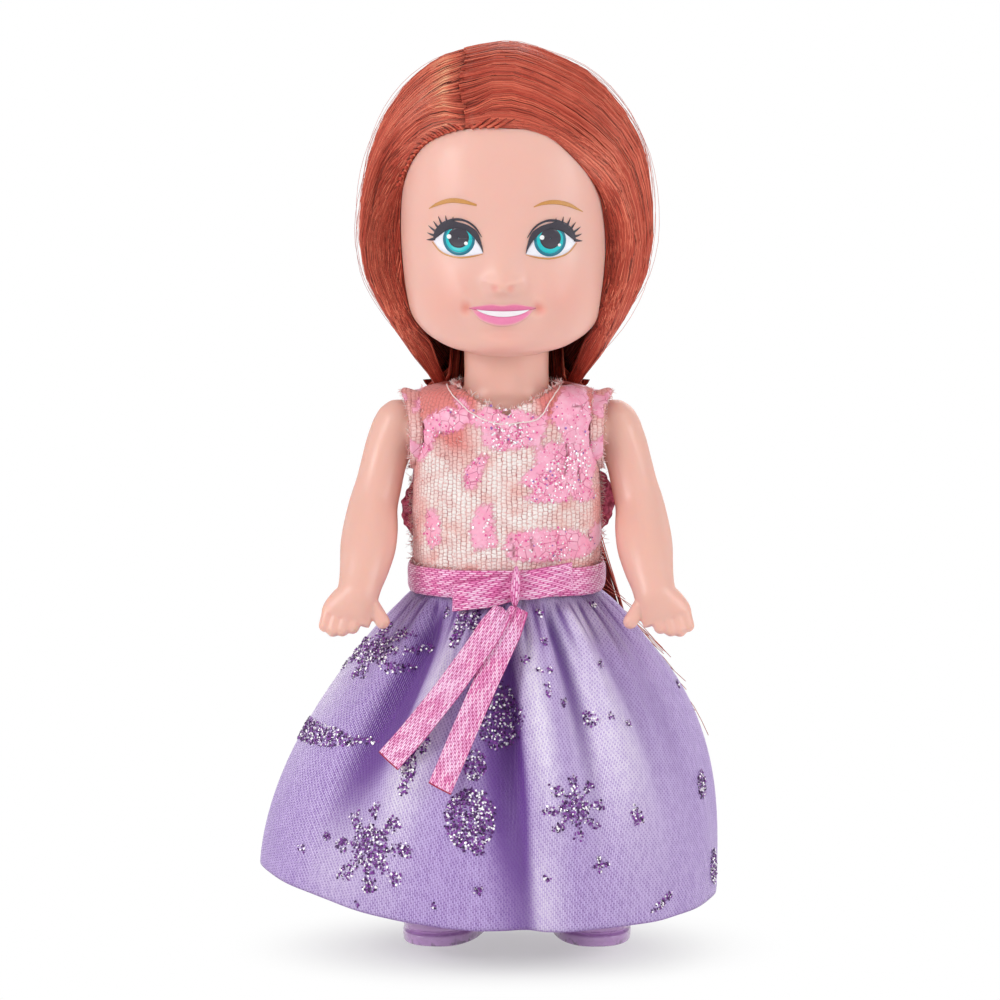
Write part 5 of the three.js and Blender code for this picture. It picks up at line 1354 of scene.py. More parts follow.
def skirt_at(turn, down, proud=0.0):
    """Points on the skirt's outside, turn in radians from the front, down from 0 at
    the flare to 1 at the hem."""
    gather = bell((down - 0.12) / 0.14) * np.minimum(1, down / 0.05)
    crimp = np.exp(-down / 0.2) * np.minimum(1, down / 0.03)
    radius = skirt_plain(turn, down) - fold_depth(turn, down) + 0.4 * np.cos(18 * turn) * gather + proud
    radius = radius + crimp * (0.27 * pleat_wave(turn) + 0.12 * np.cos(83 * turn))
    radius = radius + 0.1 * down * np.cos(29 * turn + 4 * np.sin(3 * turn)) * np.sin(2.2 * math.pi * down)
    z = lerp(FLARE_Z, hem_height(turn), down) + 0.0 * turn
    return np.stack([radius * np.sin(turn), -radius * np.cos(turn), z], -1)


# Satin: warp floats over a plain ground, each float one brick, offset by half a length from thread to thread.
satin_weave, entry, leave = group(
    "satin weave",
    {"Across": "Float", "Along": "Float", "Unevenness": "Float"},
    {"Height": "Float", "Tone": "Float"},
)
thread = maths("FLOOR", entry["Across"])
across = maths("FRACT", entry["Across"])
stagger = maths("MULTIPLY", maths("FLOORED_MODULO", thread, 2), 0.5)
shift = maths("ADD", entry["Along"], maths("MULTIPLY_ADD", thread, 0.13, stagger))
along = maths("MULTIPLY_ADD", maths("FRACT", shift), 2, -1)
rounded = maths("POWER", maths("SINE", maths("MULTIPLY", across, math.pi)), 0.7)
ends = maths("SUBTRACT", 1.0, maths("POWER", maths("ABSOLUTE", along), 5))


def cell_value(column, row):
    """A value from 0 to 1 for each cell of a pattern."""
    cell = node("CombineXYZ", {"X": column, "Y": maths("FLOOR", row)}).outputs[0]
    return node("TexWhiteNoise", {"Vector": cell}, noise_dimensions="3D").outputs["Value"]


float_tone = maths("MULTIPLY", maths("SUBTRACT", cell_value(thread, shift), 0.5), entry["Unevenness"])
height = maths("MULTIPLY", rounded, ends)
join(leave, Height=height, Tone=maths("ADD", height, float_tone))


def woven_satin(across, along, unevenness):
    """The outputs of the satin weave, with the map counted in threads and in floats."""
    inputs = {"Across": across, "Along": along, "Unevenness": unevenness}
    return node("Group", inputs, node_tree=satin_weave).outputs


SKIRT_HEM = 172.0  # round the hem, which is as long as the strip
STRIP_WIDTH = 45.0  # along the cloth, from the belt's underside to the hem
SATIN_THREAD = 0.23
SATIN_FLOAT = 0.9
SATIN_LIGHT = (0.64, 0.50, 0.82)
SATIN_LILAC = (0.56, 0.40, 0.78)
SATIN_GAP = (0.24, 0.11, 0.44)
SATIN_FOLD_SHADE = (0.14, 0.03, 0.30)
SATIN_PAINTED_SHEEN = (0.93, 0.86, 0.98)

turn, down = np.meshgrid(np.linspace(0, 2 * math.pi, 480, endpoint=False), np.linspace(0, 1, 64) ** 0.92)
flared = skirt_at(turn, down)
straight = flared[:1] + np.array([0, 0, 1.0]) * np.linspace(1.75, 0.2, 5)[:, None, None]
grid = np.concatenate([straight, flared])
map_turn = np.linspace(0, 1, turn.shape[1] + 1)
cloth_down = np.concatenate([np.linspace(0, 0.035, 6)[:-1], np.linspace(0.04, 1, len(flared))])
skirt_uv = np.stack(np.meshgrid(map_turn, cloth_down), -1)

satin, shader = finish(
    "lilac satin", IOR=1.5, Specular_IOR_Level=0.75, Sheen_Weight=0.12, Sheen_Roughness=0.4,
    Sheen_Tint=(0.9, 0.82, 1, 1)
)
uv = own_map()
threads = maths("MULTIPLY", uv["X"], round(SKIRT_HEM / SATIN_THREAD))
weave = woven_satin(threads, maths("MULTIPLY", uv["Y"], STRIP_WIDTH / SATIN_FLOAT), 0.45)
place = own_place()
fold_shade = read_tag("fold_shade")
painted_sheen = read_tag("painted_sheen")
# Painted highlight: in the sheen bands the floats turn pale and the gaps between them lilac.
float_colour = blended(painted_sheen, SATIN_LILAC, SATIN_PAINTED_SHEEN)
float_colour = blended(spread(noise(place, 30, 1), 0.35, 0.65, 0.0, 0.35), float_colour, SATIN_LIGHT)
woven = blended(spread(weave["Tone"], 0.1, 0.85), blended(painted_sheen, SATIN_GAP, SATIN_LILAC), float_colour)
# Painted shade: deep violet in the folds and between the waist's pleats.
shaded = blended(spread(fold_shade, 0.22, 0.85, 0.0, 0.95), woven, SATIN_FOLD_SHADE)
cut_edge = spread(uv["Y"], 0.9925, 0.999, 0.0, 0.55)
join(
    shader,
    Base_Color=blended(cut_edge, shaded, (0.30, 0.13, 0.46)),
    Roughness=spread(weave["Height"], 0, 1, 0.46, 0.3),
    Normal=bumped(weave["Height"], 0.8, 0.1),
)

skirt = surface("skirt_satin_strip", grid, satin, around=True, uv=skirt_uv, flip=True)
depth = fold_depth(turn, down)
# Painted shade, by the folds' depth and between the pleats that the gathered waist lays.
pleat = (0.5 - 0.5 * pleat_wave(turn)) ** 2 * bell(down / 0.2)
fold_shade = np.maximum(np.clip((depth + 0.3) / 2.9, 0, 1), 0.8 * pleat) * np.minimum(1, down / 0.03)
# Painted highlights: bands of sheen beside the folds, from the waist to the hem, where the satin would lie at
# the slant that mirrors the light.
SHEEN_BANDS = [
    (-28, -37, 7, 0.42, 0.45, 1.0),
    (-88, -84, 14, 0.32, 0.22, 0.9),
    (10, 15, 5, 0.35, 0.4, 1.0),
    (6, 11, 6, 0.88, 0.22, 0.9),
    (44, 48, 13, 0.08, 0.07, 0.9),
    (32, 42, 14, 0.38, 0.4, 0.85),
    (-48, -48, 12, 0.85, 0.2, 0.5),
    (110, 118, 8, 0.6, 0.3, 0.7),
    (165, 165, 8, 0.7, 0.3, 0.7),
    (-125, -128, 8, 0.6, 0.3, 0.7),
]
painted_sheen = 0 * turn
for top, hem, wide, place_down, tall, strength in SHEEN_BANDS:
    off = degrees_off(turn, lerp(top, hem, down))
    painted_sheen = np.maximum(painted_sheen, strength * bell(off / wide) * bell((down - place_down) / tall))
for tag, value in (("fold_shade", fold_shade), ("painted_sheen", painted_sheen)):
    tagged(skirt, tag, np.concatenate([np.zeros((len(straight), turn.shape[1])), value]))
thickened(skirt, SATIN)
fitted(skirt, "torso", "skirt")

# The glitter. Each figure: kind, degrees from the front, share of the way down, half its width and half its
# height in millimetres, and how far it is turned, in degrees.
PRINT = [
    ("flake", -71.4, 0.205, 8.2, 4.6, 10), ("flake", -40.0, 0.792, 5.9, 5.8, 8),
    ("flake", 21.4, 0.618, 4.6, 4.2, 0),
    ("wedge", -70.0, 0.497, 8.4, 2.5, 0), ("drop", -11.8, 0.657, 3.5, 4.0, 0),
    ("drop", -32.4, 0.530, 1.0, 3.4, 0),
    ("drop", -29.1, 0.435, 0.9, 1.4, 0), ("drop", -11.2, 0.495, 1.5, 2.0, 0),
    ("drop", -2.5, 0.355, 2.9, 4.4, 0),
    ("drop", -8.8, 0.748, 0.8, 0.8, 0), ("drop", -27.1, 0.083, 1.1, 1.9, 0),
    ("drop", -19.2, 0.065, 1.0, 1.6, 0),
    ("drop", -27.5, 0.130, 0.7, 1.1, 0), ("drop", -40.0, 0.050, 0.9, 0.8, 0),
    ("drop", -9.0, 0.12, 0.9, 2.2, 0),
    ("wedge", 40.2, 0.650, 1.4, 1.3, 90), ("star", 27.9, 0.802, 1.4, 1.3, 0),
    ("drop", 47.5, 0.943, 2.3, 0.55, 25),
    ("drop", 76.0, 0.625, 2.2, 1.5, 40), ("drop", 80.0, 0.905, 2.2, 2.4, 0),
    ("dot", 19.0, 0.125, 0.5, 0.6, 0), ("dot", 8.8, 0.175, 0.6, 0.5, 0), ("dot", 14.1, 0.205, 0.4, 0.6, 0),
    ("dot", 18.4, 0.205, 0.4, 0.5, 0), ("dot", 16.4, 0.247, 0.4, 0.5, 0), ("dot", 16.6, 0.273, 0.5, 0.5, 0),
    ("dot", 22.9, 0.305, 0.8, 0.6, 0), ("dot", 38.1, 0.350, 0.5, 0.5, 0), ("dot", 45.0, 0.383, 0.7, 0.5, 0),
    ("dot", 41.9, 0.198, 0.7, 0.5, 0), ("dot", 85.4, 0.315, 0.9, 0.5, 0), ("dot", 59.0, 0.035, 0.6, 0.5, 0),
    ("dot", 20.1, 0.043, 0.5, 0.6, 0), ("dot", -55.4, 0.802, 0.6, 0.5, 0), ("dot", -62, 0.865, 0.7, 0.5, 0),
    ("dot", -8.5, 0.873, 0.6, 0.7, 0), ("dot", -20.9, 0.932, 0.5, 0.4, 0), ("dot", -48.4, 0.907, 0.5, 0.4, 0),
    ("dot", -41.9, 0.98, 0.4, 0.4, 0), ("dot", 11.8, 0.828, 0.5, 0.5, 0), ("dot", 31.9, 0.360, 1.0, 1.0, 0),
    ("flake", 112, 0.45, 4.8, 4.6, 12), ("drop", 134, 0.72, 3.3, 4.0, 0), ("flake", 158, 0.34, 4.2, 4.2, 0),
    ("flake", 168, 0.80, 5.4, 5.2, 20), ("drop", -172, 0.52, 1.2, 3.2, 0), ("drop", -150, 0.36, 2.6, 3.8, 0),
    ("wedge", -132, 0.60, 6.5, 2.4, 0), ("flake", -104, 0.78, 5.0, 4.8, 5),
    ("flake", -128, 0.24, 4.2, 4.2, 9),
    ("star", 98, 0.80, 1.5, 1.4, 0), ("star", -158, 0.86, 1.5, 1.4, 0), ("star", 140, 0.18, 1.3, 1.2, 0),
    ("dot", 104, 0.22, 0.6, 0.6, 0), ("dot", 121, 0.30, 0.5, 0.5, 0), ("dot", 128, 0.9, 0.6, 0.6, 0),
    ("dot", 148, 0.58, 0.7, 0.7, 0), ("dot", 176, 0.2, 0.5, 0.5, 0), ("dot", -164, 0.68, 0.6, 0.6, 0),
    ("dot", -146, 0.72, 0.5, 0.5, 0), ("dot", -118, 0.46, 0.7, 0.6, 0), ("dot", -96, 0.55, 0.6, 0.6, 0),
    ("dot", -90, 0.33, 0.5, 0.5, 0), ("dot", -92, 0.9, 0.6, 0.6, 0), ("dot", 150, 0.93, 0.6, 0.5, 0),
]
GLITTER_COVER = 22  # flakes to a square millimetre


def in_figure(kind, x, y):
    """Whether points lie in a figure that fills the square from -1 to 1. A snowflake is a ragged middle with
    eight arms that are cut once across, a wedge is a band that narrows to a point at its right."""
    far, way = np.hypot(x, y), np.arctan2(x, y)
    if kind == "flake":
        arms = 0.46 + 0.54 * np.abs(np.cos(4 * way)) ** 9
        knobs = (np.abs(np.cos(4 * way)) > 0.80) & (np.abs(far - 0.8) < 0.15)
        return ((far < arms) & ~((far > 0.6) & (far < 0.66))) | knobs
    if kind == "star":
        return far < 0.4 + 0.6 * np.abs(np.cos(2 * way)) ** 5
    if kind == "wedge":
        return np.abs(y - 0.25 * x) < 0.62 - 0.62 * x * np.abs(x) ** 0.3 * (x > -0.2)
    return far < 1


def skirt_frames(turn, down):
    """The skirt's outward normals and its two directions in the cloth, from small steps on the surface."""
    step = 1e-3
    along_turn = skirt_at(turn + step, down) - skirt_at(turn - step, down)
    along_down = skirt_at(turn, down + step) - skirt_at(turn, down - step)
    outward = np.cross(along_down, along_turn)
    outward = outward / np.linalg.norm(outward, axis=-1, keepdims=True)
    return outward, along_turn / (2 * step), along_down / (2 * step)


def glitter(name, places, outwards, size, tones, material, tilt=0.35):
    """Six-sided flakes with a low point, each set at its place, leaning a little away from its surface."""
    count = len(places)
    lean = outwards + dice.normal(0, tilt, (count, 3))
    lean /= np.linalg.norm(lean, axis=-1, keepdims=True)
    side = np.cross(lean, dice.normal(0, 1, (count, 3)))
    side /= np.linalg.norm(side, axis=-1, keepdims=True)
    other = np.cross(lean, side)
    angle = math.pi / 3 * np.arange(6)
    rim = side[:, None] * np.cos(angle)[:, None] + other[:, None] * np.sin(angle)[:, None]
    rim = places[:, None] + rim * size[:, None, None]
    tip = (places + lean * size[:, None] * 0.22)[:, None]
    points = np.concatenate([rim, tip], 1).reshape(-1, 3)
    first = 7 * np.arange(count)[:, None]
    ring = np.arange(6)
    sides = np.stack([ring, (ring + 1) % 6, np.full(6, 6)], -1)
    faces = [(first[:, :, None] + sides).reshape(-1, 3), first + ring[::-1]]
    flakes = mesh_object(name, points, faces, material, smooth_shaded=False)
    tagged(flakes, "tone", np.repeat(tones, 7))
    return flakes


purple_glitter, shader = finish(
    "purple and silver glitter", IOR=1.5, Specular_IOR_Level=0.35, Coat_Weight=0.1, Coat_Roughness=0.1
)
tone = read_tag("tone")
silver = maths("GREATER_THAN", tone, 0.77)
foil_tone = spread(tone, 0.0, 0.72)
purple = blended(foil_tone, (0.03, 0.003, 0.06), (0.26, 0.06, 0.38))
silver_tone = blended(spread(tone, 0.72, 0.9), (0.60, 0.46, 0.68), (1.0, 0.98, 1.0))
join(
    shader,
    Base_Color=blended(silver, purple, silver_tone),
    Metallic=maths("MULTIPLY_ADD", silver, 0.3, 0.1),
    Roughness=uneven(own_place(), 4000, 1, 0.25, 0.5),
    Normal=bumped(noise(own_place(), 9000, 1), 0.15, 0.02),
)

flake_turn, flake_down = [], []
for kind, degrees, share, half_wide, half_high, rotated in PRINT:
    count = int(4 * half_wide * half_high * GLITTER_COVER)
    x, y = dice.uniform(-1.1, 1.1, (2, count))
    edge = dice.normal(0, 0.035 if kind != "dot" else 0.2, (2, count))
    kept = in_figure(kind, x + edge[0], y + edge[1]) & (np.hypot(x, y) < 1.3)
    x, y = x[kept] * half_wide, y[kept] * half_high
    angle = math.radians(rotated)
    x, y = x * math.cos(angle) - y * math.sin(angle), x * math.sin(angle) + y * math.cos(angle)
    middle = math.radians(degrees)
    _, over, downward = skirt_frames(np.array(middle), np.array(share))
    flake_turn.append(middle + x / np.linalg.norm(over))
    flake_down.append(share - y / np.linalg.norm(downward))
flake_turn, flake_down = np.concatenate(flake_turn), np.concatenate(flake_down)
on_cloth = (flake_down > 0.012) & (flake_down < 0.993)
flake_turn, flake_down = flake_turn[on_cloth], flake_down[on_cloth]
outwards, _, _ = skirt_frames(flake_turn, flake_down)
size = dice.uniform(0.12, 0.2, len(flake_turn))
lift = dice.uniform(0.03, 0.16, len(flake_turn))
places = skirt_at(flake_turn, flake_down) + outwards * lift[:, None]
tones = dice.uniform(0, 1, len(flake_turn))
skirt_glitter = glitter("skirt_glitter", places, outwards, size, tones, purple_glitter)
fitted(skirt_glitter, "torso")

# Top. A sleeveless top of cream and salmon looped knit, one front and two back panels, raw at
# every edge. Pink film with glitter in it is pressed over the knit in torn patches. A white thread
# holds the neckline's turning.

TOP_BASE = 48.7
TOP_HEIGHT = 73.9
CLOTH = 0.42
WAIST_SIDE = 11.1
CHEST_SIDE = 12.3
BELLY = 7.5
CHEST = 6.3
CHEST_SQUARE = 2.5  # how squared the top's level ovals are; 2 would be plain ovals
ARMHOLE = 5.5
CUFF = 4.95
NECKLINE = {"side": 7.3, "front": 7.9, "back": 7.0}
KNIT_COLUMN = 0.66
KNIT_ROW = 0.5
FILM = 0.1
TAPE = 0.24
TAPE_WIDTH = 3.8
CREAM = (0.98, 0.90, 0.87)
SALMON = (0.80, 0.20, 0.18)
KNIT_GAP = (0.40, 0.12, 0.12)
FILM_PINK = (0.91, 0.35, 0.52)

top_shape = smooth(
    [
        [TOP_BASE, WAIST_SIDE + 1.0, BELLY + 3.1, BELLY + 1.6],
        [52.7, WAIST_SIDE + 1.3, BELLY + 3.0, BELLY + 1.5],
        [58.1, CHEST_SIDE + 0.2, BELLY + 2.3, BELLY + 1.1],
        [64.3, CHEST_SIDE - 0.1, CHEST + 2.6, CHEST + 1.9],
        [SHOULDER_Z, CHEST_SIDE, CHEST + 2.3, CHEST + 1.7],
        [70.4, CHEST_SIDE + 0.2, CHEST + 1.8, CHEST + 1.3],
        [72.2, CHEST_SIDE - 0.3, CHEST + 1.0, CHEST + 0.7],
        [73.2, CHEST_SIDE - 1.2, CHEST - 0.3, CHEST - 0.4],
        [TOP_HEIGHT, CHEST_SIDE - 3.7, CHEST - 1.7, CHEST - 1.7],
    ]
)

# The film's patches on the front: corners across and up, in millimetres.
FILM_PATCHES = [
    # At the collar
    [
        (-7.0, 72.4), (-5.7, 72.7), (-4.1, 70.7), (-2.3, 71.8), (1.1, 71.4), (2.2, 71.0), (4.5, 70.2),
        (5.5, 72.0), (5.4, 69.8), (4.9, 67.7), (4.2, 66.3), (2.2, 66.2), (-0.7, 65.8), (-3.1, 66.5),
        (-3.3, 68.8), (-5.4, 69.4)
    ],
    # On the doll's right of the chest
    [
        (-11.2, 69.2), (-9.4, 70.7), (-7.5, 71.6), (-5.5, 70.6), (-5.3, 69.3), (-5.7, 68.5), (-8.0, 67.8),
        (-9.1, 68.0), (-9.4, 66.5), (-10.7, 64.3), (-11.8, 63.6), (-11.8, 65.9), (-11.4, 68.1)
    ],
    # Down the doll's left side
    [
        (7.6, 74.2), (10.5, 73.5), (11.0, 71.6), (11.6, 67.3), (12.0, 64.6), (11.2, 61.3), (11.6, 59.1),
        (10.0, 58.8), (8.4, 59.5), (8.0, 61.7), (7.6, 65.1), (7.1, 68.2), (5.6, 69.8), (6.1, 71.6)
    ],
    # On the middle's left, beside that
    [
        (3.7, 65.9), (5.3, 67.0), (7.6, 66.9), (8.4, 61.6), (8.0, 59.0), (3.7, 59.1), (2.2, 59.7),
        (3.7, 60.8), (1.6, 61.6), (2.4, 62.9), (3.7, 63.9)
    ],
    # A small one on the middle's right
    [(-5.2, 63.8), (-3.3, 65.4), (-2.3, 65.2), (-3.1, 62.8), (-4.1, 60.8), (-5.4, 60.7), (-5.7, 62.3)],
    # Low at the right side
    [(-10.4, 57.8), (-9.4, 58.1), (-8.6, 56.4), (-8.5, 53.7), (-9.9, 52.8), (-10.7, 54.5)],
    # Low, right of the middle
    [(-4.6, 56.5), (-3.6, 58.7), (-1.8, 59.0), (-1.5, 55.8), (-1.0, 53.4), (-4.1, 52.9), (-4.9, 55.0)],
    # Above the belt, to the left side
    [
        (0.1, 55.0), (3.7, 55.8), (9.0, 55.5), (10.6, 54.3), (11.6, 56.0), (13.1, 55.4), (13.4, 53.8),
        (10.6, 51.7), (3.7, 51.3), (0.1, 51.8), (-0.5, 53.4)
    ],
]
FILM_CRACKS = [
    ((-1.1, 69.1), (-1.0, 67.5)), ((1.4, 69.5), (1.8, 67.8)), ((7.8, 66.6), (8.0, 65.0)),
    ((8.0, 65.0), (7.8, 62.7)), ((4.6, 67.5), (4.8, 66.3)), ((5.6, 71.4), (5.5, 70.2)),
    ((9.0, 74.6), (10.5, 74.1)), ((8.7, 71.5), (9.9, 71.3)), ((0.7, 54.5), (1.1, 52.1)),
    ((3.2, 54.7), (3.3, 52.9)), ((10.7, 55.1), (11.0, 53.7)), ((-4.5, 64.6), (-4.1, 64.1)),
    ((9.4, 63.4), (9.5, 61.5)), ((-7.3, 70.7), (-6.7, 70.0)), ((-1.0, 52.9), (1.1, 53.0)),
    ((4.5, 58.7), (5.3, 58.8)), ((-7.9, 68.0), (-9.2, 68.0)), ((11.8, 64.6), (12.2, 63.5)),
    ((1.2, 67.0), (0.1, 67.1)),
]


def unit(ways):
    """The same directions, each one long."""
    return ways / (np.linalg.norm(ways, axis=-1, keepdims=True) + 1e-12)


def top_at(turn, z, proud=0.0):
    """Points on the top's outside, at a turn in radians from the front and a height: a squared oval."""
    turn, z = np.asarray(turn, float), np.asarray(z, float)
    side, front, back = np.moveaxis(top_shape(z), -1, 0)
    across = signed_power(np.sin(turn), 2 / CHEST_SQUARE)
    along = signed_power(np.cos(turn), 2 / CHEST_SQUARE)
    deep = np.where(along > 0, front, back)
    point = np.stack([side * across, -deep * along, z + 0 * turn], -1)
    outward = unit(np.stack([across / side, -along / deep, 0 * across], -1))
    return point + np.asarray(proud)[..., None] * outward


def turn_at(x, z):
    """The turn at which the top's outside, at a height, is that far across."""
    across = np.clip(x / top_shape(z)[..., 0], -0.995, 0.995)
    return np.arcsin(signed_power(across, CHEST_SQUARE / 2))


def in_outline(x, z, corners):
    """Whether points lie in a closed outline, by counting the sides that each one's
    ray to the right crosses."""
    inside = np.zeros(x.shape, bool)
    for (x0, z0), (x1, z1) in zip(corners, corners[1:] + corners[:1]):
        crosses = (z0 > z) != (z1 > z)
        inside ^= crosses & (x < (x1 - x0) * (z - z0) / (z1 - z0 + 1e-12) + x0)
    return inside


def ragged(x, z, size, reach_by):
    """A smooth pseudo-random offset made of a few waves, which leaves an edge torn."""
    slow = np.sin(x / size + 1.7 * np.sin(z / size))
    return reach_by * (slow + np.sin(1.9 * z / size + 2.3 * np.sin(0.7 * x / size)) * 0.7)


def film_share(x, z):
    """How far the film covers each point, from 0 to 1, taken over a small cross of points for a soft edge."""
    total = np.zeros(x.shape)
    for dx, dz in ((0, 0), (0.09, 0.04), (-0.09, -0.04), (0.04, -0.09), (-0.04, 0.09)):
        u = x + dx + ragged(x, z, 0.17, 0.16) + ragged(z, x, 0.07, 0.07)
        v = z + dz + ragged(z + 5, x, 0.15, 0.16) + ragged(x, z, 0.06, 0.07)
        total += np.any([in_outline(u, v, patch) for patch in FILM_PATCHES], axis=0)
    return total / 5


def kept_faces(panel, keep):
    """Takes out of a panel's mesh every face that has a corner where keep is false."""
    shape = bmesh.new()
    shape.from_mesh(panel.data)
    shape.verts.ensure_lookup_table()
    gone = [v for v, kept in zip(shape.verts, keep.ravel()) if not kept]
    bmesh.ops.delete(shape, geom=gone, context="VERTS")
    shape.to_mesh(panel.data)
    shape.free()


knit_loops, entry, leave = group(
    "looped knit",
    {"Across": "Float", "Up": "Float"},
    {"Height": "Float", "Gap": "Float", "Tone": "Float"},
)
column = maths("FLOOR", entry["Across"])
up = maths("ADD", entry["Up"], maths("MULTIPLY", maths("FLOORED_MODULO", column, 2), 0.35))


def from_middle_of_cell(value):
    """0 in the middle of each whole step of the value, and 1 at its ends."""
    return maths("ABSOLUTE", maths("MULTIPLY_ADD", maths("FRACT", value), 2, -1))


in_column, in_row = from_middle_of_cell(entry["Across"]), from_middle_of_cell(up)
round_column = maths("SUBTRACT", 1.0, maths("POWER", in_column, 3))
round_row = maths("SUBTRACT", 1.0, maths("POWER", in_row, 2.5))
between = maths("MAXIMUM", spread(in_column, 0.78, 0.96), spread(in_row, 0.78, 0.98, 0.0, 0.75))
loop_tone = cell_value(column, up)
join(
    leave,
    Height=maths("MULTIPLY", round_column, maths("MULTIPLY_ADD", round_row, 0.7, 0.3)),
    Gap=maths("MULTIPLY", between, spread(loop_tone, 0.2, 0.5, 0.3, 1.0)),
    Tone=loop_tone,
)

top_cloth, shader = finish(
    "looped knit with pink film", IOR=1.5, Sheen_Weight=0.25, Sheen_Roughness=0.5, Specular_IOR_Level=0.4
)
place = own_place()
uv = node("UVMap", uv_map="UVMap").outputs["UV"]
off_place = node("TexNoise", {"Vector": place, "Scale": 900.0, "Detail": 2.0}).outputs["Color"]


def vectors(operation, a, b=(0.0, 0.0, 0.0)):
    """The outcome of a vector math node."""
    return node("VectorMath", {0: a, 1: b}, operation=operation).outputs[0]


# The yarns wander: half a millimetre of slow noise, taken off its mean, is added to the map.
wander = vectors("SUBTRACT", vectors("ADD", uv, off_place), (0.5, 0.5, 0.5))
uv = vectors("MULTIPLY", vectors("ADD", uv, wander), (0.5, 0.5, 0.5))
uv = node("SeparateXYZ", {"Vector": uv}).outputs
counts = {"Across": maths("DIVIDE", uv["X"], KNIT_COLUMN), "Up": maths("DIVIDE", uv["Y"], KNIT_ROW)}
knit = node("Group", counts, node_tree=knit_loops).outputs
film, salmon_and_shade, crack = (read_tag(name) for name in ("film", "salmon_and_shade", "crack"))
fuzz = noise(place, 3800, 3, 0.65)
fibre_tone = maths("MULTIPLY_ADD", fuzz, 1.2, maths("MULTIPLY_ADD", knit["Height"], 0.55, -0.42))
pale = blended(spread(noise(place, 240, 3), 0.45, 0.68), CREAM, (0.92, 0.62, 0.58))
# Salmon tint, partly the knit's own colour and partly painted shade.
pale = blended(maths("MULTIPLY", salmon_and_shade, 0.93), pale, SALMON)
knitted = blended(spread(fibre_tone, 0.2, 0.6), blended(0.45, pale, SALMON), pale)
gap = maths("MULTIPLY", knit["Gap"], spread(noise(place, 420, 2), 0.35, 0.65, 0.3, 1.0))
knitted = blended(gap, knitted, KNIT_GAP)
speck = node("TexVoronoi", {"Vector": place, "Scale": 2600.0}, feature="F1")
dot = spread(speck.outputs["Distance"], 0.18, 0.34, 1.0, 0.0)
picked = node("SeparateColor", {"Color": speck.outputs["Color"]}).outputs
dot = maths("MULTIPLY", dot, maths("GREATER_THAN", picked["Red"], 0.55))
dot_colour = blended(spread(picked["Green"], 0.3, 0.7), (0.90, 0.13, 0.32), (1.0, 0.72, 0.82))
film_colour = blended(spread(noise(place, 700, 3), 0.35, 0.7), FILM_PINK, (0.94, 0.50, 0.64))
film_colour = blended(maths("MULTIPLY", dot, 0.7), film_colour, dot_colour)
film_colour = blended(crack, film_colour, (0.22, 0.05, 0.06))
flakes = {"Vector": place, "Scale": 780.0, "Randomness": 0.9}
crackle = node("TexVoronoi", flakes, feature="DISTANCE_TO_EDGE").outputs["Distance"]
crackled = spread(noise(place, 300, 2), 0.42, 0.56, 0.0, 0.85)
crackle = maths("MULTIPLY", spread(crackle, 0.0, 0.07, 1.0, 0.0), crackled)
film_colour = blended(crackle, film_colour, (0.55, 0.09, 0.20))
film_rim = maths("MULTIPLY", maths("MULTIPLY", film, maths("SUBTRACT", 1.0, film)), 2.6)
film_colour = blended(film_rim, film_colour, (0.66, 0.12, 0.22))
join(
    shader,
    Base_Color=blended(film, knitted, film_colour),
    Roughness=blended(film, (0.85, 0.85, 0.85), blended(dot, (0.42, 0.42, 0.42), (0.2, 0.2, 0.2))),
    Normal=bumped(
        blended(
            film,
            maths("MULTIPLY_ADD", fuzz, 0.6, maths("MULTIPLY", knit["Height"], 0.8)),
            maths("MULTIPLY_ADD", noise(place, 900, 3), 0.35, maths("MULTIPLY", crack, -0.6)),
        ),
        0.9,
        0.16,
    ),
)


def lined(x, z, lines, wide):
    """1 on and near a set of straight lines, falling to 0 within their half width."""
    near = np.full(x.shape, 9.0)
    for (x0, z0), (x1, z1) in lines:
        t = np.clip(((x - x0) * (x1 - x0) + (z - z0) * (z1 - z0)) / ((x1 - x0) ** 2 + (z1 - z0) ** 2), 0, 1)
        off_across = x - x0 - t * (x1 - x0) + ragged(x, z, 0.3, 0.06)
        near = np.minimum(near, np.hypot(off_across, z - z0 - t * (z1 - z0)))
    return np.clip(1 - near / wide, 0, 1)


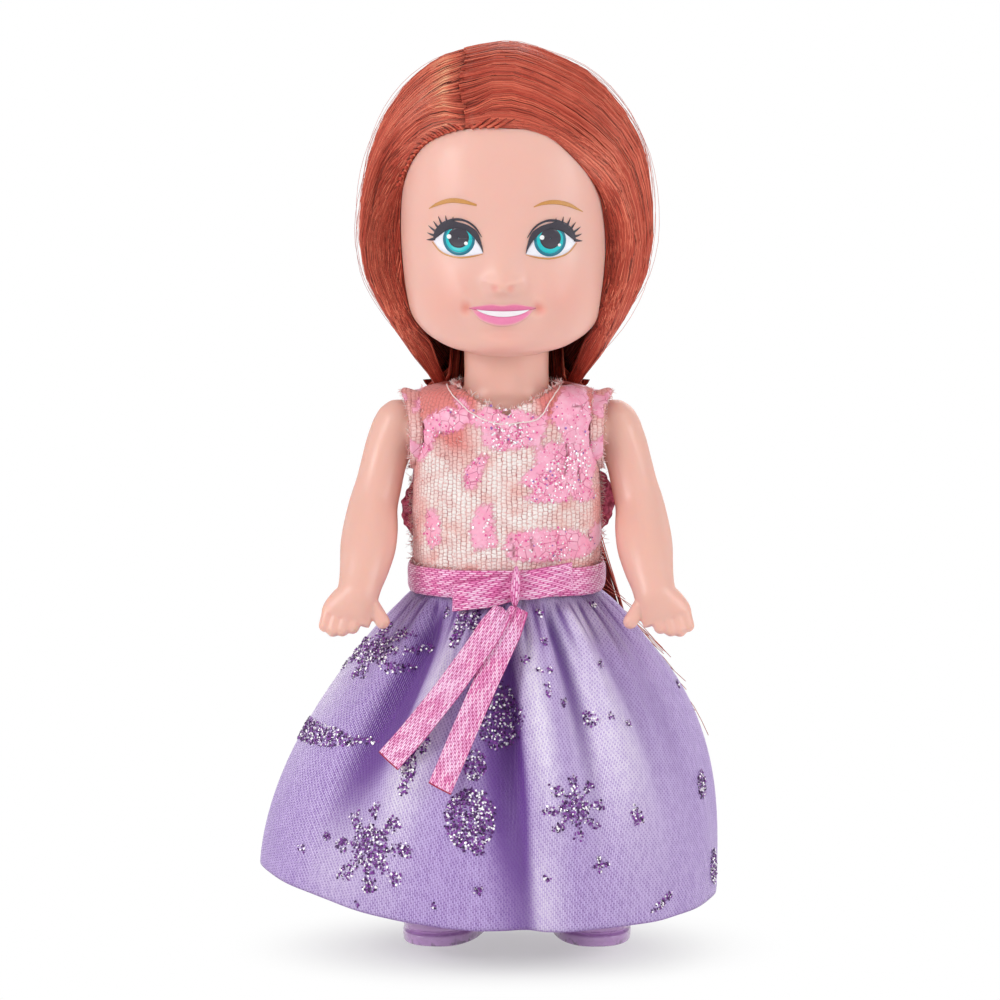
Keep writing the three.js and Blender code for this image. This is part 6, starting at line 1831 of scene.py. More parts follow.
def top_panel(name, turns, low, high, proud, keep, columns=200, rows=132):
    """One panel of the top: a grid over turns and heights, with lumps of knit, creases from the neck and the
    armholes, and the film's thickness in its form, cut to its outline with a raw edge."""
    turn, z = np.meshgrid(np.linspace(*turns, columns), np.linspace(low, high, rows))
    flat = top_at(turn, z)
    x, y = flat[..., 0], flat[..., 1]
    front = (y < 0) * 1.0
    film = film_share(x, z) * front
    back_film = (ragged(x, z, 1.9, 0.5) > 0.22) * (1 - front) * (ragged(z, x, 0.2, 1) > -1.2)
    film = np.maximum(film, back_film)
    lumps = 0.05 * np.sin(x / 0.39 * math.pi) * np.sin(z / 0.31 * math.pi) + ragged(x, z, 0.9, 0.05)
    cracks = lined(x, z, FILM_CRACKS, 0.2) * front
    crease = 0.28 * np.exp(-(((np.abs(x) - 8.6) - 0.35 * (z - 66)) ** 2) / 0.5) * bell((z - 66.5) / 4.5)
    crease += 0.16 * np.sin(2.4 * x) * bell((z - 49.2) / 2.2) * (np.abs(x) < 11)
    grid = top_at(turn, z, proud + lumps * (1 - 0.6 * film) + FILM * film - crease - 0.12 * cracks)
    arc = np.cumsum(np.r_[0, np.linalg.norm(np.diff(flat[rows // 2], axis=0), axis=-1)])
    uv = np.stack([np.broadcast_to(arc, x.shape), z], -1)
    panel = surface(name, grid, top_cloth, uv=uv, flip=turns[1] < turns[0])
    # The knit's salmon tint is partly its own colour and partly painted shade: on the shoulders, in a spot
    # under the right one, at the sides and above the belt.
    salmon_and_shade = 1.5 * bell((z - 73.5) / 4.2) * spread_smooth((np.abs(x) - 2) / 4)
    salmon_and_shade = salmon_and_shade + 1.0 * bell(np.hypot(x + 7.0, z - 67.4) / 2.2) + 0.6 * bell((np.abs(x) - 12.3) / 1.2)
    salmon_and_shade = salmon_and_shade + 0.3 * bell((z - 49.5) / 1.5) + 0.22 * np.clip(ragged(x, z, 0.8, 0.8), 0, 1)
    for tag, value in (("film", film), ("crack", cracks), ("salmon_and_shade", np.clip(salmon_and_shade, 0, 1))):
        tagged(panel, tag, value)
    tear = ragged(x, z, 0.35, 0.12)
    across_neck = x / (NECKLINE["side"] + tear)
    along_neck = y / (np.where(y < 0, NECKLINE["front"], NECKLINE["back"]) + tear)
    in_neck = (np.hypot(across_neck, along_neck) < 1) & (z > SHOULDER_Z)
    in_armhole = (np.hypot(y, z - SHOULDER_Z) < ARMHOLE - 0.35 + tear) & (np.abs(x) > ARM_SEAT - 0.3)
    kept_faces(panel, ~in_neck & ~in_armhole & keep(x, y, z))
    thickened(panel, CLOTH)
    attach(panel, "torso")
    return panel


def everywhere(x, y, z):
    """True at every point: a panel of which nothing more is cut away."""
    return np.full(x.shape, True)


# The back opens down the middle: the left panel laps over the right one with a flap that carries a tape.
quarter = math.pi / 2
top_front = top_panel("top_front_cloth", (-quarter, quarter), TOP_BASE, TOP_HEIGHT, 0, everywhere)
back_right = top_panel(
    "top_back_right_cloth", (quarter * 2.22, quarter * 3), TOP_BASE, TOP_HEIGHT, 0,
    lambda x, y, z: x < 2.3, 120
)
back_left = top_panel(
    "top_back_left_cloth", (quarter, quarter * 2.17), TOP_BASE, TOP_HEIGHT, 0,
    lambda x, y, z: x > 2.6, 120
)
back_flap = top_panel(
    "top_back_left_flap", (quarter * 1.78, quarter * 2.18), 51.4, 72.6, 0.95,
    lambda x, y, z: (x > -2.3) & (x < 3.6), 60
)
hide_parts("top_front")
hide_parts("top_back_right")
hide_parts("top_back_left")

# The sewn-on hook and loop tapes that close the back.
tape_nylon, shader = finish("hook and loop tape", IOR=1.53, Specular_IOR_Level=0.4)
place = own_place()
hooks = node("TexVoronoi", {"Vector": place, "Scale": 3600.0}, feature="F1").outputs["Distance"]
join(
    shader,
    Base_Color=blended(spread(hooks, 0.1, 0.55), (0.93, 0.91, 0.93), (0.60, 0.56, 0.61)),
    Roughness=uneven(place, 500, 2, 0.5, 0.75),
    Normal=bumped(hooks, 0.8, 0.08),
)
for name, low, high, out in (("loop_tape", 51.6, 72.4, 0.36), ("hook_tape", 52.3, 69.3, 0.8)):
    across = np.linspace(-0.5, 0.5, 24) * TAPE_WIDTH
    turn, z = np.meshgrid(np.pi - np.arcsin(across / CHEST_SIDE), np.linspace(low, high, 90))
    rows = top_at(turn, z, out + 0.03 * np.sin(40 * z) * np.sin(300 * turn))
    tape = surface(name + "_woven", rows, tape_nylon, flip=True)
    thickened(tape, TAPE)
    fitted(tape, "torso", name)


# The armholes' turned edges: a short cuff of the same cloth, drawn out over the arm's top.
def cuff_reach(a):
    """How far out over the arm a cuff reaches at a turn from its top."""
    return ARM_SEAT + FIT_GAP + 1.5 + 1.2 * (0.5 + 0.5 * np.cos(a)) ** 6


def sewn(piece):
    """Joins the edges of a skin where they lie on each other."""
    weld = piece.modifiers.new("weld", "WELD")
    weld.merge_threshold = 0.001 * MM


for side, sign in (("left", 1), ("right", -1)):
    a, s = np.meshgrid(*(np.linspace(0, 2 * math.pi, count, endpoint=False) for count in (150, 30)))
    inner_x = ARM_SEAT + 0.1
    middle, half = (cuff_reach(a) + inner_x) / 2, (cuff_reach(a) - inner_x) / 2
    x = middle + half * signed_power(np.cos(s), 0.5)
    radius = (
        CUFF + 0.32 * signed_power(np.sin(s), 0.6) + 0.14 * np.sin(7 * a + 2 * x)
        + ragged(a * 5, x, 0.5, 0.07)
    )
    grid = np.stack([sign * x, -radius * np.sin(a), SHOULDER_Z + radius * np.cos(a)], -1)
    grid = np.concatenate([grid, grid[:1]])
    uv_a, uv_x = np.linspace(0, 2 * math.pi * 5, 151), np.concatenate([x, x[:1]])
    cuff_uv = np.stack([np.concatenate([uv_x, uv_x[:, :1]], 1), np.broadcast_to(uv_a, (31, 151))], -1)
    cuff = surface(f"{side}_armhole_cuff", grid, top_cloth, around=True, uv=cuff_uv, flip=sign > 0)
    film = (ragged(a * 5, x, 1.1, 0.5) > (0.35 if sign < 0 else 0.0)) * 1.0
    for tag, value in (("film", film), ("salmon_and_shade", 0.35 + 0.45 * bell((a - 0.4) / 0.9)), ("crack", 0 * a)):
        tagged(cuff, tag, np.concatenate([value, value[:1]]))
    sewn(cuff)
    fitted(cuff, "torso", f"{side}_armhole_binding")

# Raw side edges of the back panels, which curl out below the arms and show their crimson inside.
crimson_back, shader = finish("knit's crimson inside", IOR=1.5, Specular_IOR_Level=0.3, Sheen_Weight=0.3)
place = own_place()
join(
    shader,
    Base_Color=blended(spread(noise(place, 1500, 3), 0.35, 0.65), (0.26, 0.02, 0.06), (0.66, 0.12, 0.22)),
    Roughness=uneven(place, 800, 2, 0.6, 0.85),
    Normal=bumped(noise(place, 3200, 2), 0.8, 0.08),
)
for name, sign, low, high, out in (("left", 1, 54.2, 62.2, 3.7), ("right", -1, 53.4, 60.6, 2.8)):
    s, z = np.meshgrid(np.linspace(0, 1, 26), np.linspace(low, high, 60))
    share = (z - low) / (high - low)
    belly = np.sin(math.pi * share) ** 0.7 * (0.8 + 0.35 * share)
    far = out * belly * s
    x = 12.25 - 0.5 * (1 - s) + far - 0.4 * s**2 * out * belly + ragged(z, s, 0.4, 0.05)
    y = 0.2 + 1.9 * np.sin(1.6 * s) * belly + ragged(s * 4, z, 0.5, 0.08)
    rows = np.stack([sign * x, y, z - 0.5 * s * belly], -1)
    flap = surface(f"{name}_side_edge", rows, crimson_back, flip=sign < 0)
    thickened(flap, 0.35, 1.0)
    fitted(flap, "torso")

# Loose fibres at the raw edges and on the knit that no film covers.
frayed, shader = finish("frayed knit fibre", IOR=1.5, Specular_IOR_Level=0.35, Sheen_Weight=0.2)
place = own_place()
shade = read_tag("shade")
salmon_fibre = blended(spread(shade, 0.0, 0.2), SALMON, (0.90, 0.42, 0.40))
join(
    shader,
    Base_Color=blended(spread(shade, 0.3, 0.6), salmon_fibre, (0.96, 0.80, 0.78)),
    Roughness=uneven(place, 2000, 1, 0.6, 0.8),
    Normal=bumped(noise(place, 5000, 1), 0.3, 0.02),
)


def fuzz_along(name, line, outward, count, length, thickness=0.045):
    """Short bent fibres that stand out from a line on the cloth, each at a random place and lean."""
    line, outward = np.asarray(line, float), np.asarray(outward, float)
    spot = dice.uniform(0, len(line) - 1.001, count)
    low = spot.astype(int)
    share = (spot - low)[:, None]
    start = line[low] * (1 - share) + line[low + 1] * share + dice.normal(0, 0.1, (count, 3))
    away = unit(outward[low] + dice.normal(0, 0.55, (count, 3)))
    bend = dice.normal(0, 0.45, (count, 3))
    t = np.linspace(0, 1, 5)[None, :, None]
    long = (length * dice.uniform(0.4, 1.3, count))[:, None, None]
    lines = start[:, None] + long * (away[:, None] * t + bend[:, None] * t**2)
    radii = thickness * dice.uniform(0.7, 1.3, (count, 1)) * np.array([1, 0.95, 0.85, 0.7, 0.4])
    return fibres(name, lines, radii, dice.uniform(0, 1, count), frayed)


neck_turn = np.linspace(0, 2 * math.pi, 241)
neck_deep = np.where(np.cos(neck_turn) > 0, NECKLINE["front"], NECKLINE["back"])
neck_edge = np.stack([NECKLINE["side"] * np.sin(neck_turn), -neck_deep * np.cos(neck_turn)], -1)


def height_on_top(x, y):
    """The height at which the top's outside reaches a place in plan, found by halving."""
    low, high = np.full(x.shape, 60.0), np.full(x.shape, TOP_HEIGHT)
    for _ in range(24):
        middle = (low + high) / 2
        side, front, back = np.moveaxis(top_shape(middle), -1, 0)
        deep = np.where(y < 0, front, back)
        within = (np.abs(x) / side) ** CHEST_SQUARE + (np.abs(y) / deep) ** CHEST_SQUARE < 1
        low, high = np.where(within, middle, low), np.where(within, high, middle)
    return low


neck_line = np.column_stack([neck_edge, height_on_top(neck_edge[:, 0], neck_edge[:, 1])])
neck_out = unit(np.column_stack([-0.6 * neck_edge, np.full(len(neck_edge), 5.5)]))
ring_a = np.linspace(0, 2 * math.pi, 161)
fuzz = [fuzz_along("neckline_fray", neck_line, neck_out, 560, 0.48)]
for side, sign in (("left", 1), ("right", -1)):
    circle = np.stack([0 * ring_a, -np.sin(ring_a), np.cos(ring_a)], -1)
    outer_ring = circle * 5.0 + np.stack([sign * cuff_reach(ring_a), 0 * ring_a, SHOULDER_Z + 0 * ring_a], -1)
    fuzz.append(fuzz_along(f"{side}_cuff_fray", outer_ring, circle * 0.5 + [sign * 0.9, 0, 0], 300, 0.34))
    inner_ring = circle * 5.25 + [sign * (ARM_SEAT + 0.3), 0, SHOULDER_Z]
    fuzz.append(fuzz_along(f"{side}_armhole_fray", inner_ring, circle + [sign * 0.3, 0, 0], 200, 0.36))
    side_line = top_at(np.full(80, sign * quarter), np.linspace(50, 62, 80), 0.05)
    fuzz.append(fuzz_along(f"{side}_side_fray", side_line, np.tile([sign * 1.0, 0, 0], (80, 1)), 190, 0.5))
low_line = top_at(np.linspace(-quarter * 2, quarter * 2, 200), np.full(200, 50.6), 0.1)
fuzz.append(fuzz_along("lower_edge_fray", low_line, unit(low_line * [1, 1, 0]) + [0, 0, -0.6], 420, 0.5))
front_turn, front_z = dice.uniform(-1.45, 1.45, 2600), dice.uniform(50.4, 71.5, 2600)
nap_start = top_at(front_turn, front_z)
bare = film_share(nap_start[:, 0], nap_start[:, 2]) < 0.2
off_armhole = np.hypot(nap_start[:, 1], nap_start[:, 2] - SHOULDER_Z) > ARMHOLE
off_neck = np.hypot(nap_start[:, 0] / 7.6, nap_start[:, 1] / 8.2) > 1
bare &= (off_armhole | (np.abs(nap_start[:, 0]) < ARM_SEAT)) & (off_neck | (nap_start[:, 2] < 68))
nap_start = nap_start[bare]
fuzz.append(fuzz_along("front_nap", nap_start, unit(nap_start * [0.3, 1, 0]) * 0.9, 1900, 0.34, 0.042))

# The white thread dips into the cloth at each stitch along this line across and up the front.
THREAD_RADIUS = 0.09
STITCH_LINE = [
    (-7.8, 74.0), (-7.1, 73.0), (-5.9, 71.9), (-4.8, 70.9), (-2.7, 69.8), (-0.5, 69.3), (1.8, 69.5),
    (3.7, 69.8), (4.8, 70.7), (5.4, 71.8), (6.2, 72.9), (7.0, 73.9)
]
steps = 220
stitch_curve = smooth(np.column_stack([np.linspace(0, 1, len(STITCH_LINE)), STITCH_LINE]))
thread_x, thread_z = stitch_curve(np.linspace(0, 1, steps)).T
dips = 0.06 + 0.16 * np.abs(np.sin(np.linspace(0, 13 * math.pi, steps))) ** 0.6
thread_line = top_at(turn_at(thread_x, thread_z), thread_z, dips)
white_thread, shader = finish("white sewing thread", IOR=1.5, Specular_IOR_Level=0.5)
twist = {"Vector": own_place(), "Scale": 2500.0, "Distortion": 1.0}
ply = node("TexWave", twist, bands_direction="DIAGONAL").outputs["Fac"]
join(
    shader,
    Base_Color=blended(ply, (0.95, 0.88, 0.86), (0.82, 0.62, 0.60)),
    Roughness=spread(ply, 0, 1, 0.4, 0.6),
    Normal=bumped(ply, 0.4, 0.03),
)
rings = tube(thread_line, THREAD_RADIUS, THREAD_RADIUS, 8)
neck_thread = surface("neckline_thread", rings, white_thread, around=True, closed=True)
fitted(neck_thread, "torso")

# Glitter in the film: silver, pink and a few violet flakes.
film_glitter, shader = finish("film glitter", IOR=1.5, Coat_Weight=0.5, Coat_Roughness=0.06)
tone = read_tag("tone")
warm = blended(maths("GREATER_THAN", tone, 0.25), (0.80, 0.10, 0.34), (0.96, 0.50, 0.68))
cool = blended(maths("GREATER_THAN", tone, 0.96), (0.98, 0.96, 0.98), (0.30, 0.12, 0.42))
join(
    shader,
    Base_Color=blended(maths("GREATER_THAN", tone, 0.6), warm, cool),
    Metallic=spread(tone, 0.6, 0.8, 0.1, 0.25),
    Roughness=uneven(own_place(), 4000, 1, 0.12, 0.35),
)
spots = dice.uniform((-12.2, 49.8), (12.2, 72.0), (9000, 2))
spots = spots[film_share(spots[:, 0], spots[:, 1]) > 0.9]
# Where the flakes lie closest: places across and up the front, and how wide.
CLUSTERS = [
    (6.8, 62.0, 2.6), (8.6, 64.5, 2.0), (3.8, 60.5, 1.8), (6.2, 52.0, 1.9), (9.6, 58.5, 1.5),
    (-9.4, 53.8, 1.3), (0.2, 68.0, 2.4), (-8.6, 67.5, 1.5)
]
closeness = np.max([bell(np.hypot(spots[:, 0] - cx, spots[:, 1] - cz) / r) for cx, cz, r in CLUSTERS], axis=0)
spots = spots[dice.uniform(0, 1, len(spots)) < 0.12 + 0.6 * closeness]
spot_turn = turn_at(*spots.T)
spot_places = top_at(spot_turn, spots[:, 1], FILM + 0.08)
spot_out = unit(top_at(spot_turn, spots[:, 1], 1.0) - top_at(spot_turn, spots[:, 1], 0.0))
size, tones = dice.uniform(0.07, 0.19, len(spots)), dice.uniform(0, 1, len(spots))
top_glitter = glitter("top_glitter", spot_places, spot_out, size, tones, film_glitter, 0.2)
for piece in (top_glitter, *fuzz):
    fitted(piece, "torso")

# Belt and bow. One hot-pink satin ribbon, an eighth of an inch wide, goes round the waist and
# is tied in front in a flat bow. Its two ends hang over the skirt and are cut with heat,
# which leaves a dark crimson edge.

RIBBON_WIDTH = 3.6
BELT_SQUARE = 2.4  # how squared the belt's oval is; 2 would be a plain oval
RIBBON = 0.45
RIBBON_LOW = FLARE_Z + 0.15
RIBBON_THREAD = 0.24
RIBBON_FLOAT = 1.1
BOW_PLACE = 1.0
BOW_SLOPE = 0.17  # the bow climbs towards the doll's left
BOW_GAP = 0.9
TAIL_TOP = 45.75
# Each end of the ribbon: length, start across, lean in degrees, and lift off the skirt.
TAILS = {
    "ribbon_tail_right": (24.2, -0.3, -38.2, 0.9),
    "ribbon_tail_left": (24.3, 1.7, -25.0, 0.35),
}
ROSE_DEEP = (0.46, 0.02, 0.18)
ROSE = (0.84, 0.12, 0.42)
ROSE_LIGHT = (0.94, 0.47, 0.78)
CRIMSON = (0.42, 0.008, 0.06)


def ribbon_radius(turn, grow):
    """The belt's reach from the body's axis: a squared oval round the waist, grow further out."""
    side = WAIST_SIDE + 1.65 + grow
    deep = BELLY + np.where(np.cos(turn) > 0, 3.65, 2.5) + grow
    across, along = np.abs(np.sin(turn) / side), np.abs(np.cos(turn) / deep)
    return 1 / (across**BELT_SQUARE + along**BELT_SQUARE) ** (1 / BELT_SQUARE)


def ribbon_satin(name, light, end_mark, shine):
    """Ribbon satin in one depth of pink. The map runs across the ribbon from 0 to 1 and along it in
    millimetres; beyond end_mark along it the heat-cut end begins."""
    material, shader = finish(name, IOR=1.5, Specular_IOR_Level=0.6, Sheen_Weight=0.15, Sheen_Roughness=0.35)
    uv = own_map()
    threads = maths("MULTIPLY", uv["X"], RIBBON_WIDTH / RIBBON_THREAD)
    weave = woven_satin(threads, maths("DIVIDE", uv["Y"], RIBBON_FLOAT), 0.5)
    place = own_place()
    middle = blended(spread(noise(place, 170, 2), 0.3, 0.66, 0.15, 1.0), ROSE, light)
    woven = blended(spread(weave["Tone"], 0.1, 0.75), ROSE_DEEP, middle)
    # Painted highlight: the brightest floats are whitened, by the share shine.
    shiny = spread(weave["Tone"], 0.7, 1.15)
    woven = blended(maths("MULTIPLY", shiny, shine), woven, (1.0, 0.80, 0.93))
    edge = maths("ABSOLUTE", maths("MULTIPLY_ADD", uv["X"], 2, -1))
    woven = blended(spread(edge, 0.93, 1.0, 0.0, 0.5), woven, ROSE)
    seared = spread(uv["Y"], end_mark - 0.24, end_mark - 0.14)
    join(
        shader,
        Base_Color=blended(seared, woven, CRIMSON),
        Roughness=blended(seared, spread(weave["Height"], 0, 1, 0.52, 0.32), (0.22, 0.22, 0.22)),
        Normal=bumped(weave["Height"], 0.6, 0.08),
    )
    return material


belt_satin = ribbon_satin("rose satin ribbon", (0.92, 0.36, 0.66), 900.0, 0.8)
tail_satins = {
    f"ribbon_tail_{side}": ribbon_satin(
        f"rose satin ribbon, {side} end", ROSE_LIGHT, TAILS[f"ribbon_tail_{side}"][0], 0.85
    )
    for side in ("right", "left")
}


def ribbon_strip(name, solid, rows, material, along, thick=0.26, around=False, flip=False):
    """A piece of ribbon from rows of points, one row for each step along it, thickened about
    those rows; any rounding of its edges comes with the rows."""
    across = rows.shape[1]
    uv = np.stack(np.broadcast_arrays(np.linspace(0, 1, across), along[:, None]), -1)
    strip = surface(name, rows, material, uv=uv, flip=flip)
    if around:
        sewn(strip)
    thickened(strip, thick, 0.0)
    fitted(strip, "torso", solid)
    return strip


def round_waist(turn, grow, z):
    """Points round the belt, at a turn, a distance outside it and a height."""
    radius = ribbon_radius(turn, grow)
    return np.stack([radius * np.sin(turn), -radius * np.cos(turn), z + 0 * turn], -1)


turn = np.linspace(-math.pi, math.pi, 300)[:, None]
share = np.linspace(-1, 1, 22)[None, :]
rounding = (
    0.34 * (1 - share**4) - 0.04 + 0.05 * np.sin(9 * turn + 2 * share) + 0.06 * np.sin(31 * turn) * share**2
)
pull = 0.16 * np.sin(2 * turn + 0.6) + 0.1 * np.sin(5 * turn)
middle_z = RIBBON_LOW + RIBBON_WIDTH / 2 + pull * (1 - bell(turn / 0.5))
belt_rows = round_waist(turn + 0 * share, rounding - 0.02, middle_z + share * RIBBON_WIDTH / 2)
arc = np.cumsum(np.r_[0, np.linalg.norm(np.diff(belt_rows[:, 10], axis=0), axis=-1)])
bow_pieces = [ribbon_strip("waist_ribbon_band", "waist_ribbon", belt_rows, belt_satin, arc, around=True)]
bow_turn = math.asin(BOW_PLACE / float(ribbon_radius(np.array(0.0), 0)))
for side, sign, length, rise in (("left", 1, 7.2, 0.009), ("right", -1, 7.9, -0.009)):
    # Out along the belt, round a soft fold at the end, and back to the knot over itself.
    t = np.linspace(0, 1, 100)[:, None]
    fold = 0.10
    outward = np.clip(np.minimum(t, 1 - t) / (0.5 - fold), 0, 1)
    turning = np.clip((t - (0.5 - fold)) / (2 * fold), 0, 1) * math.pi
    tip_out = 0.32 * np.sin(turning)
    layer = 0.5 - 0.5 * np.cos(turning)
    reach_out = BOW_GAP * 0.5 + (length - 0.3 - BOW_GAP * 0.5) * outward + tip_out
    puff = np.sin(math.pi * np.clip(outward, 0, 1)) ** 0.8
    grow = 0.80 + 0.34 * layer + 0.24 * puff * layer
    turn = bow_turn + sign * reach_out / ribbon_radius(np.array(0.0), 1)
    near_knot = bell((reach_out - 0.4) / 1.6)
    gathers = 0.16 * near_knot * np.sin(share * 9 + sign) + 0.06 * np.sin(3.1 * reach_out + 4 * share)
    x = ribbon_radius(turn, grow) * np.sin(turn)
    wide = RIBBON_WIDTH / 2 * (1 + 0.10 * bell((reach_out - 2.5) / 2.5) - 0.12 * near_knot)
    z = RIBBON_LOW + RIBBON_WIDTH / 2 - 0.3 + BOW_SLOPE * (x - BOW_PLACE) + share * wide + rise * reach_out
    rows = round_waist(turn + 0 * share, grow + gathers * 0.8, z)
    loop, along = f"bow_loop_{side}", t[:, 0] * 2 * length
    bow_pieces.append(ribbon_strip(loop + "_folded", loop, rows, belt_satin, along, thick=0.2, flip=sign > 0))

# The knot: the ribbon drawn into a narrow twist that wraps the loops' middle.
low, high = RIBBON_LOW - 0.9, RIBBON_LOW + RIBBON_WIDTH + 0.9
s, a = np.meshgrid(np.linspace(0, 1, 60), np.linspace(0, 2 * math.pi, 64, endpoint=False), indexing="ij")
taper = np.sin(math.pi * s) ** 0.35
strands = 0.13 * np.abs(np.sin(2 * a + 5.5 * s)) ** 0.8
across = (0.5 + 0.08 * np.sin(5 * s)) * taper * signed_power(np.cos(a), 0.8) * (1 + strands)
deep = 0.72 * taper * signed_power(np.sin(a), 0.8) * (1 + strands)
turn = bow_turn + (across + 0.22 * (s - 0.5)) / 12.0
rows = round_waist(turn, 1.62 + 0.25 * taper + deep, low + (high - low) * s)
knot_uv = np.stack(np.meshgrid(np.linspace(0, 1, 65), np.linspace(0, 5.4, 60)), -1)
knot = surface("bow_knot", rows, belt_satin, around=True, closed=True, uv=knot_uv, flip=True)
fitted(knot, "torso", "bow_tie")
bow_pieces.append(knot)

for name, (length, start, lean, lift) in TAILS.items():
    t = np.linspace(0, 1, 90)[:, None]
    share = np.linspace(-1, 1, 20)[None, :]
    lean = math.radians(lean)
    curve = 0.35 * np.sin(math.pi * t) * (1 if "right" in name else -0.6)
    wide = 0.87 * RIBBON_WIDTH / 2 * (0.72 + 0.28 * np.clip(t / 0.12, 0, 1))
    x = start + np.sin(lean) * length * t + np.cos(lean) * (share * wide + curve)
    z = TAIL_TOP - np.cos(lean) * length * t + np.sin(lean) * (share * wide + curve)
    z = np.minimum(z, TAIL_TOP + 0.2)
    gathers = 0.3 * bell(t / 0.12) * np.sin(7 * share) + 0.07 * np.sin(21 * t + 3 * share)
    proud = 1.75 + lift * (1 - 0.75 * bell((1 - t) / 0.16)) + gathers + 0.1 * (1 - share**4)
    turn = 0 * x
    for _ in range(16):
        radius = skirt_plain(turn, np.clip((FLARE_Z - z) / (FLARE_Z - hem_height(turn)), 0, 1)) + proud
        turn = np.arcsin(np.clip(x / radius, -0.95, 0.95))
    rows = np.stack([x, -radius * np.cos(turn), z], -1)
    bow_pieces.append(ribbon_strip(f"{name}_end", name, rows, tail_satins[name], t[:, 0] * length, flip=True))

# Long hair. From the nape it hangs free over the back of the top, the belt and the skirt, and
# ends unevenly a little above the hem. Its form follows the dress over the torso, and its upper
# end is rooted in the head.

FALL_TOP = 73.9
FALL_LENGTH = 51.0
FALL_THICKNESS = 2.6
FALL_PROUD = 1.85
fall_width = smooth([[0, 9.0], [0.2, 9.8], [0.45, 12], [0.7, 14.5], [1, 12.5]])


def dress_back(turn, z):
    """How far the dress reaches from the body's axis: the skirt below the flare, the
    top and the belt above."""
    down = np.clip((FLARE_Z - z) / (FLARE_Z - hem_height(turn)), 0, 1)
    side, _, back = np.moveaxis(top_shape(np.clip(z, TOP_BASE, NECK_BASE - 2)), -1, 0)
    belt = np.where(z < RIBBON_LOW + RIBBON_WIDTH + 1, ribbon_radius(turn, RIBBON), 0)
    top = np.maximum(1 / np.hypot(np.sin(turn) / side, np.cos(turn) / back), belt)
    return np.where(z < FLARE_Z, skirt_plain(turn, down) + 1.0, top)


def fallen(across, down, proud):
    """Points in the long hair: across from -1 to 1, down from 0 at the shoulders to
    1, proud of its inside."""
    z = FALL_TOP - down * FALL_LENGTH
    x = 2.2 * down + across * fall_width(np.clip(down, 0, 1))[..., 0]
    turn = np.pi + 0 * x
    for _ in range(14):
        ease = 0
        for step in (-4.0, -2.0, 0.0, 2.0, 4.0):
            near = np.maximum(dress_back(turn, z + step), dress_back(turn, np.maximum(z + step - 2.5, 0)))
            ease = ease + near / 5
        radius = np.maximum(ease, dress_back(turn, z)) + FALL_PROUD + proud + 1.5 * bell(down / 0.1)
        turn = np.pi - np.arcsin(np.clip(x / radius, -0.97, 0.97))
    over_back = np.stack([x, -radius * np.cos(turn)], -1)
    # Round the neck it keeps inside the oval of the head's hair, and slides back over
    # the shoulders from there.
    angle = np.radians(76) * across
    inwards = 0.3 * proud - 1.9
    oval = [(HAIR_NECK_WIDTH / 2 + inwards) * np.sin(angle), (HAIR_NAPE + inwards) * np.cos(angle)]
    oval = np.stack(oval, -1)
    level = lerp(over_back, oval, spread_smooth((0.12 - down) / 0.14)[..., None])
    distance = np.hypot(level[..., 0], level[..., 1])
    clear = dress_back(np.arctan2(level[..., 0], -level[..., 1]), z) + 1.1 + 0.3 * proud
    push = lerp(1, np.maximum(1, clear / distance), spread_smooth((74.6 - z) / 0.8))
    return np.concatenate([level * push[..., None], (z + 0 * x)[..., None]], -1)


def fall_body(across, down):
    """How thick the long hair is at a place across and down it."""
    return FALL_THICKNESS * lerp(1, 0.5, down**3) * np.sqrt(np.maximum(0, 1 - 0.96 * np.square(across)))


down, ring = np.meshgrid(
    np.linspace(0, 0.97, 90), np.linspace(0, 2 * math.pi, 120, endpoint=False), indexing="ij"
)
across = np.cos(ring) * (1 - 0.02 * np.sin(20 * ring + 9 * down))
front_side = np.sin(ring) < 0
body = fall_body(across, down) - 0.75 - 0.18 * np.cos(26 * across + 3 * down)
proud = np.where(front_side, 0.05, np.maximum(body, 0.12))
across = across * 0.97
fall_uv = np.stack(np.meshgrid(np.linspace(0, 1, 121), np.linspace(0, 1, 90)), -1)
fall_under = surface(
    "hair_fall_under", fallen(across, down, proud), hair_under, around=True, closed=True, uv=fall_uv,
    flip=True
)
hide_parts("hair_fall")

count = 1700
t = np.linspace(0, 1, 16)
a0 = dice.uniform(-1, 1, (count, 1))
lock_number = np.round(a0 * 11)
drawn = lerp(a0, lock_number / 11 + 0.012 * np.sin(lock_number * 7), 0.55 * spread_smooth(t / 0.7))
sway = 0.03 * np.sin(2.4 * math.pi * t + lock_number * 1.9) * spread_smooth(t / 0.3)
stop = np.clip(0.985 - 0.05 * np.square(a0) - np.abs(dice.normal(0, 0.028, (count, 1))), 0.5, 1.01)
wisp = dice.uniform(0, 1, (count, 1)) < 0.15
stop = np.where(wisp, stop * dice.uniform(0.72, 1.0, (count, 1)), stop)
down = -0.085 + (stop + 0.085) * t
across = np.clip(drawn + sway, -1.02, 1.02) * np.where(down < 0, 1 + 0.4 * down, 1)
layer = dice.uniform(0, 1, (count, 1)) ** 1.5
from_lock = (drawn - lock_number / 11) * 11
height = (
    fall_body(np.clip(across, -1, 1), np.clip(down, 0, 1)) - 0.05 - 0.65 * layer - 0.35 * np.square(from_lock)
)
height = np.maximum(height, 0.1) * np.where(down < 0, 1 + 3.0 * down, 1) - np.where(down < 0, -down * 7, 0)
lines = fallen(across, down, height)
lines[..., :2] += dice.normal(0, 0.35, (count, 1, 2)) * (t**4)[None, :, None]
radii = 1.15 * FIBRE * dice.uniform(0.8, 1.25, (count, 1)) * np.concatenate([np.ones(13), [0.9, 0.7, 0.35]])
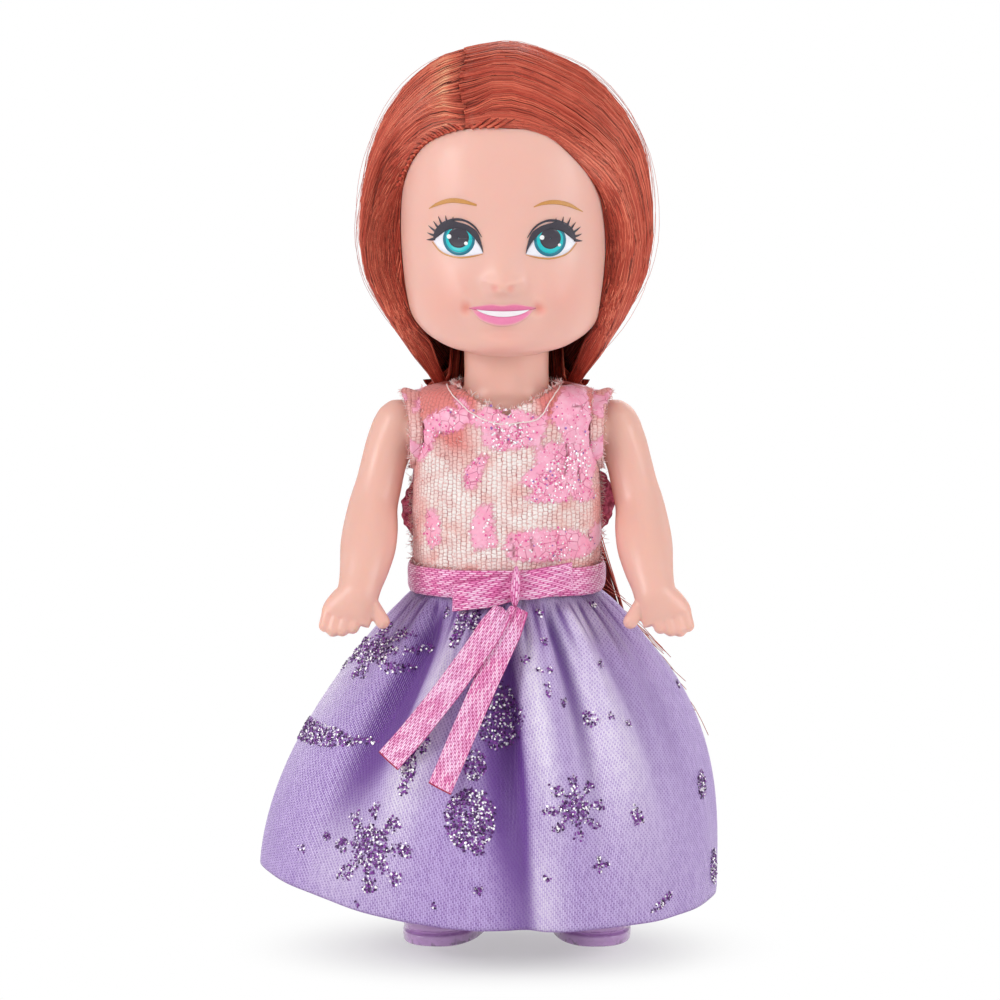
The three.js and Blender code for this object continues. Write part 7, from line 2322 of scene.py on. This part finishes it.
# Painted shade: deeper fibres and those at a lock's edges are darker; the random spread is the hair's own
# tone.
shades = np.clip(
    0.62 - 0.32 * layer[:, 0] - 0.18 * np.abs(from_lock[:, 0]) + dice.normal(0.0, 0.24, count), 0.02, 1
)
fall_fibres = fibres("hair_fall_fibres", lines, radii, shades, hair_nylon)

# Single fibres that have come loose and lie round the skirt's left side.
loose = 60
across = dice.uniform(0.86, 1.0, (loose, 1))
across = across + (0.10 + dice.uniform(0, 0.62, (loose, 1))) * t ** dice.uniform(0.9, 2.6, (loose, 1))
down = dice.uniform(0.25, 0.5, (loose, 1)) + dice.uniform(0.3, 0.5, (loose, 1)) * t
down = np.minimum(down, 0.97)
z = FALL_TOP - down * FALL_LENGTH
turn = np.radians(156 - 70 * np.clip(across - 0.86, 0, 1))
radius = (
    dress_back(turn, z) + 0.5 + dice.uniform(0, 1.2, (loose, 1)) * (0.5 + t)
    + 0.35 * np.sin(9 * t + 5 * across)
)
turn = turn + 0.05 * np.sin(9 * t + dice.uniform(0, 6, (loose, 1))) * t
lines = np.stack([radius * np.sin(turn), -radius * np.cos(turn), z], -1)
loose_fibres = fibres(
    "hair_fall_loose", lines, np.full(lines.shape[:2], 0.05), dice.uniform(0.3, 0.9, loose), hair_nylon
)
fitted(loose_fibres, "torso")
for piece in (fall_under, fall_fibres):
    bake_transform(piece)

# Studio. The doll stands on a plain white sweep under a large soft light overhead and in front, with a fill
# from each side. The camera has a long lens, a little above the doll's head and tilted down.

CAMERA_AWAY = 600.0
CAMERA_HEIGHT = 132.5
CAMERA_DOWN = 7.05
FOCAL = 4560 / 1000  # in widths of the image
SENSOR = 36.0
BODY_IN_IMAGE = 6.5 / 1000  # the body's axis is this share of the width right of the image's middle

# The sweep's section: places away from the camera and up, in millimetres from the doll's feet.
floor_rows = np.array(
    [[-700.0, 0.0], [500.0, 0.0], [700.0, 30.0], [800.0, 130.0], [840.0, 320.0], [850.0, 900.0]]
)
sweep = smooth(np.column_stack([np.linspace(0, 1, len(floor_rows)), floor_rows]))(np.linspace(0, 1, 60))
across = np.linspace(-1200, 1200, 30)
grid = np.stack(np.broadcast_arrays(across[None, :], sweep[:, :1], sweep[:, 1:]), -1)


def sees_white():
    """1 for the rays that show the white background: the camera's own, and those that are mirrored or pass
    through."""
    path = node("LightPath").outputs
    mirrored_ray = maths("MAXIMUM", path["Is Glossy Ray"], path["Is Transmission Ray"])
    return maths("MAXIMUM", path["Is Camera Ray"], mirrored_ray)


# The sweep is burnt out to white away from the doll, as seen from the camera, and keeps its shadow near it.
# There it still glows at 0.42 of full white, painted light that pales the shadow.
grey = (0.93, 0.93, 0.93, 1)
sweep_white, shader = finish("studio sweep", Roughness=0.9, Specular_IOR_Level=0.1, Base_Color=grey)
off_middle = vectors("SUBTRACT", own_place(), (BODY_X * MM, 0, 0))
off_middle = vectors("MULTIPLY", off_middle, (0.85, 1.15, 0.0))
away = node("VectorMath", {0: off_middle}, operation="LENGTH").outputs["Value"]
burnt = maths("MULTIPLY", spread(away, 0.006, 0.033, 0.42, 1.0), sees_white())
glow = node("Emission", {"Color": (1, 1, 1, 1), "Strength": 1.0}).outputs[0]
mixed = node("MixShader", {0: burnt, 1: shader.outputs[0], 2: glow}).outputs[0]
join(sweep_white.node_tree.nodes["Material Output"], Surface=mixed)
backdrop = surface("studio_sweep", grid, sweep_white)

world = bpy.data.worlds.new("studio")
bpy.context.scene.world = world
world.use_nodes = True
open_trees.append(world.node_tree)
strength = maths("MULTIPLY_ADD", sees_white(), 0.56, 0.44)
join(world.node_tree.nodes["Background"], Color=(1, 1, 1, 1), Strength=strength)


def soft_light(name, place, aim, size, power):
    """A square lamp of that size at a place, turned to face a point. Distances are in millimetres."""
    lamp = bpy.data.lights.new(name, "AREA")
    lamp.shape = "SQUARE"
    lamp.size = size * MM
    lamp.energy = power
    here = linked(name, lamp)
    way = np.array(place, float) - np.array(aim, float)
    here.location = np.array(place) * MM
    here.rotation_euler = (
        math.acos(way[2] / np.linalg.norm(way)), 0, math.atan2(way[1], way[0]) + math.pi / 2
    )


soft_light("key", (-460, -290, 290), (0, 0, 60), 220, 1.55)
soft_light("front", (60, -640, 110), (0, 0, 60), 240, 0.12)
soft_light("fill", (490, -270, 230), (0, 0, 55), 240, 1.15)
soft_light("overhead", (0, 20, 600), (0, 0, 80), 400, 0.5)
soft_light("rim", (160, 380, 300), (0, 0, 70), 300, 0.5)

lens = bpy.data.cameras.new("camera")
lens.sensor_width = SENSOR
lens.lens = FOCAL * SENSOR
lens.shift_x = -BODY_IN_IMAGE
lens.clip_start = 0.01
lens.clip_end = 10.0
camera = linked("camera", lens)
camera.location = (BODY_X * MM, -CAMERA_AWAY * MM, CAMERA_HEIGHT * MM)
camera.rotation_euler = (math.radians(90 - CAMERA_DOWN), 0, 0)
bpy.context.scene.camera = camera
bpy.context.scene.view_settings.view_transform = "Standard"
